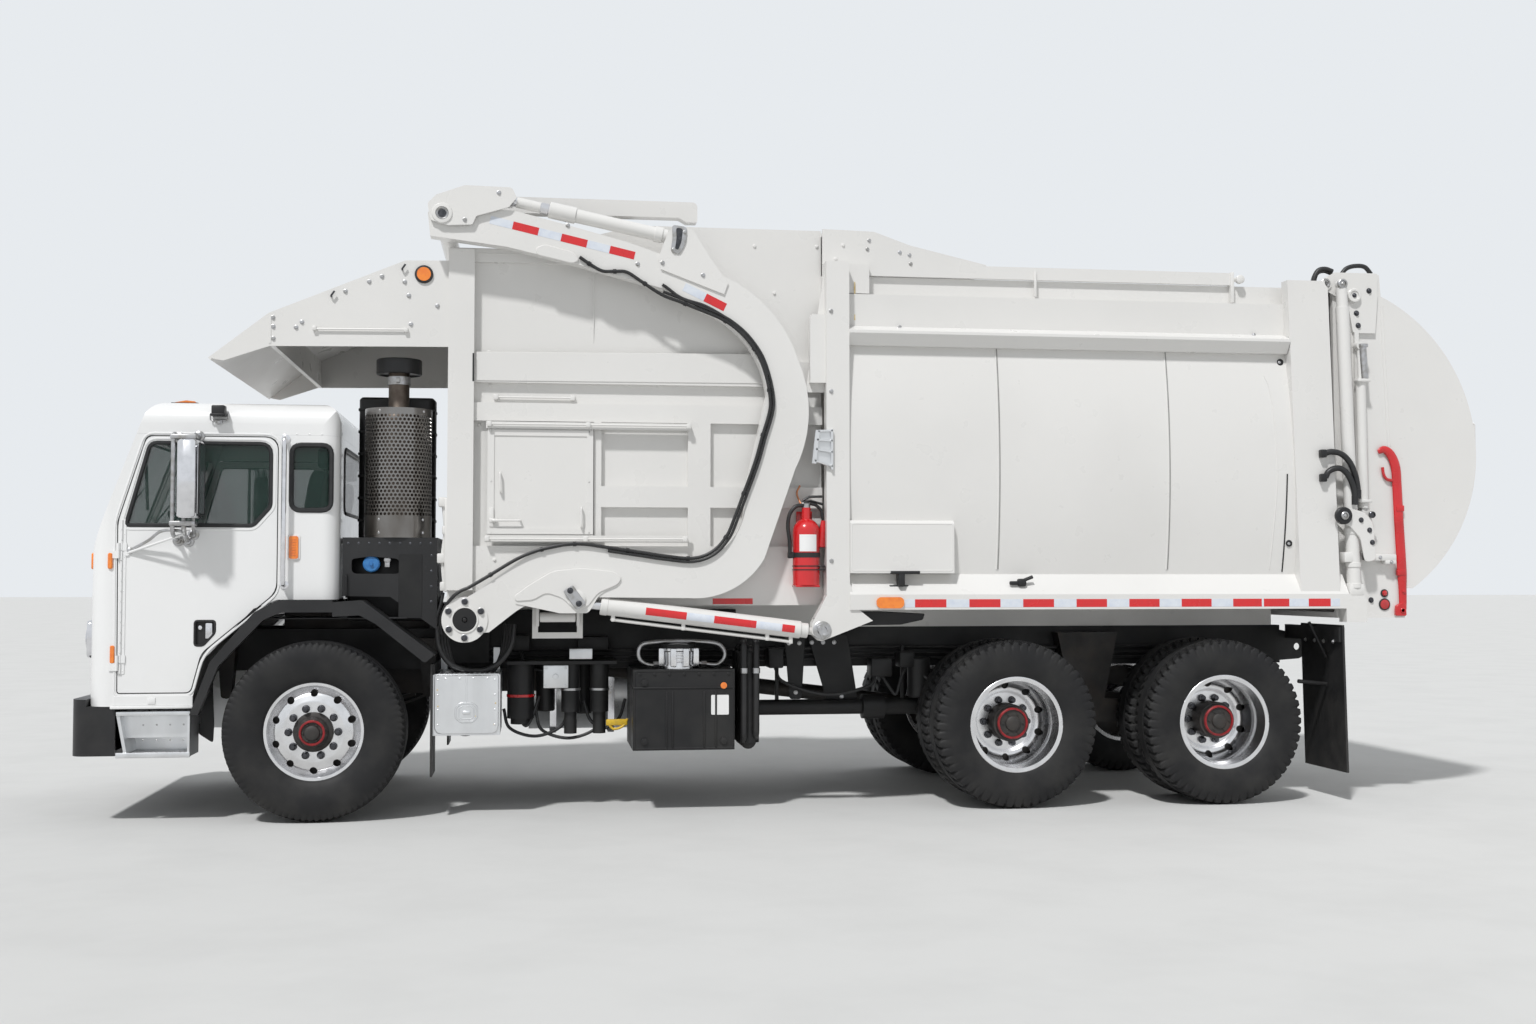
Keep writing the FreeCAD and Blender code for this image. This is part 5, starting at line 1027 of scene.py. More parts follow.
def addIntake():
    # Ribbed air intake behind the silencer, black plates in the wheel arch as painted shade, and the cowl's
    # filler, panel, bolts and handle.
    tower = plate(rounded(oblong(0.18, -0.6, 0.655, -0.4), 0.05), "top", 1.69, 2.59, 0.015)
    ribs = [roundBox((0.178, -0.602, z), (0.657, -0.398, z + 0.018), 0.004) for z in between(1.8, 2.5, 6)]
    addPiece("air_intake", [tower, *ribs], "mouldedBlackAndShade")
    inner = roundBox((0.15, -0.9, 1.18), (0.69, -0.5, 1.66), 0.03)
    addPiece("cowl_inside", inner, "chassisPaint")
    cap = lathe([(0, 0.052), (0.03, 0.05), (0.036, 0.042), (0.036, 0.012), (0.05, 0.01), (0.05, 0)],
        (0.305, -0.965, 1.53), outwards, 24)
    addPiece("filler_cap", cap, "blueCap")
    tap = [lathe([(0, 0.02), (0.04, 0.02), (0.045, 0.012), (0.045, 0)], (0.4, -0.96, 1.555), outwards, 12),
        roundBox((0.385, -1.0, 1.51), (0.415, -0.965, 1.545), 0.004)]
    addPiece("filler_tap", tap, "zincPlate")
    edge = [(x, 1.655) for x in between(0.17, 0.66, 9)] + [(0.665, z) for z in between(1.3, 1.58, 4)]
    addPiece("cowl_bolts", bolts(onSkin("engine_cowl", edge), 0.012, 0.005), "darkNut")
    # a black upright plate in front of the tyre and a black sheet over it: painted shade in the wheel arch
    archShadePlates = [sidePlate([(-0.735, 0.5), (-0.645, 0.44), (-0.64, 0.56), (-0.655, 0.86), (-0.53, 1.2),
        (-0.76, 1.15)], 0.02, -0.78, -0.792, 0.003),
        roundBox((-0.5, -1.02, 1.196), (0.52, -0.64, 1.206), 0.003)]
    bothSides("arch_shade_plates", archShadePlates, "mouldedBlackAndShade")
    face = skinLevel("engine_cowl", 0.53, 1.45)
    panel = sidePlate(oblong(0.47, 1.2, 0.61, 1.59), 0.01, face + 0.001, face - 0.003, 0.001)
    addPiece("cowl_panel", panel, "chassisPaint")
    handle = bentBar([(0.162, -1.004, 1.33), (0.162, -1.03, 1.33), (0.162, -1.03, 1.46),
        (0.162, -1.004, 1.46)], 0.012, 0.006, 8)
    addPiece("cowl_handle", handle, "mouldedBlackAndShade")


# Canopy over the cab

canopyBolts = [(-0.14, 2.949), (-0.106, 2.982), (0.147, 3.174), (0.286, 3.237), (0.362, 3.27),
    (0.522, 3.157), (0.497, 3.24), (0.536, 2.983), (0.693, 3.098), (-0.275, 3.005), (-0.273, 2.951),
    (-0.272, 2.88)]


def addCanopy():
    heads = onSkin("canopy", canopyBolts)
    bothSides("canopy_bolts", bolts(heads, 0.02, 0.01), "zincPlate")
    side = skinLevel("canopy", 0.25, 2.95)
    bar = tube([(-0.031, side - 0.014, 2.941), (0.508, side - 0.014, 2.948)], 0.006, 8)
    knobs = [roundBox((x - 0.012, side - 0.024, 2.932), (x + 0.012, side + 0.001, 2.958), 0.004)
        for x in (-0.031, 0.508)]
    strip = plate(oblong(-0.3, 2.85, -0.284, 3.016), "side", side + 0.0005, side - 0.003)
    bothSides("canopy_bar", [bar, *knobs, strip], "bodyPaint")
    ring = sideRing(0.611, 3.29, ((0.04, side), (0.056, side), (0.054, side - 0.012),
        (0.043, side - 0.014)), 36)
    bothSides("canopy_lamp_ring", ring, "gasketAndSlitShade")
    hooks = [bentBar([(x, side, z), (x, side - 0.025, z), (x + 0.02, side - 0.025, z + 0.03)], 0.01, 0.006,
        8) for x, z in ((0.065, 3.141), (0.482, 3.315))]
    bothSides("canopy_hooks", hooks, "darkNut")


addExhaust(exhaust)
addIntake()
addCanopy()
print("exhaust, cowl and canopy made")


# Hopper side: seams, bolts, rods, latches and the fittings in front

hopperBolts = [(1.003, 2.828), (2.039, 2.831), (2.529, 2.85), (1.012, 2.622), (2.04, 2.639), (2.646, 3.531),
    (3.043, 3.539), (3.201, 3.54), (3.153, 3.452), (2.771, 3.236), (0.947, 2.381), (1.045, 1.555)]


def addHopper():
    walls = "hopper_walls access_door body_frame body_shell"
    bothSides("hopper_bolts", bolts(onSkin(walls, hopperBolts), 0.018, 0.009), "bodyPaint")
    ends = ([(0.914, 3.378), (0.918, 2.655)], [(0.93, 3.432), (1.9, 3.432)], [(1.64, 3.4), (1.64, 2.9)])
    seams = [tube(onSkin("hopper_walls", pair), 0.0028, 6) for pair in ends]
    bothSides("hopper_seams", seams, "bodyPaint")
    skin = skinLevel("hopper_walls", 1.3, 2.7)
    beam = plate([(0.924, 2.648), (2.9, 2.66), (2.9, 2.846), (0.924, 2.824)], "side", skin + 0.002,
        skin - 0.005, 0.002)
    bothSides("hopper_beam", beam, "bodyPaint")
    # a black strip in the slit between the front post and the beam: painted shade
    slitShade = decal(oblong(0.906, 2.64, 0.917, 2.812), skinLevel("hopper_walls", 0.911, 2.7))
    bothSides("post_slit", slitShade, "gasketAndSlitShade")
    # long rods on blocks: a handle rod over the access door, and the two runners of the door
    parts = []
    for x0, x1, z, blocks in ((1.047, 1.514, 2.552, (1.047, 1.514)),
            (1.007, 2.229, 2.381, (1.01, 1.608, 2.225)), (0.99, 2.213, 1.682, (1.0, 1.594, 2.205))):
        levels = onSkin("hopper_walls access_door", [(x, z) for x in blocks])
        level = levels[:, 1].min() - 0.016
        parts.append(tube([(x0, level, z), (x1, level, z)], 0.0065, 8))
        parts += [roundBox((x - 0.014, y + 0.002, z - 0.016), (x + 0.014, level - 0.01, z + 0.016), 0.004)
            for x, y, _ in levels]
    bothSides("hopper_rods", parts, "bodyPaint")


def addAccessDoor():
    # Latch, handles, bolts and a stiff rim; they slide with the door.
    y = skinLevel("access_door", 1.3, 2.0)
    rim = sideBead(rounded(oblong(1.008, 1.69, 1.632, 2.369), 0.012), y, 0.012, 0.006)
    bars = [bentBar([(x0, y + 0.002, z0), (x0, y - 0.03, z0), (x1, y - 0.03, z1), (x1, y + 0.002, z1)],
        0.012, 0.0065, 8) for x0, z0, x1, z1 in ((1.076, 2.083, 1.08, 1.964), (1.568, 1.873, 1.569, 1.753),
        (1.03, 1.793, 1.2, 1.793))]
    latch = [roundBox((1.012, y + 0.001, 1.755), (1.04, y - 0.014, 1.872), 0.004),
        roundBox((1.012, y + 0.001, 1.782), (1.06, y - 0.02, 1.806), 0.004)]
    addPiece("access_rim", [rim, *bars, *latch], "bodyPaint", "access_door")
    heads = [(x, y, z) for x in (1.024, 1.616) for z in (1.72, 2.03, 2.34)]
    addPiece("access_bolts", bolts(heads, 0.014, 0.006), "zincPlate", "access_door")


def addHopperFittings():
    # White hydraulic fittings and their hoses on the hopper's front post, and a roller tube below it.
    parts = []
    for x, z, size in ((0.735, 1.907, 0.03), (0.754, 1.735, 0.026), (0.728, 1.564, 0.03),
            (0.744, 1.393, 0.028)):
        parts.append(roundBox((x - size, -1.035, z - size), (x + size * 0.6, -0.975, z + size), 0.008))
    parts.append(tube([(0.735, -1.005, 1.9), (0.75, -1.005, 1.74), (0.728, -1.005, 1.56),
        (0.744, -1.005, 1.4)], 0.013, 10))
    parts.append(roundBox((0.742, -1.045, 1.36), (0.775, -0.96, 1.93), 0.006))
    addPiece("valve_fittings", parts, "bodyPaint")
    hoses = [hose([(0.735, -1.0, 1.355), (0.722, -1.01, 1.28), (0.7, -1.0, 1.2), (0.705, -0.96, 1.12),
        (0.76, -0.9, 1.08)], 0.011), hose([(0.7, -0.995, 1.56), (0.668, -0.985, 1.5), (0.66, -0.96, 1.36),
        (0.69, -0.9, 1.24)], 0.009)]
    addPiece("valve_hoses", hoses, "hoseRubber")
    roller = lathe([(0, 0.02), (0.004, 0.03), (0.216, 0.03), (0.22, 0.02), (0.22, 0)],
        (1.318, -1.102, 1.205), (1, 0, 0), 22)
    cheeks = [roundBox((x - 0.01, -1.14, 1.15), (x + 0.01, -1.07, 1.262), 0.004) for x in (1.306, 1.552)]
    bothSides("sill_roller", [roller, *cheeks], "bodyPaint")


addHopper()
addAccessDoor()
addHopperFittings()
print("hopper made")


# Lift arms, their cylinders and hoses

# each cylinder's line from base to head, and for the tail also the lock's rod
cylinders = {
    "lift": dict(line=((3.03, 1.11), (1.533, 1.296)), y=-1.194, radius=0.046, shaft=0.03, length=1.29),
    "fork": dict(line=((2.152, 3.53), (1.123, 3.735)), y=-1.196, radius=0.042, shaft=0.028, length=0.8),
    "tail": dict(line=((6.545, 1.33), (6.485, 3.356)), y=-1.212),
    "lock": dict(line=((6.64, 2.72), (6.625, 2.97)), y=-1.212),
}
armHoses = {
    "upper": [(1.547, 3.391), (1.619, 3.343), (1.687, 3.309), (1.756, 3.309), (1.833, 3.306),
        (1.927, 3.248), (2.048, 3.173), (2.16, 3.132), (2.29, 3.083), (2.395, 3.042), (2.482, 2.992),
        (2.569, 2.915), (2.648, 2.803), (2.692, 2.682), (2.715, 2.561), (2.712, 2.466), (2.666, 2.309),
        (2.622, 2.153), (2.552, 1.962), (2.5, 1.823), (2.448, 1.702), (2.362, 1.607), (2.241, 1.564),
        (2.069, 1.578), (1.932, 1.598), (1.728, 1.628), (1.584, 1.648), (1.48, 1.646), (1.39, 1.63),
        (1.289, 1.604), (1.173, 1.553), (1.008, 1.452), (0.895, 1.385)],
    "second": [(2.05, 3.235), (2.079, 3.217), (2.169, 3.155), (2.308, 3.112), (2.43, 3.047), (2.51, 2.985),
        (2.59, 2.9), (2.664, 2.79), (2.7, 2.69)],
}
armFace = -1.24


def cylinderEnds(kind):
    return [np.array([x, cylinders[kind]["y"], z]) for x, z in cylinders[kind]["line"]]


def barrelTape(kind, radius, spans):
    # Tape wrapped on the outer side of a barrel, from x to x.
    base, head = cylinderEnds(kind)
    along = (head - base) / np.linalg.norm(head - base)
    up = np.cross(along, (0, 1, 0))
    up *= np.sign(up[2])
    turn = np.linspace(-0.42, 0.42, 9)
    loop = np.concatenate([(radius + 0.0012) * np.stack([np.cos(turn), np.sin(turn)], 1),
        (radius - 0.0004) * np.stack([np.cos(turn[::-1]), np.sin(turn[::-1])], 1)])
    ring = np.array([0, -1.0, 0]) * loop[:, :1] + up * loop[:, 1:]
    parts = []
    for low, high in spans:
        ends = np.stack([base + along * (x - base[0]) / along[0] for x in (low, high)])
        parts.append(gridPart(ends[:, None] + ring[None], closeColumns=True, caps=True))
    return joined(parts)


def collar(kind, low, high, inner, outer):
    # A ring round a cylinder, from a distance to a distance along it.
    base, head = cylinderEnds(kind)
    step = 0.15 * (outer - inner) + 0.001
    return lathe([(low, inner), (low, outer - step), (low + step, outer), (high - step, outer),
        (high, outer - step), (high, inner)], base, head - base, 28)


def addArms():
    cover = [(1.282, 3.44), (1.337, 3.464), (1.506, 3.421), (1.549, 3.374), (1.506, 3.349), (1.287, 3.398)]
    seat = skinLevel("arms", 1.41, 3.41)
    bothSides("arm_cover", sidePlate(cover, 0.02, seat + 0.002, seat - 0.016, 0.004), "bodyPaint", "arms")
    heads = onSkin("arms", [(1.475, 3.585), (2.051, 3.369), (1.352, 3.425), (1.478, 3.392), (2.3, 3.3),
        (1.9, 3.36)])
    bothSides("arm_bolts", bolts(heads, 0.02, 0.01), "zincPlate", "arms")
    pale = [(1.01, 1.145), (1.299, 1.436), (1.592, 1.73)]
    red = [(1.145, 1.299), (1.436, 1.592), (1.73, 1.881)]
    bothSides("arm_tape_pale", [tapeRun((1.01, 3.606), (1.881, 3.411), 0.048, pale, armFace),
        tapeRun((2.185, 3.228), (2.438, 3.106), 0.052, [(2.185, 2.314)], armFace)], "paleTape", "arms")
    bothSides("arm_tape_red", [tapeRun((1.01, 3.606), (1.881, 3.411), 0.048, red, armFace),
        tapeRun((2.185, 3.228), (2.438, 3.106), 0.052, [(2.314, 2.438)], armFace)], "redTape", "arms")
    # the hub's dark centre and its ring of large bolts
    x, z = 0.876, 1.195
    face = skinLevel("arms", x, z)
    rim = ((0.07, face + 0.001), (0.082, face + 0.001), (0.08, face - 0.006), (0.072, face - 0.006))
    bothSides("hub_rim", sideRing(x, z, rim, 40), "bodyPaint", "arms")
    disc = lathe([(0, 0.072), (0.002, 0.071), (0.002, 0)], (x, face, z), outwards, 32)
    bothSides("hub_recess", [disc, moved(boltHead(0.026, 0.01, outwards), (x, face, z))],
        "chassisPaint", "arms")
    turn = np.radians([28, 90, 152, 212, 270, 328])
    places = [(x + 0.108 * math.cos(a), face, z + 0.108 * math.sin(a)) for a in turn]
    bothSides("hub_bolt_heads", moved(bolts(places, 0.026, 0.014), (0, -0.006, 0)), "darkNut", "arms")
    washer = lathe([(0, 0.022), (0.004, 0.022), (0.006, 0.018), (0.006, 0)], (0, 0, 0), outwards, 20)
    bothSides("hub_bolts", repeated(washer, places), "zincPlate", "arms")
    # the web inside the bend, and the keeper plate at the cylinder's pin
    seat = min(skinLevel("arms", 1.533, 1.33), skinLevel("arms", 1.4, 1.42))
    web = rounded([(1.168, 1.337), (1.26, 1.405), (1.395, 1.486), (1.57, 1.504), (1.765, 1.483),
        (1.812, 1.444), (1.785, 1.404), (1.668, 1.355), (1.602, 1.267), (1.532, 1.244), (1.454, 1.323),
        (1.357, 1.356), (1.28, 1.311), (1.174, 1.304)], 0.03)
    bothSides("arm_web", plate(web, "side", armFace + 0.001, seat - 0.007, 0.003), "bodyPaint", "arms")
    disc = lathe([(0, 0.052), (0.01, 0.052), (0.014, 0.046), (0.014, 0)], (1.541, seat - 0.006, 1.318),
        outwards, 32)
    keeper = rounded([(1.456, 1.366), (1.514, 1.404), (1.596, 1.29), (1.538, 1.25)], 0.016)
    keeperBolts = bolts([(1.5, seat - 0.03, 1.368), (1.552, seat - 0.03, 1.29)], 0.026, 0.01)
    bothSides("lift_pin", disc, "bodyPaint", "arms")
    bothSides("lift_keeper", plate(keeper, "side", seat - 0.018, seat - 0.03, 0.003), "zincPlate", "arms")
    bothSides("lift_keeper_bolts", keeperBolts, "darkNut", "arms")


def addArmHoses():
    level = armFace - 0.014
    runs = {name: [(x, level, z) for x, z in armHoses[name]] for name in armHoses}
    for name, radius in (("upper", 0.0105), ("second", 0.0095)):
        bothSides("arm_hose_" + name, hose(runs[name], radius), "hoseRubber", "arms")
    # a further line keeps to the inner side of the upper one down to the bend
    path = smoothPath(runs["upper"][6:26], 120)
    run = np.gradient(path, axis=0)
    inward = np.cross(run, (0, 1, 0))
    inward /= lengthOf(inward)
    bothSides("arm_hose_inner", tube(path + 0.0205 * inward, 0.009, 10), "hoseRubber", "arms")
    bands = clips(runs["upper"], between(0.03, 0.97, 15), 0.0115)
    bothSides("arm_hose_clips", bands, "mouldedBlackAndShade", "arms")
    start = [(0.895, level, 1.385), (0.85, level - 0.002, 1.366), (0.805, level, 1.33),
        (0.762, level + 0.02, 1.275), (0.738, level + 0.06, 1.215), (0.73, level + 0.1, 1.16),
        (0.735, level + 0.15, 1.11)]
    bothSides("arm_hose_end", hose(start, 0.0105), "hoseRubber", "arms")


def addLiftCylinders():
    lift = cylinders["lift"]
    red, pale = [(1.956, 2.204), (2.372, 2.631), (2.791, 2.869)], [(2.204, 2.372), (2.631, 2.791)]
    outer = lift["radius"] + 0.008
    bothSides("lift_tape", barrelTape("lift", outer, red), "redTape", "lift_barrels")
    bothSides("lift_tape_pale", barrelTape("lift", outer, pale), "paleTape", "lift_barrels")
    length = lift["length"]
    rings = [collar("lift", 0.12, length + 0.06, lift["radius"] - 0.002, outer),
        collar("lift", length + 0.02, length + 0.066, lift["shaft"] + 0.001, outer + 0.003)]
    feed = [(1.745, -1.196, 1.196), (1.8, -1.2, 1.186), (2.187, -1.2, 1.137), (2.704, -1.2, 1.072),
        (2.85, -1.2, 1.052)]
    line = tube(smoothPath(feed, 40), 0.01, 8)
    blocks = [roundBox((x - 0.012, -1.214, z - 0.012), (x + 0.012, -1.184, z + 0.04), 0.004)
        for x, z in ((1.76, 1.192), (2.187, 1.137), (2.704, 1.072), (2.85, 1.052))]
    bothSides("lift_collars", [*rings, line, *blocks], "bodyPaint", "lift_barrels")
    foot = [(3.0, 1.15), (3.04, 1.168), (3.085, 1.1), (3.04, 1.06)]
    seat = skinLevel("body_frame", 3.045, 1.115)
    plateBolts = bolts([(3.025, seat - 0.008, 1.135), (3.055, seat - 0.008, 1.09)], 0.018, 0.01)
    disc = lathe([(-0.002, 0.058), (0.006, 0.058), (0.01, 0.052), (0.01, 0.03), (0.006, 0.026), (0.006, 0)],
        (3.04, seat, 1.122), outwards, 36)
    keeper = sidePlate(foot, 0.01, seat - 0.006, seat - 0.016, 0.003)
    bothSides("foot_keeper", [disc, keeper, moved(plateBolts, (0, -0.008, 0))], "zincPlate")


def addForkCylinders():
    fork = cylinders["fork"]
    length, shaft, barrel, reach = fork["length"], fork["shaft"], fork["radius"], math.dist(*fork["line"])
    rings = [collar("fork", length - 0.16, length + 0.003, barrel - 0.002, barrel + 0.008),
        collar("fork", 0.1, 0.15, barrel - 0.002, barrel + 0.007)]
    bothSides("fork_collars", rings, "bodyPaint", "fork_barrels")
    neck = collar("fork", length + 0.008, length + 0.055, shaft - 0.001, shaft + 0.006)
    bothSides("fork_neck", neck, "polishedSteel", "fork_rods")
    sleeve = collar("fork", length + 0.058, reach - 0.045, shaft - 0.001, shaft + 0.004)
    bothSides("fork_sleeve", sleeve, "bodyPaint", "fork_rods")
    seat = skinLevel("arms", 2.15, 3.52)
    form = rounded([(2.108, 3.606), (2.2, 3.594), (2.196, 3.5), (2.158, 3.424), (2.1, 3.436),
        (2.112, 3.524)], 0.022)
    inner = rounded([(2.132, 3.588), (2.176, 3.582), (2.166, 3.5), (2.146, 3.45), (2.126, 3.456),
        (2.136, 3.524)], 0.018)
    bothSides("fork_keeper", [plate(form, "side", seat + 0.001, seat - 0.01, 0.003),
        bolts([(2.186, seat - 0.01, 3.56), (2.118, seat - 0.01, 3.45)], 0.018, 0.008)], "zincPlate", "arms")
    bothSides("fork_keeper_slot", plate(inner, "side", seat - 0.0095, seat - 0.0115, 0.0008),
        "darkNut", "arms")
    face = skinLevel("forks arms", 0.726, 3.631)
    boss = ((0.036, face + 0.001), (0.063, face + 0.001), (0.058, face - 0.008), (0.04, face - 0.01))
    bothSides("fork_boss", sideRing(0.726, 3.631, boss, 32), "bodyPaint", "forks")
    ring = lathe([(0, 0.037), (0.006, 0.037), (0.008, 0.034), (0.004, 0.027), (0.002, 0.026), (0.002, 0)],
        (0.726, face, 3.631), outwards, 32)
    bothSides("fork_pin_end", ring, "zincPlate", "forks")
    bothSides("fork_bolt", lathe([(0.002, 0.025), (0.0035, 0.024), (0.0035, 0)], (0.726, face, 3.631),
        outwards, 24), "darkNut", "forks")
    heads = onSkin("forks", [(0.86, 3.595), (1.061, 3.765)])
    bothSides("crank_bolts", bolts(heads, 0.02, 0.01), "zincPlate", "forks")


addArms()
addArmHoses()
addLiftCylinders()
addForkCylinders()
print("arms made")


# Body: tapes, seams, latches, the folding step and the extinguisher

bodyTape = dict(start=3.623, pitch=0.3465, red=0.2, count=6,
    rear=[(5.7, 5.893), (5.907, 6.079), (6.211, 6.361)], first=3.56, last=6.425, low=1.262, high=1.312)


def addBodyTape(settings):
    level = skinLevel("body_frame", 4.0, 1.287)
    red, pale, edge = [], [], settings["first"]

    def block(x0, x1):
        return decal(oblong(x0, settings["low"], x1, settings["high"]), level)
    starts = [settings["start"] + k * settings["pitch"] for k in range(settings["count"])]
    for x0, x1 in [(x, x + settings["red"]) for x in starts] + settings["rear"]:
        pale.append(block(edge, x0))
        red.append(block(x0, x1))
        edge = x1
    pale.append(block(edge, settings["last"]))
    bothSides("rail_tape_red", red, "redTape")
    bothSides("rail_tape_pale", pale, "paleTape")
    sill = onSkin("hopper_walls body_frame", [(1.345, 1.3), (2.505, 1.3)])
    patches = [decal(oblong(x - w, 1.282, x + w, 1.318), y) for (x, y, _), w in zip(sill, (0.045, 0.125))]
    bothSides("sill_tape", patches, "redTape")


def addBodySeams():
    # Weld seams down the smooth wall, on the rail and the top rail, and bolts on the posts.
    joints, levels = (4.17, 5.29), between(1.5, 2.93, 14)
    seams = [tube(onSkin("body_shell", [(x, z) for z in levels]), 0.006, 8) for x in joints]
    seams += [tube(onSkin("body_frame", [(x, 1.335), (x, 1.375)]), 0.003, 6) for x in joints]
    bothSides("wall_seams", seams, "bodyPaint")
    # a grey line just behind each wall seam, on the side away from the key light: painted shadow of the
    # seam
    lines = [tube(onSkin("body_shell", [(x + 0.009, z) for z in levels]), 0.0045, 6) for x in joints]
    bothSides("wall_seam_shadow", lines, "seamShadeGrey")
    # posts and an end roller on the top rail, and bolts on the hood's side
    rail = onSkin("body_shell body_frame", [(4.46, 3.38), (5.65, 3.37)])[:, 1]
    posts = [roundBox((4.442, rail[0] + 0.004, 3.242), (4.458, rail[0] - 0.014, 3.405), 0.003),
        roundBox((5.768, rail[1] + 0.05, 3.236), (5.79, rail[1] - 0.014, 3.436), 0.003),
        roundBox((5.785, rail[1] + 0.01, 3.376), (5.83, rail[1] - 0.004, 3.402), 0.003),
        lathe([(0, 0.028), (0.026, 0.028), (0.03, 0.022), (0.03, 0)], (5.828, rail[1], 3.389),
        outwards, 24)]
    bothSides("top_rail_posts", posts, "bodyPaint")
    hood = onSkin("body_shell body_frame hopper_walls", [(3.368, 3.575), (3.357, 3.519), (3.566, 3.505),
        (3.628, 3.49), (3.636, 3.434)])
    bothSides("hood_bolts", bolts(hood, 0.018, 0.009), "zincPlate")
    heads = onSkin("body_frame body_shell", [(6.07, 2.844), (6.109, 1.666), (3.1, 2.6), (3.1, 1.55),
        (3.1, 3.1), (3.55, 3.02), (5.9, 3.02)])
    bothSides("post_bolts", bolts(heads, 0.02, 0.01), "zincPlate")
    x, low, high = 3.262, 3.06, 3.3
    streak = skinLevel("body_frame body_shell", x, low)
    addPiece("edge_streak", decal(oblong(x, low, x + 0.008, high), streak), "sealant")
    gusset = rounded([(3.237, 1.149), (3.549, 1.154), (3.689, 1.184), (3.701, 1.222), (3.41, 1.238),
        (3.237, 1.238)], 0.01)
    bothSides("rail_gusset", plate(gusset, "side", -1.16, -1.19, 0.004), "chassisPaint")


def addLatches():
    # Black T-latch under the tool box, the second latch on the wall's foot, and the edge of the box's lid.
    box = skinLevel("toolbox", 3.54, 1.5)
    foot = skinLevel("body_shell body_frame", 3.54, 1.44)
    latch = [roundBox((3.47, box + 0.02, 1.468), (3.655, box - 0.012, 1.488), 0.005),
        roundBox((3.518, foot + 0.002, 1.395), (3.56, box - 0.01, 1.475), 0.008),
        roundBox((3.464, foot, 1.372), (3.597, foot - 0.035, 1.402), 0.01)]
    addPiece("box_latch", latch, "mouldedBlackAndShade")
    foot = skinLevel("body_shell body_frame", 4.31, 1.42)
    second = [roundBox((4.29, foot + 0.002, 1.392), (4.345, foot - 0.045, 1.44), 0.012),
        roundBox((4.236, foot - 0.02, 1.4), (4.3, foot - 0.04, 1.425), 0.008),
        tube([(4.33, foot - 0.03, 1.43), (4.385, foot - 0.035, 1.452)], 0.011, 8)]
    addPiece("wall_latch", second, "mouldedBlackAndShade")
    rim = skinLevel("toolbox", 3.54, 1.6)
    lid = sideBead(rounded(oblong(3.228, 1.49, 3.864, 1.78), 0.01), rim, 0.008, 0.004)
    addPiece("box_lid_edge", lid, "bodyPaint")


def addFoldStep():
    # A folded climbing step: a slanting side, four slats, a post and the back.
    side = sidePlate([(2.974, 2.15), (3.002, 2.146), (3.026, 2.354), (2.998, 2.358)], 0.006, -1.239,
        -1.264, 0.002)
    slats = [sidePlate([(x, z), (3.106, z + drop), (3.106, z + drop + 0.014), (x, z + 0.014)], 0.003,
        -1.239, -1.264, 0.002) for x, z, drop in ((3.012, 2.343, 0.004), (3.004, 2.29, -0.006),
        (2.998, 2.232, -0.018), (2.99, 2.162, -0.036))]
    post = sidePlate(oblong(3.094, 2.112, 3.108, 2.364), 0.003, -1.239, -1.264, 0.002)
    back = sidePlate([(3.0, 2.16), (3.1, 2.135), (3.1, 2.35), (3.02, 2.348)], 0.004, -1.2385, -1.242, 0.001)
    piece = addPiece("fold_step_frame", [side, *slats, post, back], "sheetAluminium")
    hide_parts("fold_step")


extinguisherPlace = dict(x=2.953, y=-1.1693, radius=0.084)


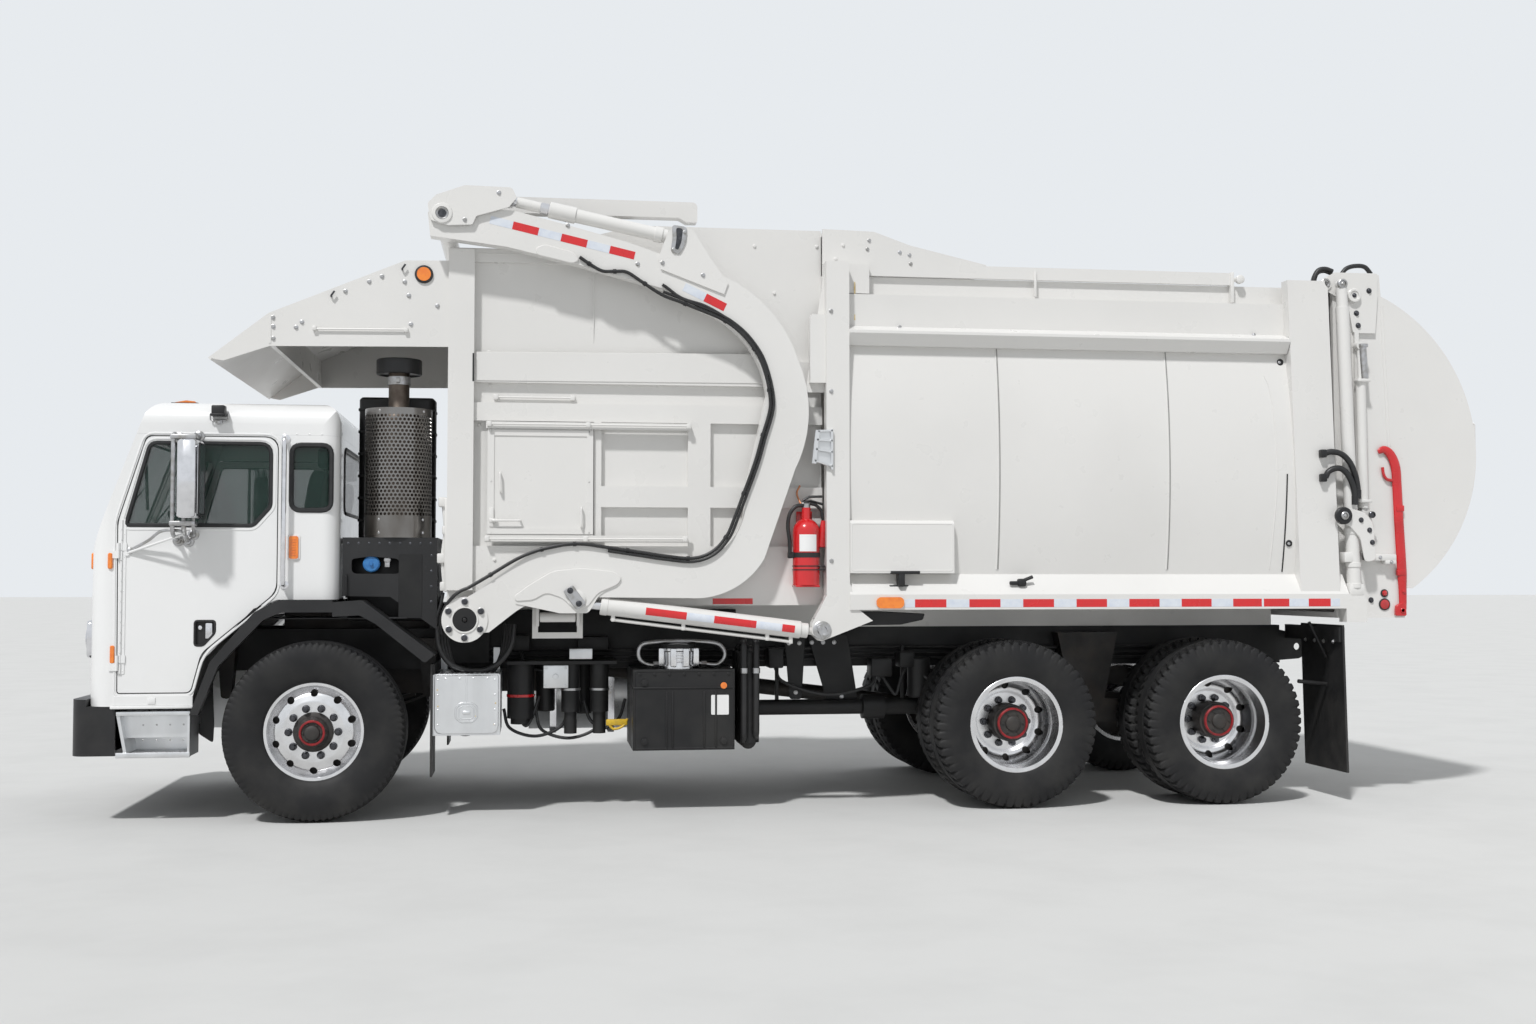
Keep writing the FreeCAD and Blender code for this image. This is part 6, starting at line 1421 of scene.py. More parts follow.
def addExtinguisher(settings):
    # Valve, levers, pull tag, hose with its horn, bands, blank label and the shelf under the bottle.
    x, y, r = settings["x"], settings["y"], settings["radius"]
    valve = [lathe([(1.84, 0.026), (1.905, 0.026), (1.912, 0.016), (1.912, 0)], (x, y, 0), upwards, 16),
        roundBox((x - 0.03, y - 0.014, 1.885), (x + 0.024, y + 0.014, 1.912), 0.006)]
    addPiece("extinguisher_valve", valve, "zincPlate")
    bars = (((-0.025, 1.912), (0.03, 1.922), (0.105, 1.902)), ((-0.02, 1.925), (0.02, 1.948), (0.1, 1.95)))
    levers = [tube([(x + shift, y, z) for shift, z in bar], 0.008, 8, flat=1.5) for bar in bars]
    levers.append(hose([(x + 0.02, y - 0.01, 1.905), (x + 0.06, y - 0.012, 1.895),
        (x + 0.092, y - 0.014, 1.86), (x + 0.1, y - 0.014, 1.81)], 0.01))
    addPiece("extinguisher_levers", levers, "mouldedBlackAndShade")
    line = hose([(x - 0.02, y - 0.01, 1.895), (x - 0.07, y - 0.02, 1.885), (x - 0.108, y - 0.025, 1.835),
        (x - 0.118, y - 0.025, 1.76), (x - 0.108, y - 0.025, 1.68), (x - 0.106, y - 0.025, 1.6)], 0.0125)
    addPiece("extinguisher_hose", line, "hoseRubber")
    horn = lathe([(0, 0.012), (0.02, 0.016), (0.16, 0.027), (0.165, 0.024), (0.15, 0.018), (0.15, 0)],
        (x + 0.105, y - 0.012, 1.8), (-0.08, 0, -1), 16)
    addPiece("extinguisher_horn", horn, "redEnamel")
    bands = [band(x, y, z - tall / 2, z + tall / 2, r - 0.001, r + 0.003, 40)
        for z, tall in ((1.586, 0.03), (1.518, 0.006), (1.495, 0.006))]
    bands.append(roundBox((x - 0.115, y - 0.03, 1.566), (x - 0.078, y + 0.02, 1.606), 0.006))
    bands += [bentBar([(x + 0.06, y - 0.062, z), (x + 0.112, y - 0.05, z), (x + 0.112, y + 0.05, z)], 0.02,
        0.004, 6) for z in (1.518, 1.495)]
    addPiece("extinguisher_bands", bands, "gasketAndSlitShade")
    arc = np.radians(np.linspace(-128, -52, 14))
    turn, radii = np.concatenate([arc, arc[::-1]]), np.repeat([r + 0.0016, r + 0.0002], 14)
    label = gridPart(np.stack([np.stack([x + radii * np.cos(turn), y + radii * np.sin(turn),
        np.full(28, z)], -1) for z in (1.608, 1.712)]), closeColumns=True, caps=True)
    addPiece("extinguisher_label", label, "cabPaint")
    tag = tube(smoothPath([(x - 0.03, y + 0.02, 1.9), (x - 0.05, y + 0.05, 1.97),
        (x - 0.03, y + 0.055, 2.02)], 16), 0.006, 6, flat=1.6)
    addPiece("extinguisher_pull", tag, "copperTone")
    shelf = roundBox((x - 0.075, y - 0.07, 1.388), (x + 0.075, -1.08, 1.4), 0.004)
    back = roundBox((x - 0.05, -1.098, 1.4), (x + 0.05, -1.08, 1.86), 0.004)
    addPiece("extinguisher_shelf", [shelf, back], "redEnamel")


addBodyTape(bodyTape)
addBodySeams()
addLatches()
addFoldStep()
addExtinguisher(extinguisherPlace)
print("body made")


# Tailgate: pins, hoses, clips, lamps, the locking plate and the prop

tailGear = "tailgate_gear tail_rods tail_barrels tailgate_shell body_frame"


def pinHead(x, y, z, radius, depth=0.014):
    # A turned pin end with a raised rim round its hollow.
    return lathe([(-0.004, radius), (depth, radius), (depth + 0.003, radius - 0.004),
        (depth + 0.003, 0.66 * radius), (depth - 0.004, 0.6 * radius), (depth - 0.004, 0)], (x, y, z),
        outwards, 28)


def addTailGear():
    places = onSkin(tailGear, [(6.615, 3.18), (6.626, 3.099), (6.705, 3.33), (6.7, 1.3)])
    bothSides("tail_bolts", bolts(places, 0.026, 0.014), "darkNut", "tailgate")
    rings, dots = [], []
    for x, z, r, depth in ((6.398, 3.371, 0.032, 0.004), (6.479, 3.357, 0.032, 0.014),
            (6.591, 3.294, 0.046, 0.014)):
        y = skinLevel(tailGear, x, z)
        rings.append(pinHead(x, y, z, r, depth))
        dots.append((x, y - 0.01, z))
    bothSides("tail_pins", rings[0], "zincPlate", "tailgate")
    bothSides("tail_rod_pins", [rings[1], bolts(dots[1:2], 0.022, 0.01)], "zincPlate", "tail_rods")
    bothSides("tail_boss", rings[2], "bodyPaint", "tailgate")
    bothSides("tail_pin_bolts", bolts(dots[2:], 0.022, 0.01), "darkNut", "tailgate")
    # locking plate in front of the long cylinder, with its roller and bolts
    form = rounded([(6.405, 1.89), (6.48, 1.898), (6.596, 1.866), (6.65, 1.8), (6.668, 1.56), (6.59, 1.545),
        (6.562, 1.7), (6.478, 1.79), (6.405, 1.8)], 0.03)
    bothSides("lock_plate", plate(form, "side", -1.262, -1.274, 0.003), "bodyPaint", "tailgate")
    bothSides("lock_bolts", bolts([(x, -1.274, z)
        for x, z in ((6.566, 1.818), (6.623, 1.753), (6.641, 1.674))], 0.024, 0.012), "darkNut", "tailgate")
    x, z = 6.44, 1.845
    roller = lathe([(0, 0.056), (0.022, 0.056), (0.028, 0.05), (0.028, 0)], (x, -1.272, z), outwards, 32)
    bothSides("lock_roller", roller, "mouldedBlackAndShade", "tailgate")
    bothSides("lock_roller_pin", [pinHead(x, -1.3, z, 0.026, 0.008), bolts([(x, -1.304, z)], 0.02, 0.008)],
        "zincPlate", "tailgate")
    bothSides("prop_pivot", pinHead(6.661, -1.236, 1.854, 0.022, 0.01), "darkNut", "tailgate")


def addTailCylinders():
    # The long cylinder's painted sleeve, its collars, the prop's rest, and the lock's clamps and rod.
    barrel = collar("tail", 0.448, 1.88, 0.0355, 0.0425)
    bothSides("tail_sleeve", barrel, "bodyPaint", "tail_rods")
    rings = [collar("tail", low, high, 0.043, 0.05)
        for low, high in ((0.4, 0.438), (0.185, 0.215), (0.05, 0.08))]
    rings.append(roundBox((6.462, -1.252, 1.545), (6.56, -1.172, 1.612), 0.008))
    rings.append(roundBox((6.494, -1.254, 1.33), (6.596, -1.17, 1.405), 0.01))
    bothSides("tail_collars", rings, "bodyPaint", "tail_barrels")
    rests = [roundBox((6.64, -1.2, 1.556), (6.85, -1.14, 1.6), 0.008),
        roundBox((6.77, -1.205, 1.535), (6.846, -1.14, 1.56), 0.006),
        roundBox((6.64, -1.2, 1.556), (6.668, -1.14, 1.69), 0.008)]
    bothSides("prop_rest", rests, "bodyPaint", "tailgate")
    bothSides("prop_rest_bolts", bolts([(6.735, -1.2, 1.578), (6.81, -1.205, 1.547)], 0.018, 0.008),
        "zincPlate", "tailgate")
    clamps = [roundBox((6.575, -1.246, z - 0.01), (6.662, -1.18, z + 0.01), 0.005) for z in (2.73, 1.943)]
    bothSides("lock_clamps", clamps, "bodyPaint", "tailgate")
    rod = collar("lock", 0.02, 0.23, 0.012, 0.024)
    end = roundBox((6.598, -1.24, 2.946), (6.652, -1.184, 2.97), 0.005)
    bothSides("lock_rod", [rod, end], "zincPlate", "tailgate")


def addTailHoses():
    level = -1.262
    first = [(6.322, level, 2.246), (6.375, level - 0.004, 2.258), (6.44, level - 0.008, 2.243),
        (6.495, level - 0.01, 2.19), (6.53, level - 0.01, 2.11), (6.548, level - 0.006, 2.03),
        (6.55, level - 0.004, 1.985)]
    second = [(6.332, level, 2.092), (6.35, level - 0.004, 2.128), (6.392, level - 0.008, 2.15),
        (6.44, level - 0.01, 2.146), (6.488, level - 0.01, 2.1), (6.52, level - 0.01, 2.02),
        (6.53, level - 0.006, 1.95)]
    bothSides("tail_hoses", [hose(first, 0.019, 12), hose(second, 0.019, 12)], "hoseRubber")
    fittings = [roundBox((6.296, -1.238, z - 0.026), (6.336, level - 0.022, z + 0.026), 0.008)
        for z in (2.246, 2.09)]
    fittings += [lathe([(-0.028, 0.022), (0.028, 0.022), (0.03, 0.014), (0.03, 0)], (x, level - 0.005, z),
        upwards, 14) for x, z in ((6.55, 1.985), (6.53, 1.945))]
    bothSides("tail_hose_ends", fittings, "mouldedBlackAndShade")
    top = [(6.35, -1.1, 3.3), (6.352, -1.1, 3.4), (6.38, -1.1, 3.462), (6.43, -1.1, 3.478),
        (6.482, -1.1, 3.463)]
    arch = [(6.56, -1.06, 3.445), (6.6, -1.06, 3.492), (6.66, -1.06, 3.512), (6.73, -1.06, 3.508),
        (6.775, -1.06, 3.462)]
    pair = joined([hose(top, 0.017, 12), hose([(x + 0.02, y + 0.05, z) for x, y, z in top], 0.017, 12)])
    piece = addPiece("tail_top_hoses", [pair, mirrorImage(pair)], "hoseRubber", None)
    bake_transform(piece)
    bothSides("tail_arch_hoses", hose(arch, 0.015, 12), "hoseRubber", "tailgate")


def addTailLamps():
    # Side markers with their rubber rings.
    y = skinLevel("tailgate_shell tailgate_gear", 6.792, 1.3)
    marks, rings = [], []
    for z, r in ((1.345, 0.018), (1.272, 0.031)):
        marks.append(lathe([(0, r), (0.01, r), (0.016, 0.7 * r), (0.018, 0)], (6.792, y, z), outwards, 24))
        rings.append(lathe([(0.001, r + 0.008), (0.006, r + 0.008), (0.008, r), (0.001, r)], (6.792, y, z),
            outwards, 24))
    bothSides("tail_markers", marks, "redLens", "tailgate")
    bothSides("tail_marker_rings", rings, "gasketAndSlitShade", "tailgate")


def addProp():
    # The red prop: a flattened tube bent over at its top, with a small hook, and a flanged foot on its pin.
    y = -1.151
    path = smoothPath([(6.757, y, 2.27), (6.8, y, 2.286), (6.846, y, 2.252), (6.878, y, 2.17),
        (6.886, y, 2.045), (6.896, y, 1.8), (6.908, y, 1.555), (6.914, y, 1.36), (6.914, y, 1.24)], 60)
    reach = np.interp(np.linspace(0, 1, 60), [0, 0.03, 0.2, 0.35, 0.8, 0.84, 1],
        [0.012, 0.018, 0.029, 0.033, 0.034, 0.029, 0.026])
    shaft = tube(path, reach, 14, flat=0.44)
    hook = tube(smoothPath([(6.868, y, 2.08), (6.815, y, 2.092), (6.793, y, 2.125), (6.786, y, 2.17)],
        16), 0.01, 8)
    straps = [roundBox((6.872, y - 0.018, z - 0.02), (6.926, y + 0.012, z + 0.02), 0.005)
        for z in (1.9, 1.48)]
    foot = sidePlate([(6.858, 1.197), (6.862, 1.262), (6.914, 1.29), (6.932, 1.268), (6.934, 1.197)], 0.012,
        -1.137, -1.165, 0.004)
    pin = pinHead(6.905, -1.163, 1.232, 0.018, 0.006)
    bolt = bolts([(6.914, -1.163, 1.357)], 0.02, 0.01)
    piece = addPiece("tail_prop_shaft", [shaft, hook, *straps, foot, pin, bolt], "redEnamel", "tailgate")
    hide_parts("tail_prop")


def addTailSeams():
    # Panel lines of the side wall, grommets, and the handle on the rear edge.
    lines = [tube(onSkin("tailgate_shell", [(6.795 + 0.037 * t + shift, 3.24 - 0.93 * t)
        for t in between(0, 1, 8)]), 0.0035, 6) for shift in (0.0, 0.02)]
    bothSides("gate_seams", lines, "bodyPaint", "tailgate")
    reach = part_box("tailgate_shell")[1].x - axleX
    grip = [bentBar([(reach - 0.03, -1.09, z), (reach + 0.016, -1.09, z), (reach + 0.016, -1.09, 2.355)],
        0.012, 0.009, 8) for z in (2.24, 2.47)]
    bothSides("gate_handle", grip, "bodyPaint", "tailgate")
    dots = onSkin("body_frame body_shell", [(6.078, 2.846), (6.112, 1.668)])
    bothSides("post_grommets", repeated(lathe([(0, 0.022), (0.004, 0.022), (0.006, 0.014), (0.003, 0)],
        (0, 0, 0), outwards, 20), dots), "gasketAndSlitShade")
    # a black line down the rear post: painted shade in its slit
    slitShade = onSkin("body_frame body_shell", [(6.091 - 0.015 * t, 2.115 - 0.63 * t)
        for t in between(0, 1, 10)])
    bothSides("post_slit_rear", tube(slitShade, 0.005, 6), "gasketAndSlitShade")
    wall = [(5.96, 2.752), (5.99, 2.664), (6.012, 2.438), (6.024, 2.116), (6.006, 1.794), (5.987, 1.5)]
    edge = smoothPath(wall, 26)
    bothSides("wall_edge", tube(onSkin("body_frame body_shell", edge), 0.004, 6), "bodyPaint")


addTailGear()
addTailCylinders()
addTailHoses()
addTailLamps()
addProp()
addTailSeams()
print("tailgate made")


# Boxes, tanks and lines under the body

def addBatteryBox():
    low, high = 0.505, 0.857
    face = skinLevel("battery_box", 0.885, 0.7)
    edge = rounded(oblong(0.694, low, 1.076, high), [0.05, 0.05, 0.012, 0.012], 6)
    lid = plate(edge, "side", face + 0.002, face - 0.01, 0.004)
    dots = [(x, face - 0.01, z) for x in (0.715, 1.055) for z in between(0.56, 0.83, 4)]
    dots += [(x, face - 0.01, 0.838) for x in between(0.76, 1.01, 4)]
    heads = rivets(dots, 0.006, 0.003)
    cup = rounded([(0.85, 0.577), (0.92, 0.577), (0.948, 0.602), (0.948, 0.664), (0.92, 0.689),
        (0.85, 0.689), (0.822, 0.664), (0.822, 0.602)], 0.012)
    ring = sideBead(cup, face - 0.01, 0.014, 0.01)
    innerRing = sideBead(shrunk(cup, 0.018), face - 0.01, 0.008, 0.006)
    grip = roundBox((0.862, face - 0.008, 0.622), (0.908, face - 0.02, 0.644), 0.006)
    strap = plate(oblong(0.88, 0.7, 0.89, 0.852), "side", face - 0.009, face - 0.012, 0.001)
    addPiece("battery_lid", [lid, heads, ring, innerRing, grip, strap], "sheetAluminium", sharp=30)
    marks = rivets([(x, face - 0.0105, z) for x, z in ((0.712, 0.77), (0.716, 0.672), (1.058, 0.688),
        (1.052, 0.56), (0.885, 0.812), (0.942, 0.61))], 0.005, 0.001)
    addPiece("battery_marks", marks, "sealant")
    steps = roundBox((0.69, -1.106, 0.857), (1.08, -0.55, 0.866), 0.004)
    dots = rivets([(x, y, 0.866) for x in between(0.72, 1.05, 12) for y in between(-1.08, -0.6, 14)], 0.008,
        0.003, upwards)
    addPiece("battery_top", [steps, dots], "sheetAluminium")


def addFilter():
    # Cast filter on the oil tank, with grey pipes looping to both sides.
    x, y = 2.18, -0.93
    body = lathe([(0.86, 0.07), (0.872, 0.102), (0.9, 0.104), (0.912, 0.098), (0.985, 0.098),
        (0.992, 0.106), (1.012, 0.106), (1.02, 0.098), (1.034, 0.06), (1.04, 0)], (x, y, 0), upwards, 36)
    lugs = [roundBox((x + 0.115 * math.cos(a) - 0.018, y + 0.115 * math.sin(a) - 0.018, 0.895),
        (x + 0.115 * math.cos(a) + 0.018, y + 0.115 * math.sin(a) + 0.018, 1.008), 0.006)
        for a in np.radians([200, 250, 290, 340])]
    ports = [lathe([(0, 0.046), (0.03, 0.046), (0.034, 0.036), (0.034, 0)],
        (x + 0.09 * side, y - 0.01, 0.925), (side, 0, 0), 20) for side in (-1, 1)]
    fins = [roundBox((x - 0.045, y - 0.102, z), (x + 0.045, y - 0.112, z + 0.01), 0.003)
        for z in (0.925, 0.945, 0.965)]
    heads = bolts([(x + 0.082 * math.cos(a), y + 0.082 * math.sin(a), 1.016)
        for a in np.arange(6) * math.pi / 3], 0.014, 0.008, upwards)
    addPiece("filter_body", [body, *lugs, *ports, *fins, heads], "rimAluminium", sharp=40)
    loop = hose([(2.09, -0.945, 0.92), (2.02, -0.945, 0.9), (1.955, -0.945, 0.922), (1.93, -0.945, 0.972),
        (1.948, -0.945, 1.024), (2.01, -0.945, 1.042), (2.2, -0.93, 1.05), (2.39, -0.945, 1.04),
        (2.455, -0.945, 1.01), (2.472, -0.945, 0.955), (2.43, -0.945, 0.905), (2.36, -0.945, 0.905),
        (2.27, -0.945, 0.92)], 0.013, 12)
    ends = [lathe([(-0.016, 0.021), (0.016, 0.021), (0.018, 0.012), (0.018, 0)], (x, -0.945, z), (1, 0, 0),
        6) for x, z in ((2.04, 0.905), (2.34, 0.907))]
    addPiece("filter_pipes", [loop, *ends], "zincPlate")


def addTankDetails():
    # Welded rims, plugs and a sight glass on the oil tank, and the fittings on the valve shelf.
    face = skinLevel("hydraulic_tank", 2.2, 0.6)
    rim = sideBead(rounded(oblong(1.9, 0.395, 2.508, 0.87), 0.012), face, 0.012, 0.006)
    plugs = [lathe([(0, 0.022), (0.012, 0.022), (0.014, 0.014), (0.014, 0)], (x, face, z), outwards, 6)
        for x, z in ((1.96, 0.44), (2.45, 0.44), (1.96, 0.8))]
    heads = bolts([(x, face, 0.852) for x in between(1.93, 2.48, 7)], 0.016, 0.008)
    ribs = [roundBox((x - 0.006, face + 0.002, 0.4), (x + 0.006, face - 0.006, 0.745), 0.003)
        for x in (2.098, 2.134, 2.329, 2.402)]
    lid = roundBox((1.888, -1.086, 0.762), (2.52, -0.6, 0.774), 0.004)
    addPiece("tank_trim", [rim, *plugs, heads, *ribs, lid], "chassisPaint")
    glass = lathe([(0, 0.02), (0.006, 0.02), (0.008, 0.014), (0.004, 0)], (2.45, face, 0.78), outwards, 20)
    label = sidePlate(oblong(2.372, 0.6, 2.482, 0.722), 0.008, face + 0.001, face - 0.002, 0.0008)
    addPiece("tank_plate", label, "cabPaint")
    addPiece("sight_glass", glass, "amberLens")
    box = roundBox((1.345, -0.862, 0.758), (1.5, -0.846, 0.9), 0.006)
    nuts = bolts([(x, -0.862, z) for x in (1.362, 1.483) for z in (0.775, 0.884)], 0.014, 0.008)
    knob = lathe([(0, 0.018), (0.02, 0.016), (0.02, 0)], (1.42, -0.862, 0.83), outwards, 14)
    plateTop = roundBox((1.505, -0.868, 0.938), (1.648, -0.858, 1.003), 0.004)
    addPiece("valve_cover", [box, nuts, knob, plateTop], "sheetAluminium")
    addPiece("dryer_band", band(1.205, -0.74, 0.7, 0.716, 0.083, 0.088), "redEnamel")
    bands = [band(x, -0.78, 0.74, 0.754, 0.057, 0.062, 28) for x in (1.515, 1.695)]
    addPiece("can_bands", bands, "zincPlate")
    tag = [roundBox((1.735, -0.845, 0.52), (1.87, -0.825, 0.56), 0.008),
        tube(smoothPath([(1.74, -0.83, 0.55), (1.78, -0.84, 0.5), (1.84, -0.84, 0.515),
        (1.87, -0.83, 0.56)], 20), 0.008, 8)]
    addPiece("yellow_tag", tag, "yellowPlastic")


def addLines():
    # Brake and oil lines clipped along the frame, loops under the arm's hub, and cables below the boxes.
    level = -0.47
    lines = [tube(smoothPath([(0.8, level, z), (2.4, level - 0.004, z - 0.012), (3.4, level, z),
        (4.6, level - 0.003, z - 0.006), (5.9, level, z)], 60), r, 8)
        for z, r in ((0.985, 0.012), (0.945, 0.008), (0.915, 0.008))]
    addPiece("frame_lines", lines, "hoseRubber")
    # the outermost loop, and how each further one is drawn in
    outer = np.array([(0.7, -0.99, 1.15), (0.716, -0.995, 1.02), (0.776, -0.995, 0.925),
        (0.88, -0.99, 0.882), (1.0, -0.985, 0.884), (1.095, -0.98, 0.945), (1.15, -0.975, 1.04),
        (1.165, -0.96, 1.16)])
    drawn = np.array([(0.6, 1, 0), (0.5, 1, 0), (0.3, 1, -0.35), (0, 1, -0.35), (0, 1, -0.35),
        (-0.3, 1, -0.3), (-0.5, 1, 0), (-0.6, 1, 0)])
    loops = [hose(outer + 0.03 * k * drawn, 0.016, 12) for k in range(4)]
    addPiece("hub_hoses", loops, "hoseRubber")
    cables = []
    for x0, x1, low in ((0.72, 1.02, 0.47), (1.1, 1.5, 0.455), (1.3, 1.72, 0.44), (1.6, 1.86, 0.5),
            (1.16, 1.32, 0.52)):
        cables.append(hose([(x0, -0.74, low + 0.17), (x0 + 0.04, -0.76, low + 0.05),
            ((x0 + x1) / 2, -0.78, low), (x1 - 0.04, -0.76, low + 0.06), (x1, -0.74, low + 0.18)], 0.01))
    addPiece("box_cables", cables, "hoseRubber")
    bands = [band(2.618, y, low, low + 0.024, 0.0675, 0.0715, 32) for y in (-0.96, -0.82, -0.68)
        for low in (0.52, 0.84)]
    addPiece("tank_bands", bands, "chassisPaint")
    pipes = [bentBar([(x, -0.98, 1.07), (x, -1.045, 1.04), (x, -1.045, low + 0.03), (x, -1.0, low)], 0.02,
        0.02, 12) for x, low in ((2.581, 0.43), (2.658, 0.45))]
    addPiece("tank_pipes", pipes, "mouldedBlackAndShade")
    clamps = [lathe([(-0.016, 0.0245), (0.016, 0.0245), (0.017, 0.018), (-0.016, 0.018)],
        (x, -1.045, 0.868), upwards, 16) for x in (2.581, 2.658)]
    addPiece("tank_pipe_clamps", clamps, "zincPlate")


def addFrameParts():
    # What fills the space under the body: a pipe with its coupling, hanging brackets, valves, cans and the
    # lines between them.
    pipe = lathe([(2.72, 0), (2.72, 0.05), (3.42, 0.05), (3.425, 0.08), (3.57, 0.08), (3.575, 0.055),
        (3.98, 0.05), (3.98, 0)], (0, -0.55, 0.6), (1, 0, 0), 28)
    straps = [roundBox((x - 0.012, -0.56, 0.6), (x + 0.012, -0.54, 1.0), 0.004) for x in (2.86, 3.7)]
    hang = sidePlate([(3.07, 1.07), (3.34, 1.07), (3.41, 0.62), (3.205, 0.62)], 0.02, -0.5, -0.512, 0.003)
    low = sidePlate([(2.9, 1.07), (3.04, 1.07), (3.016, 0.655), (2.936, 0.655)], 0.02, -0.6, -0.612, 0.003)
    valves = [roundBox((x, -0.66, z), (x + w, -0.5, z + h), 0.012)
        for x, z, w, h in ((2.79, 0.86, 0.1, 0.13), (3.47, 0.8, 0.14, 0.12), (3.66, 0.86, 0.1, 0.1),
        (1.1, 0.98, 0.16, 0.1), (1.56, 0.98, 0.2, 0.09))]
    cans = [lathe([(z0, 0), (z0, r - 0.008), (z0 + 0.008, r), (z1 - 0.008, r), (z1, r - 0.008), (z1, 0)],
        (x, y, 0), upwards, 24) for x, y, r, z0, z1 in ((3.8, -0.6, 0.075, 0.66, 0.92),
        (1.36, -0.62, 0.06, 0.6, 0.9), (1.6, -0.6, 0.055, 0.58, 0.9))]
    wall = roundBox((0.84, -0.47, 0.86), (2.6, -0.44, 1.24), 0.006)
    addPiece("frame_parts", [pipe, *straps, hang, low, *valves, *cans, wall], "chassisPaint")
    heads = [(3.1 + 0.075 * k, -0.512, 1.02) for k in range(3)]
    heads += [(2.93, -0.612, 1.02), (3.0, -0.612, 1.02), (2.976, -0.612, 0.7), (3.3, -0.512, 0.66)]
    addPiece("frame_part_bolts", bolts(heads, 0.02, 0.01), "zincPlate")
    curls = [hose([(x0, -0.62, z0), (x0 + 0.05, -0.66, z0 - 0.09),
        ((x0 + x1) / 2, -0.68, min(z0, z1) - 0.13), (x1 - 0.05, -0.66, z1 - 0.08), (x1, -0.62, z1)], 0.011)
        for x0, z0, x1, z1 in ((2.84, 0.86, 3.5, 0.82), (3.54, 0.82, 3.72, 0.88), (3.76, 0.9, 4.05, 0.95),
        (1.2, 0.98, 1.62, 0.98))]
    addPiece("frame_part_hoses", curls, "hoseRubber")


def addFuelTank():
    # Straps and filler cap on the right-hand tank.
    parts = []
    for x in (1.42, 1.825, 2.23):
        outline = rounded(oblong(0.428, 0.356, 1.104, 0.964), 0.06, 6)
        inner = shrunk(outline, 0.006)
        rows = [onPlane(ring, "front", level) for ring, level in ((inner, x - 0.022), (outline, x - 0.022),
            (outline, x + 0.022), (inner, x + 0.022))]
        parts.append(gridPart(np.stack(rows, 0), closeRows=True, closeColumns=True))
    cap = lathe([(0.955, 0.05), (0.985, 0.05), (0.99, 0.044), (0.99, 0.016), (1.0, 0.012), (1.0, 0)],
        (1.6, 0.98, 0), upwards, 28)
    addPiece("fuel_straps", [*parts, cap], "polishedSteel")


def addFlapBars():
    # Bolts through the rear mudflap's bar, and the two struts that hold it.
    rows = [bolts([(x, y, 1.03) for y in between(-1.12, -0.74, 4)], 0.02, 0.01, (facing, 0, 0))
        for x, facing in ((6.44, -1), (6.49, 1))]
    bothSides("flap_bolts", rows, "zincPlate")
    braces = [tube(between(start, end, 3), r, 10)
        for start, end, r in (((6.254, -1.0, 0.768), (6.452, -1.0, 0.747), 0.013),
        ((6.336, -1.0, 1.155), (6.456, -1.0, 0.924), 0.01))]
    bothSides("flap_braces", braces, "mouldedBlackAndShade")


addBatteryBox()
addFilter()
addTankDetails()
addLines()
addFrameParts()
addFuelTank()
addFlapBars()
print("underside made")


# Camera and studio

camera = dict(lens=38.13, place=(-1.734, -11.1215, 1.4428), turn=8.115, lift=2.331)


def addCamera(settings):
    data = bpy.data.cameras.new("camera")
    data.sensor_width = 36
    data.lens = settings["lens"]
    data.clip_end = 400
    eye = bpy.data.objects.new("camera", data)
    eye.location = settings["place"]
    eye.rotation_euler = (rad(90 + settings["lift"]), 0, rad(-settings["turn"]))
    bpy.context.scene.collection.objects.link(eye)
    bpy.context.scene.camera = eye


studio = dict(floorSize=240, floorTone=(0.62, 0.62, 0.61), backTone=(0.8, 0.83, 0.86), skyStrength=0.46,
    keyStrength=2.6, keyFrom=(-0.38, -0.62, 0.95), keySpread=4, fillStrength=0.35, fillFrom=(0.8, 0.7, 0.5))


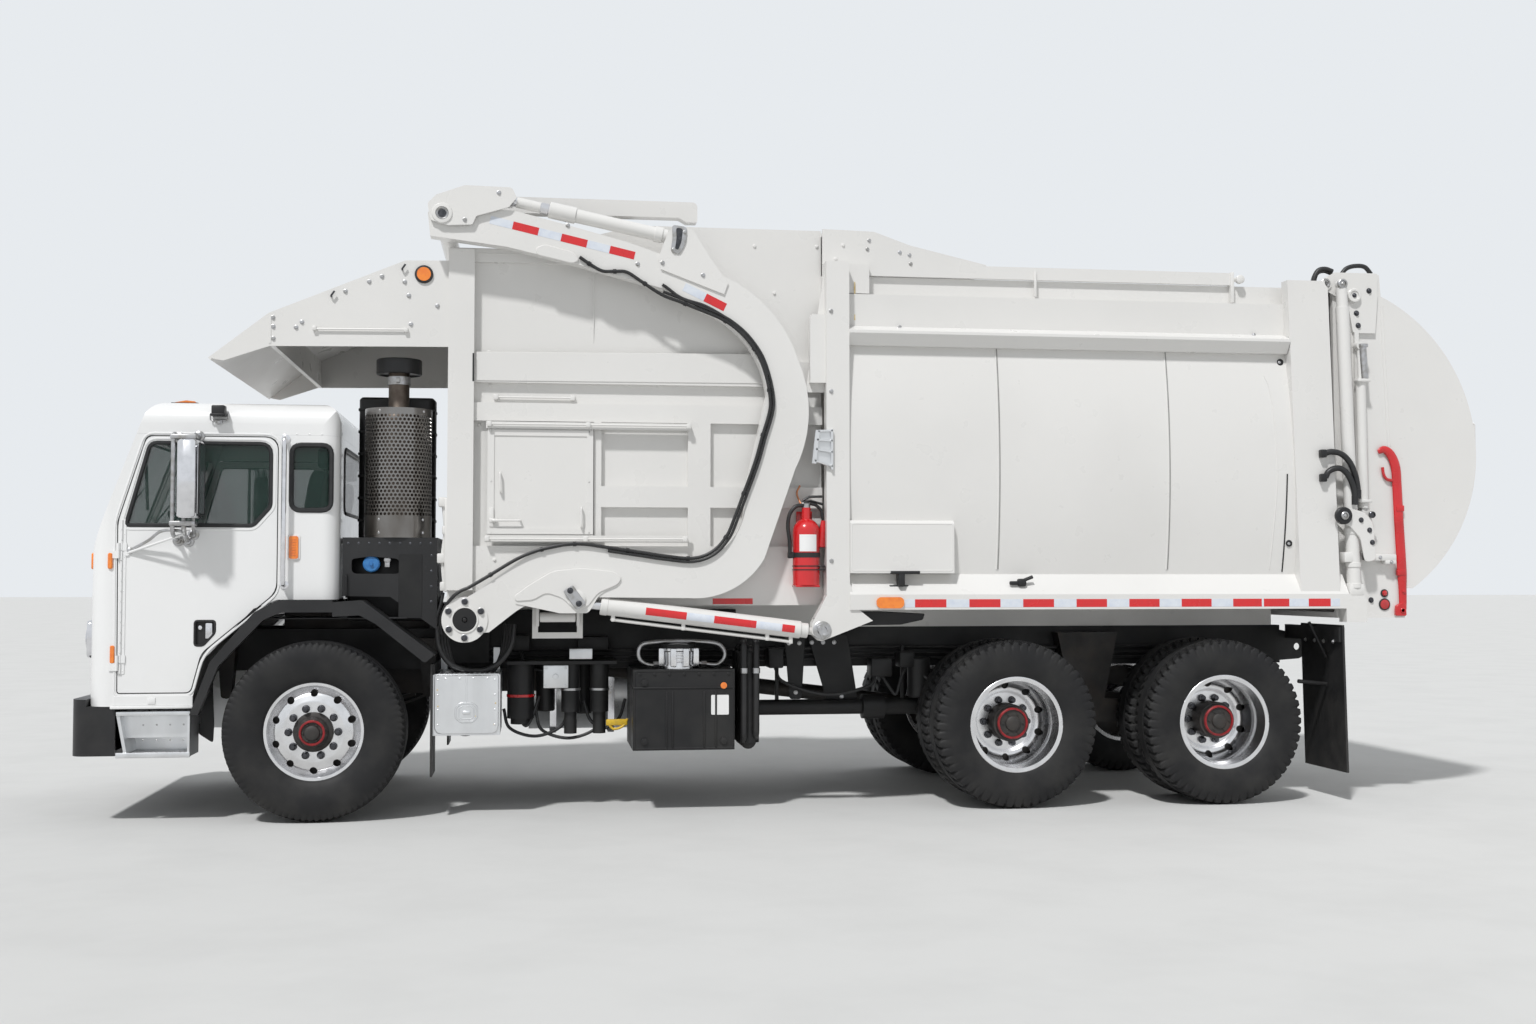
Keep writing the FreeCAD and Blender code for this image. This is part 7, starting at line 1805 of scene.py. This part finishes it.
def addSun(name, strength, direction, spread):
    data = bpy.data.lights.new(name, "SUN")
    data.energy = strength
    data.angle = rad(spread)
    lamp = bpy.data.objects.new(name, data)
    low = np.asarray(direction, float)
    flat = math.hypot(low[0], low[1])
    lamp.rotation_euler = (math.atan2(flat, low[2]), 0, math.atan2(low[0], -low[1]))
    bpy.context.scene.collection.objects.link(lamp)


def addStudio(settings):
    half = settings["floorSize"] / 2
    mesh = bpy.data.meshes.new("floor")
    mesh.from_pydata([(-half, -half, 0), (half, -half, 0), (half, half, 0), (-half, half, 0)], [],
        [(0, 1, 2, 3)])
    floor = bpy.data.objects.new("floor", mesh)
    bpy.context.scene.collection.objects.link(floor)
    tone = settings["floorTone"]
    mesh.materials.append(newLook("floorTone", dict(colour=tone, worn=tuple(0.96 * c for c in tone),
        patchScale=1.5, rough=(0.8, 0.95), bump=0.0, bumpScale=40.0)))
    world = bpy.data.worlds.new("studio")
    bpy.context.scene.world = world
    world.use_nodes = True
    tree = world.node_tree
    light = tree.nodes["Background"]
    light.inputs["Color"].default_value = (0.95, 0.975, 1.0, 1)
    light.inputs["Strength"].default_value = settings["skyStrength"]
    seen = tree.nodes.new("ShaderNodeBackground")
    seen.inputs["Color"].default_value = (*settings["backTone"], 1)
    seen.inputs["Strength"].default_value = 1.0
    path = tree.nodes.new("ShaderNodeLightPath")
    rays = path.outputs["Is Camera Ray"]
    for name in ("Is Glossy Ray", "Is Transmission Ray"):
        either = tree.nodes.new("ShaderNodeMath")
        either.operation = "MAXIMUM"
        tree.links.new(rays, either.inputs[0])
        tree.links.new(path.outputs[name], either.inputs[1])
        rays = either.outputs[0]
    mix = tree.nodes.new("ShaderNodeMixShader")
    tree.links.new(rays, mix.inputs[0])
    tree.links.new(light.outputs[0], mix.inputs[1])
    tree.links.new(seen.outputs[0], mix.inputs[2])
    tree.links.new(mix.outputs[0], tree.nodes["World Output"].inputs["Surface"])
    addSun("key", settings["keyStrength"], settings["keyFrom"], settings["keySpread"])
    addSun("fill", settings["fillStrength"], settings["fillFrom"], 40)


addCamera(camera)
addStudio(studio)
bpy.context.scene.view_settings.view_transform = "Standard"
print("camera and studio set")
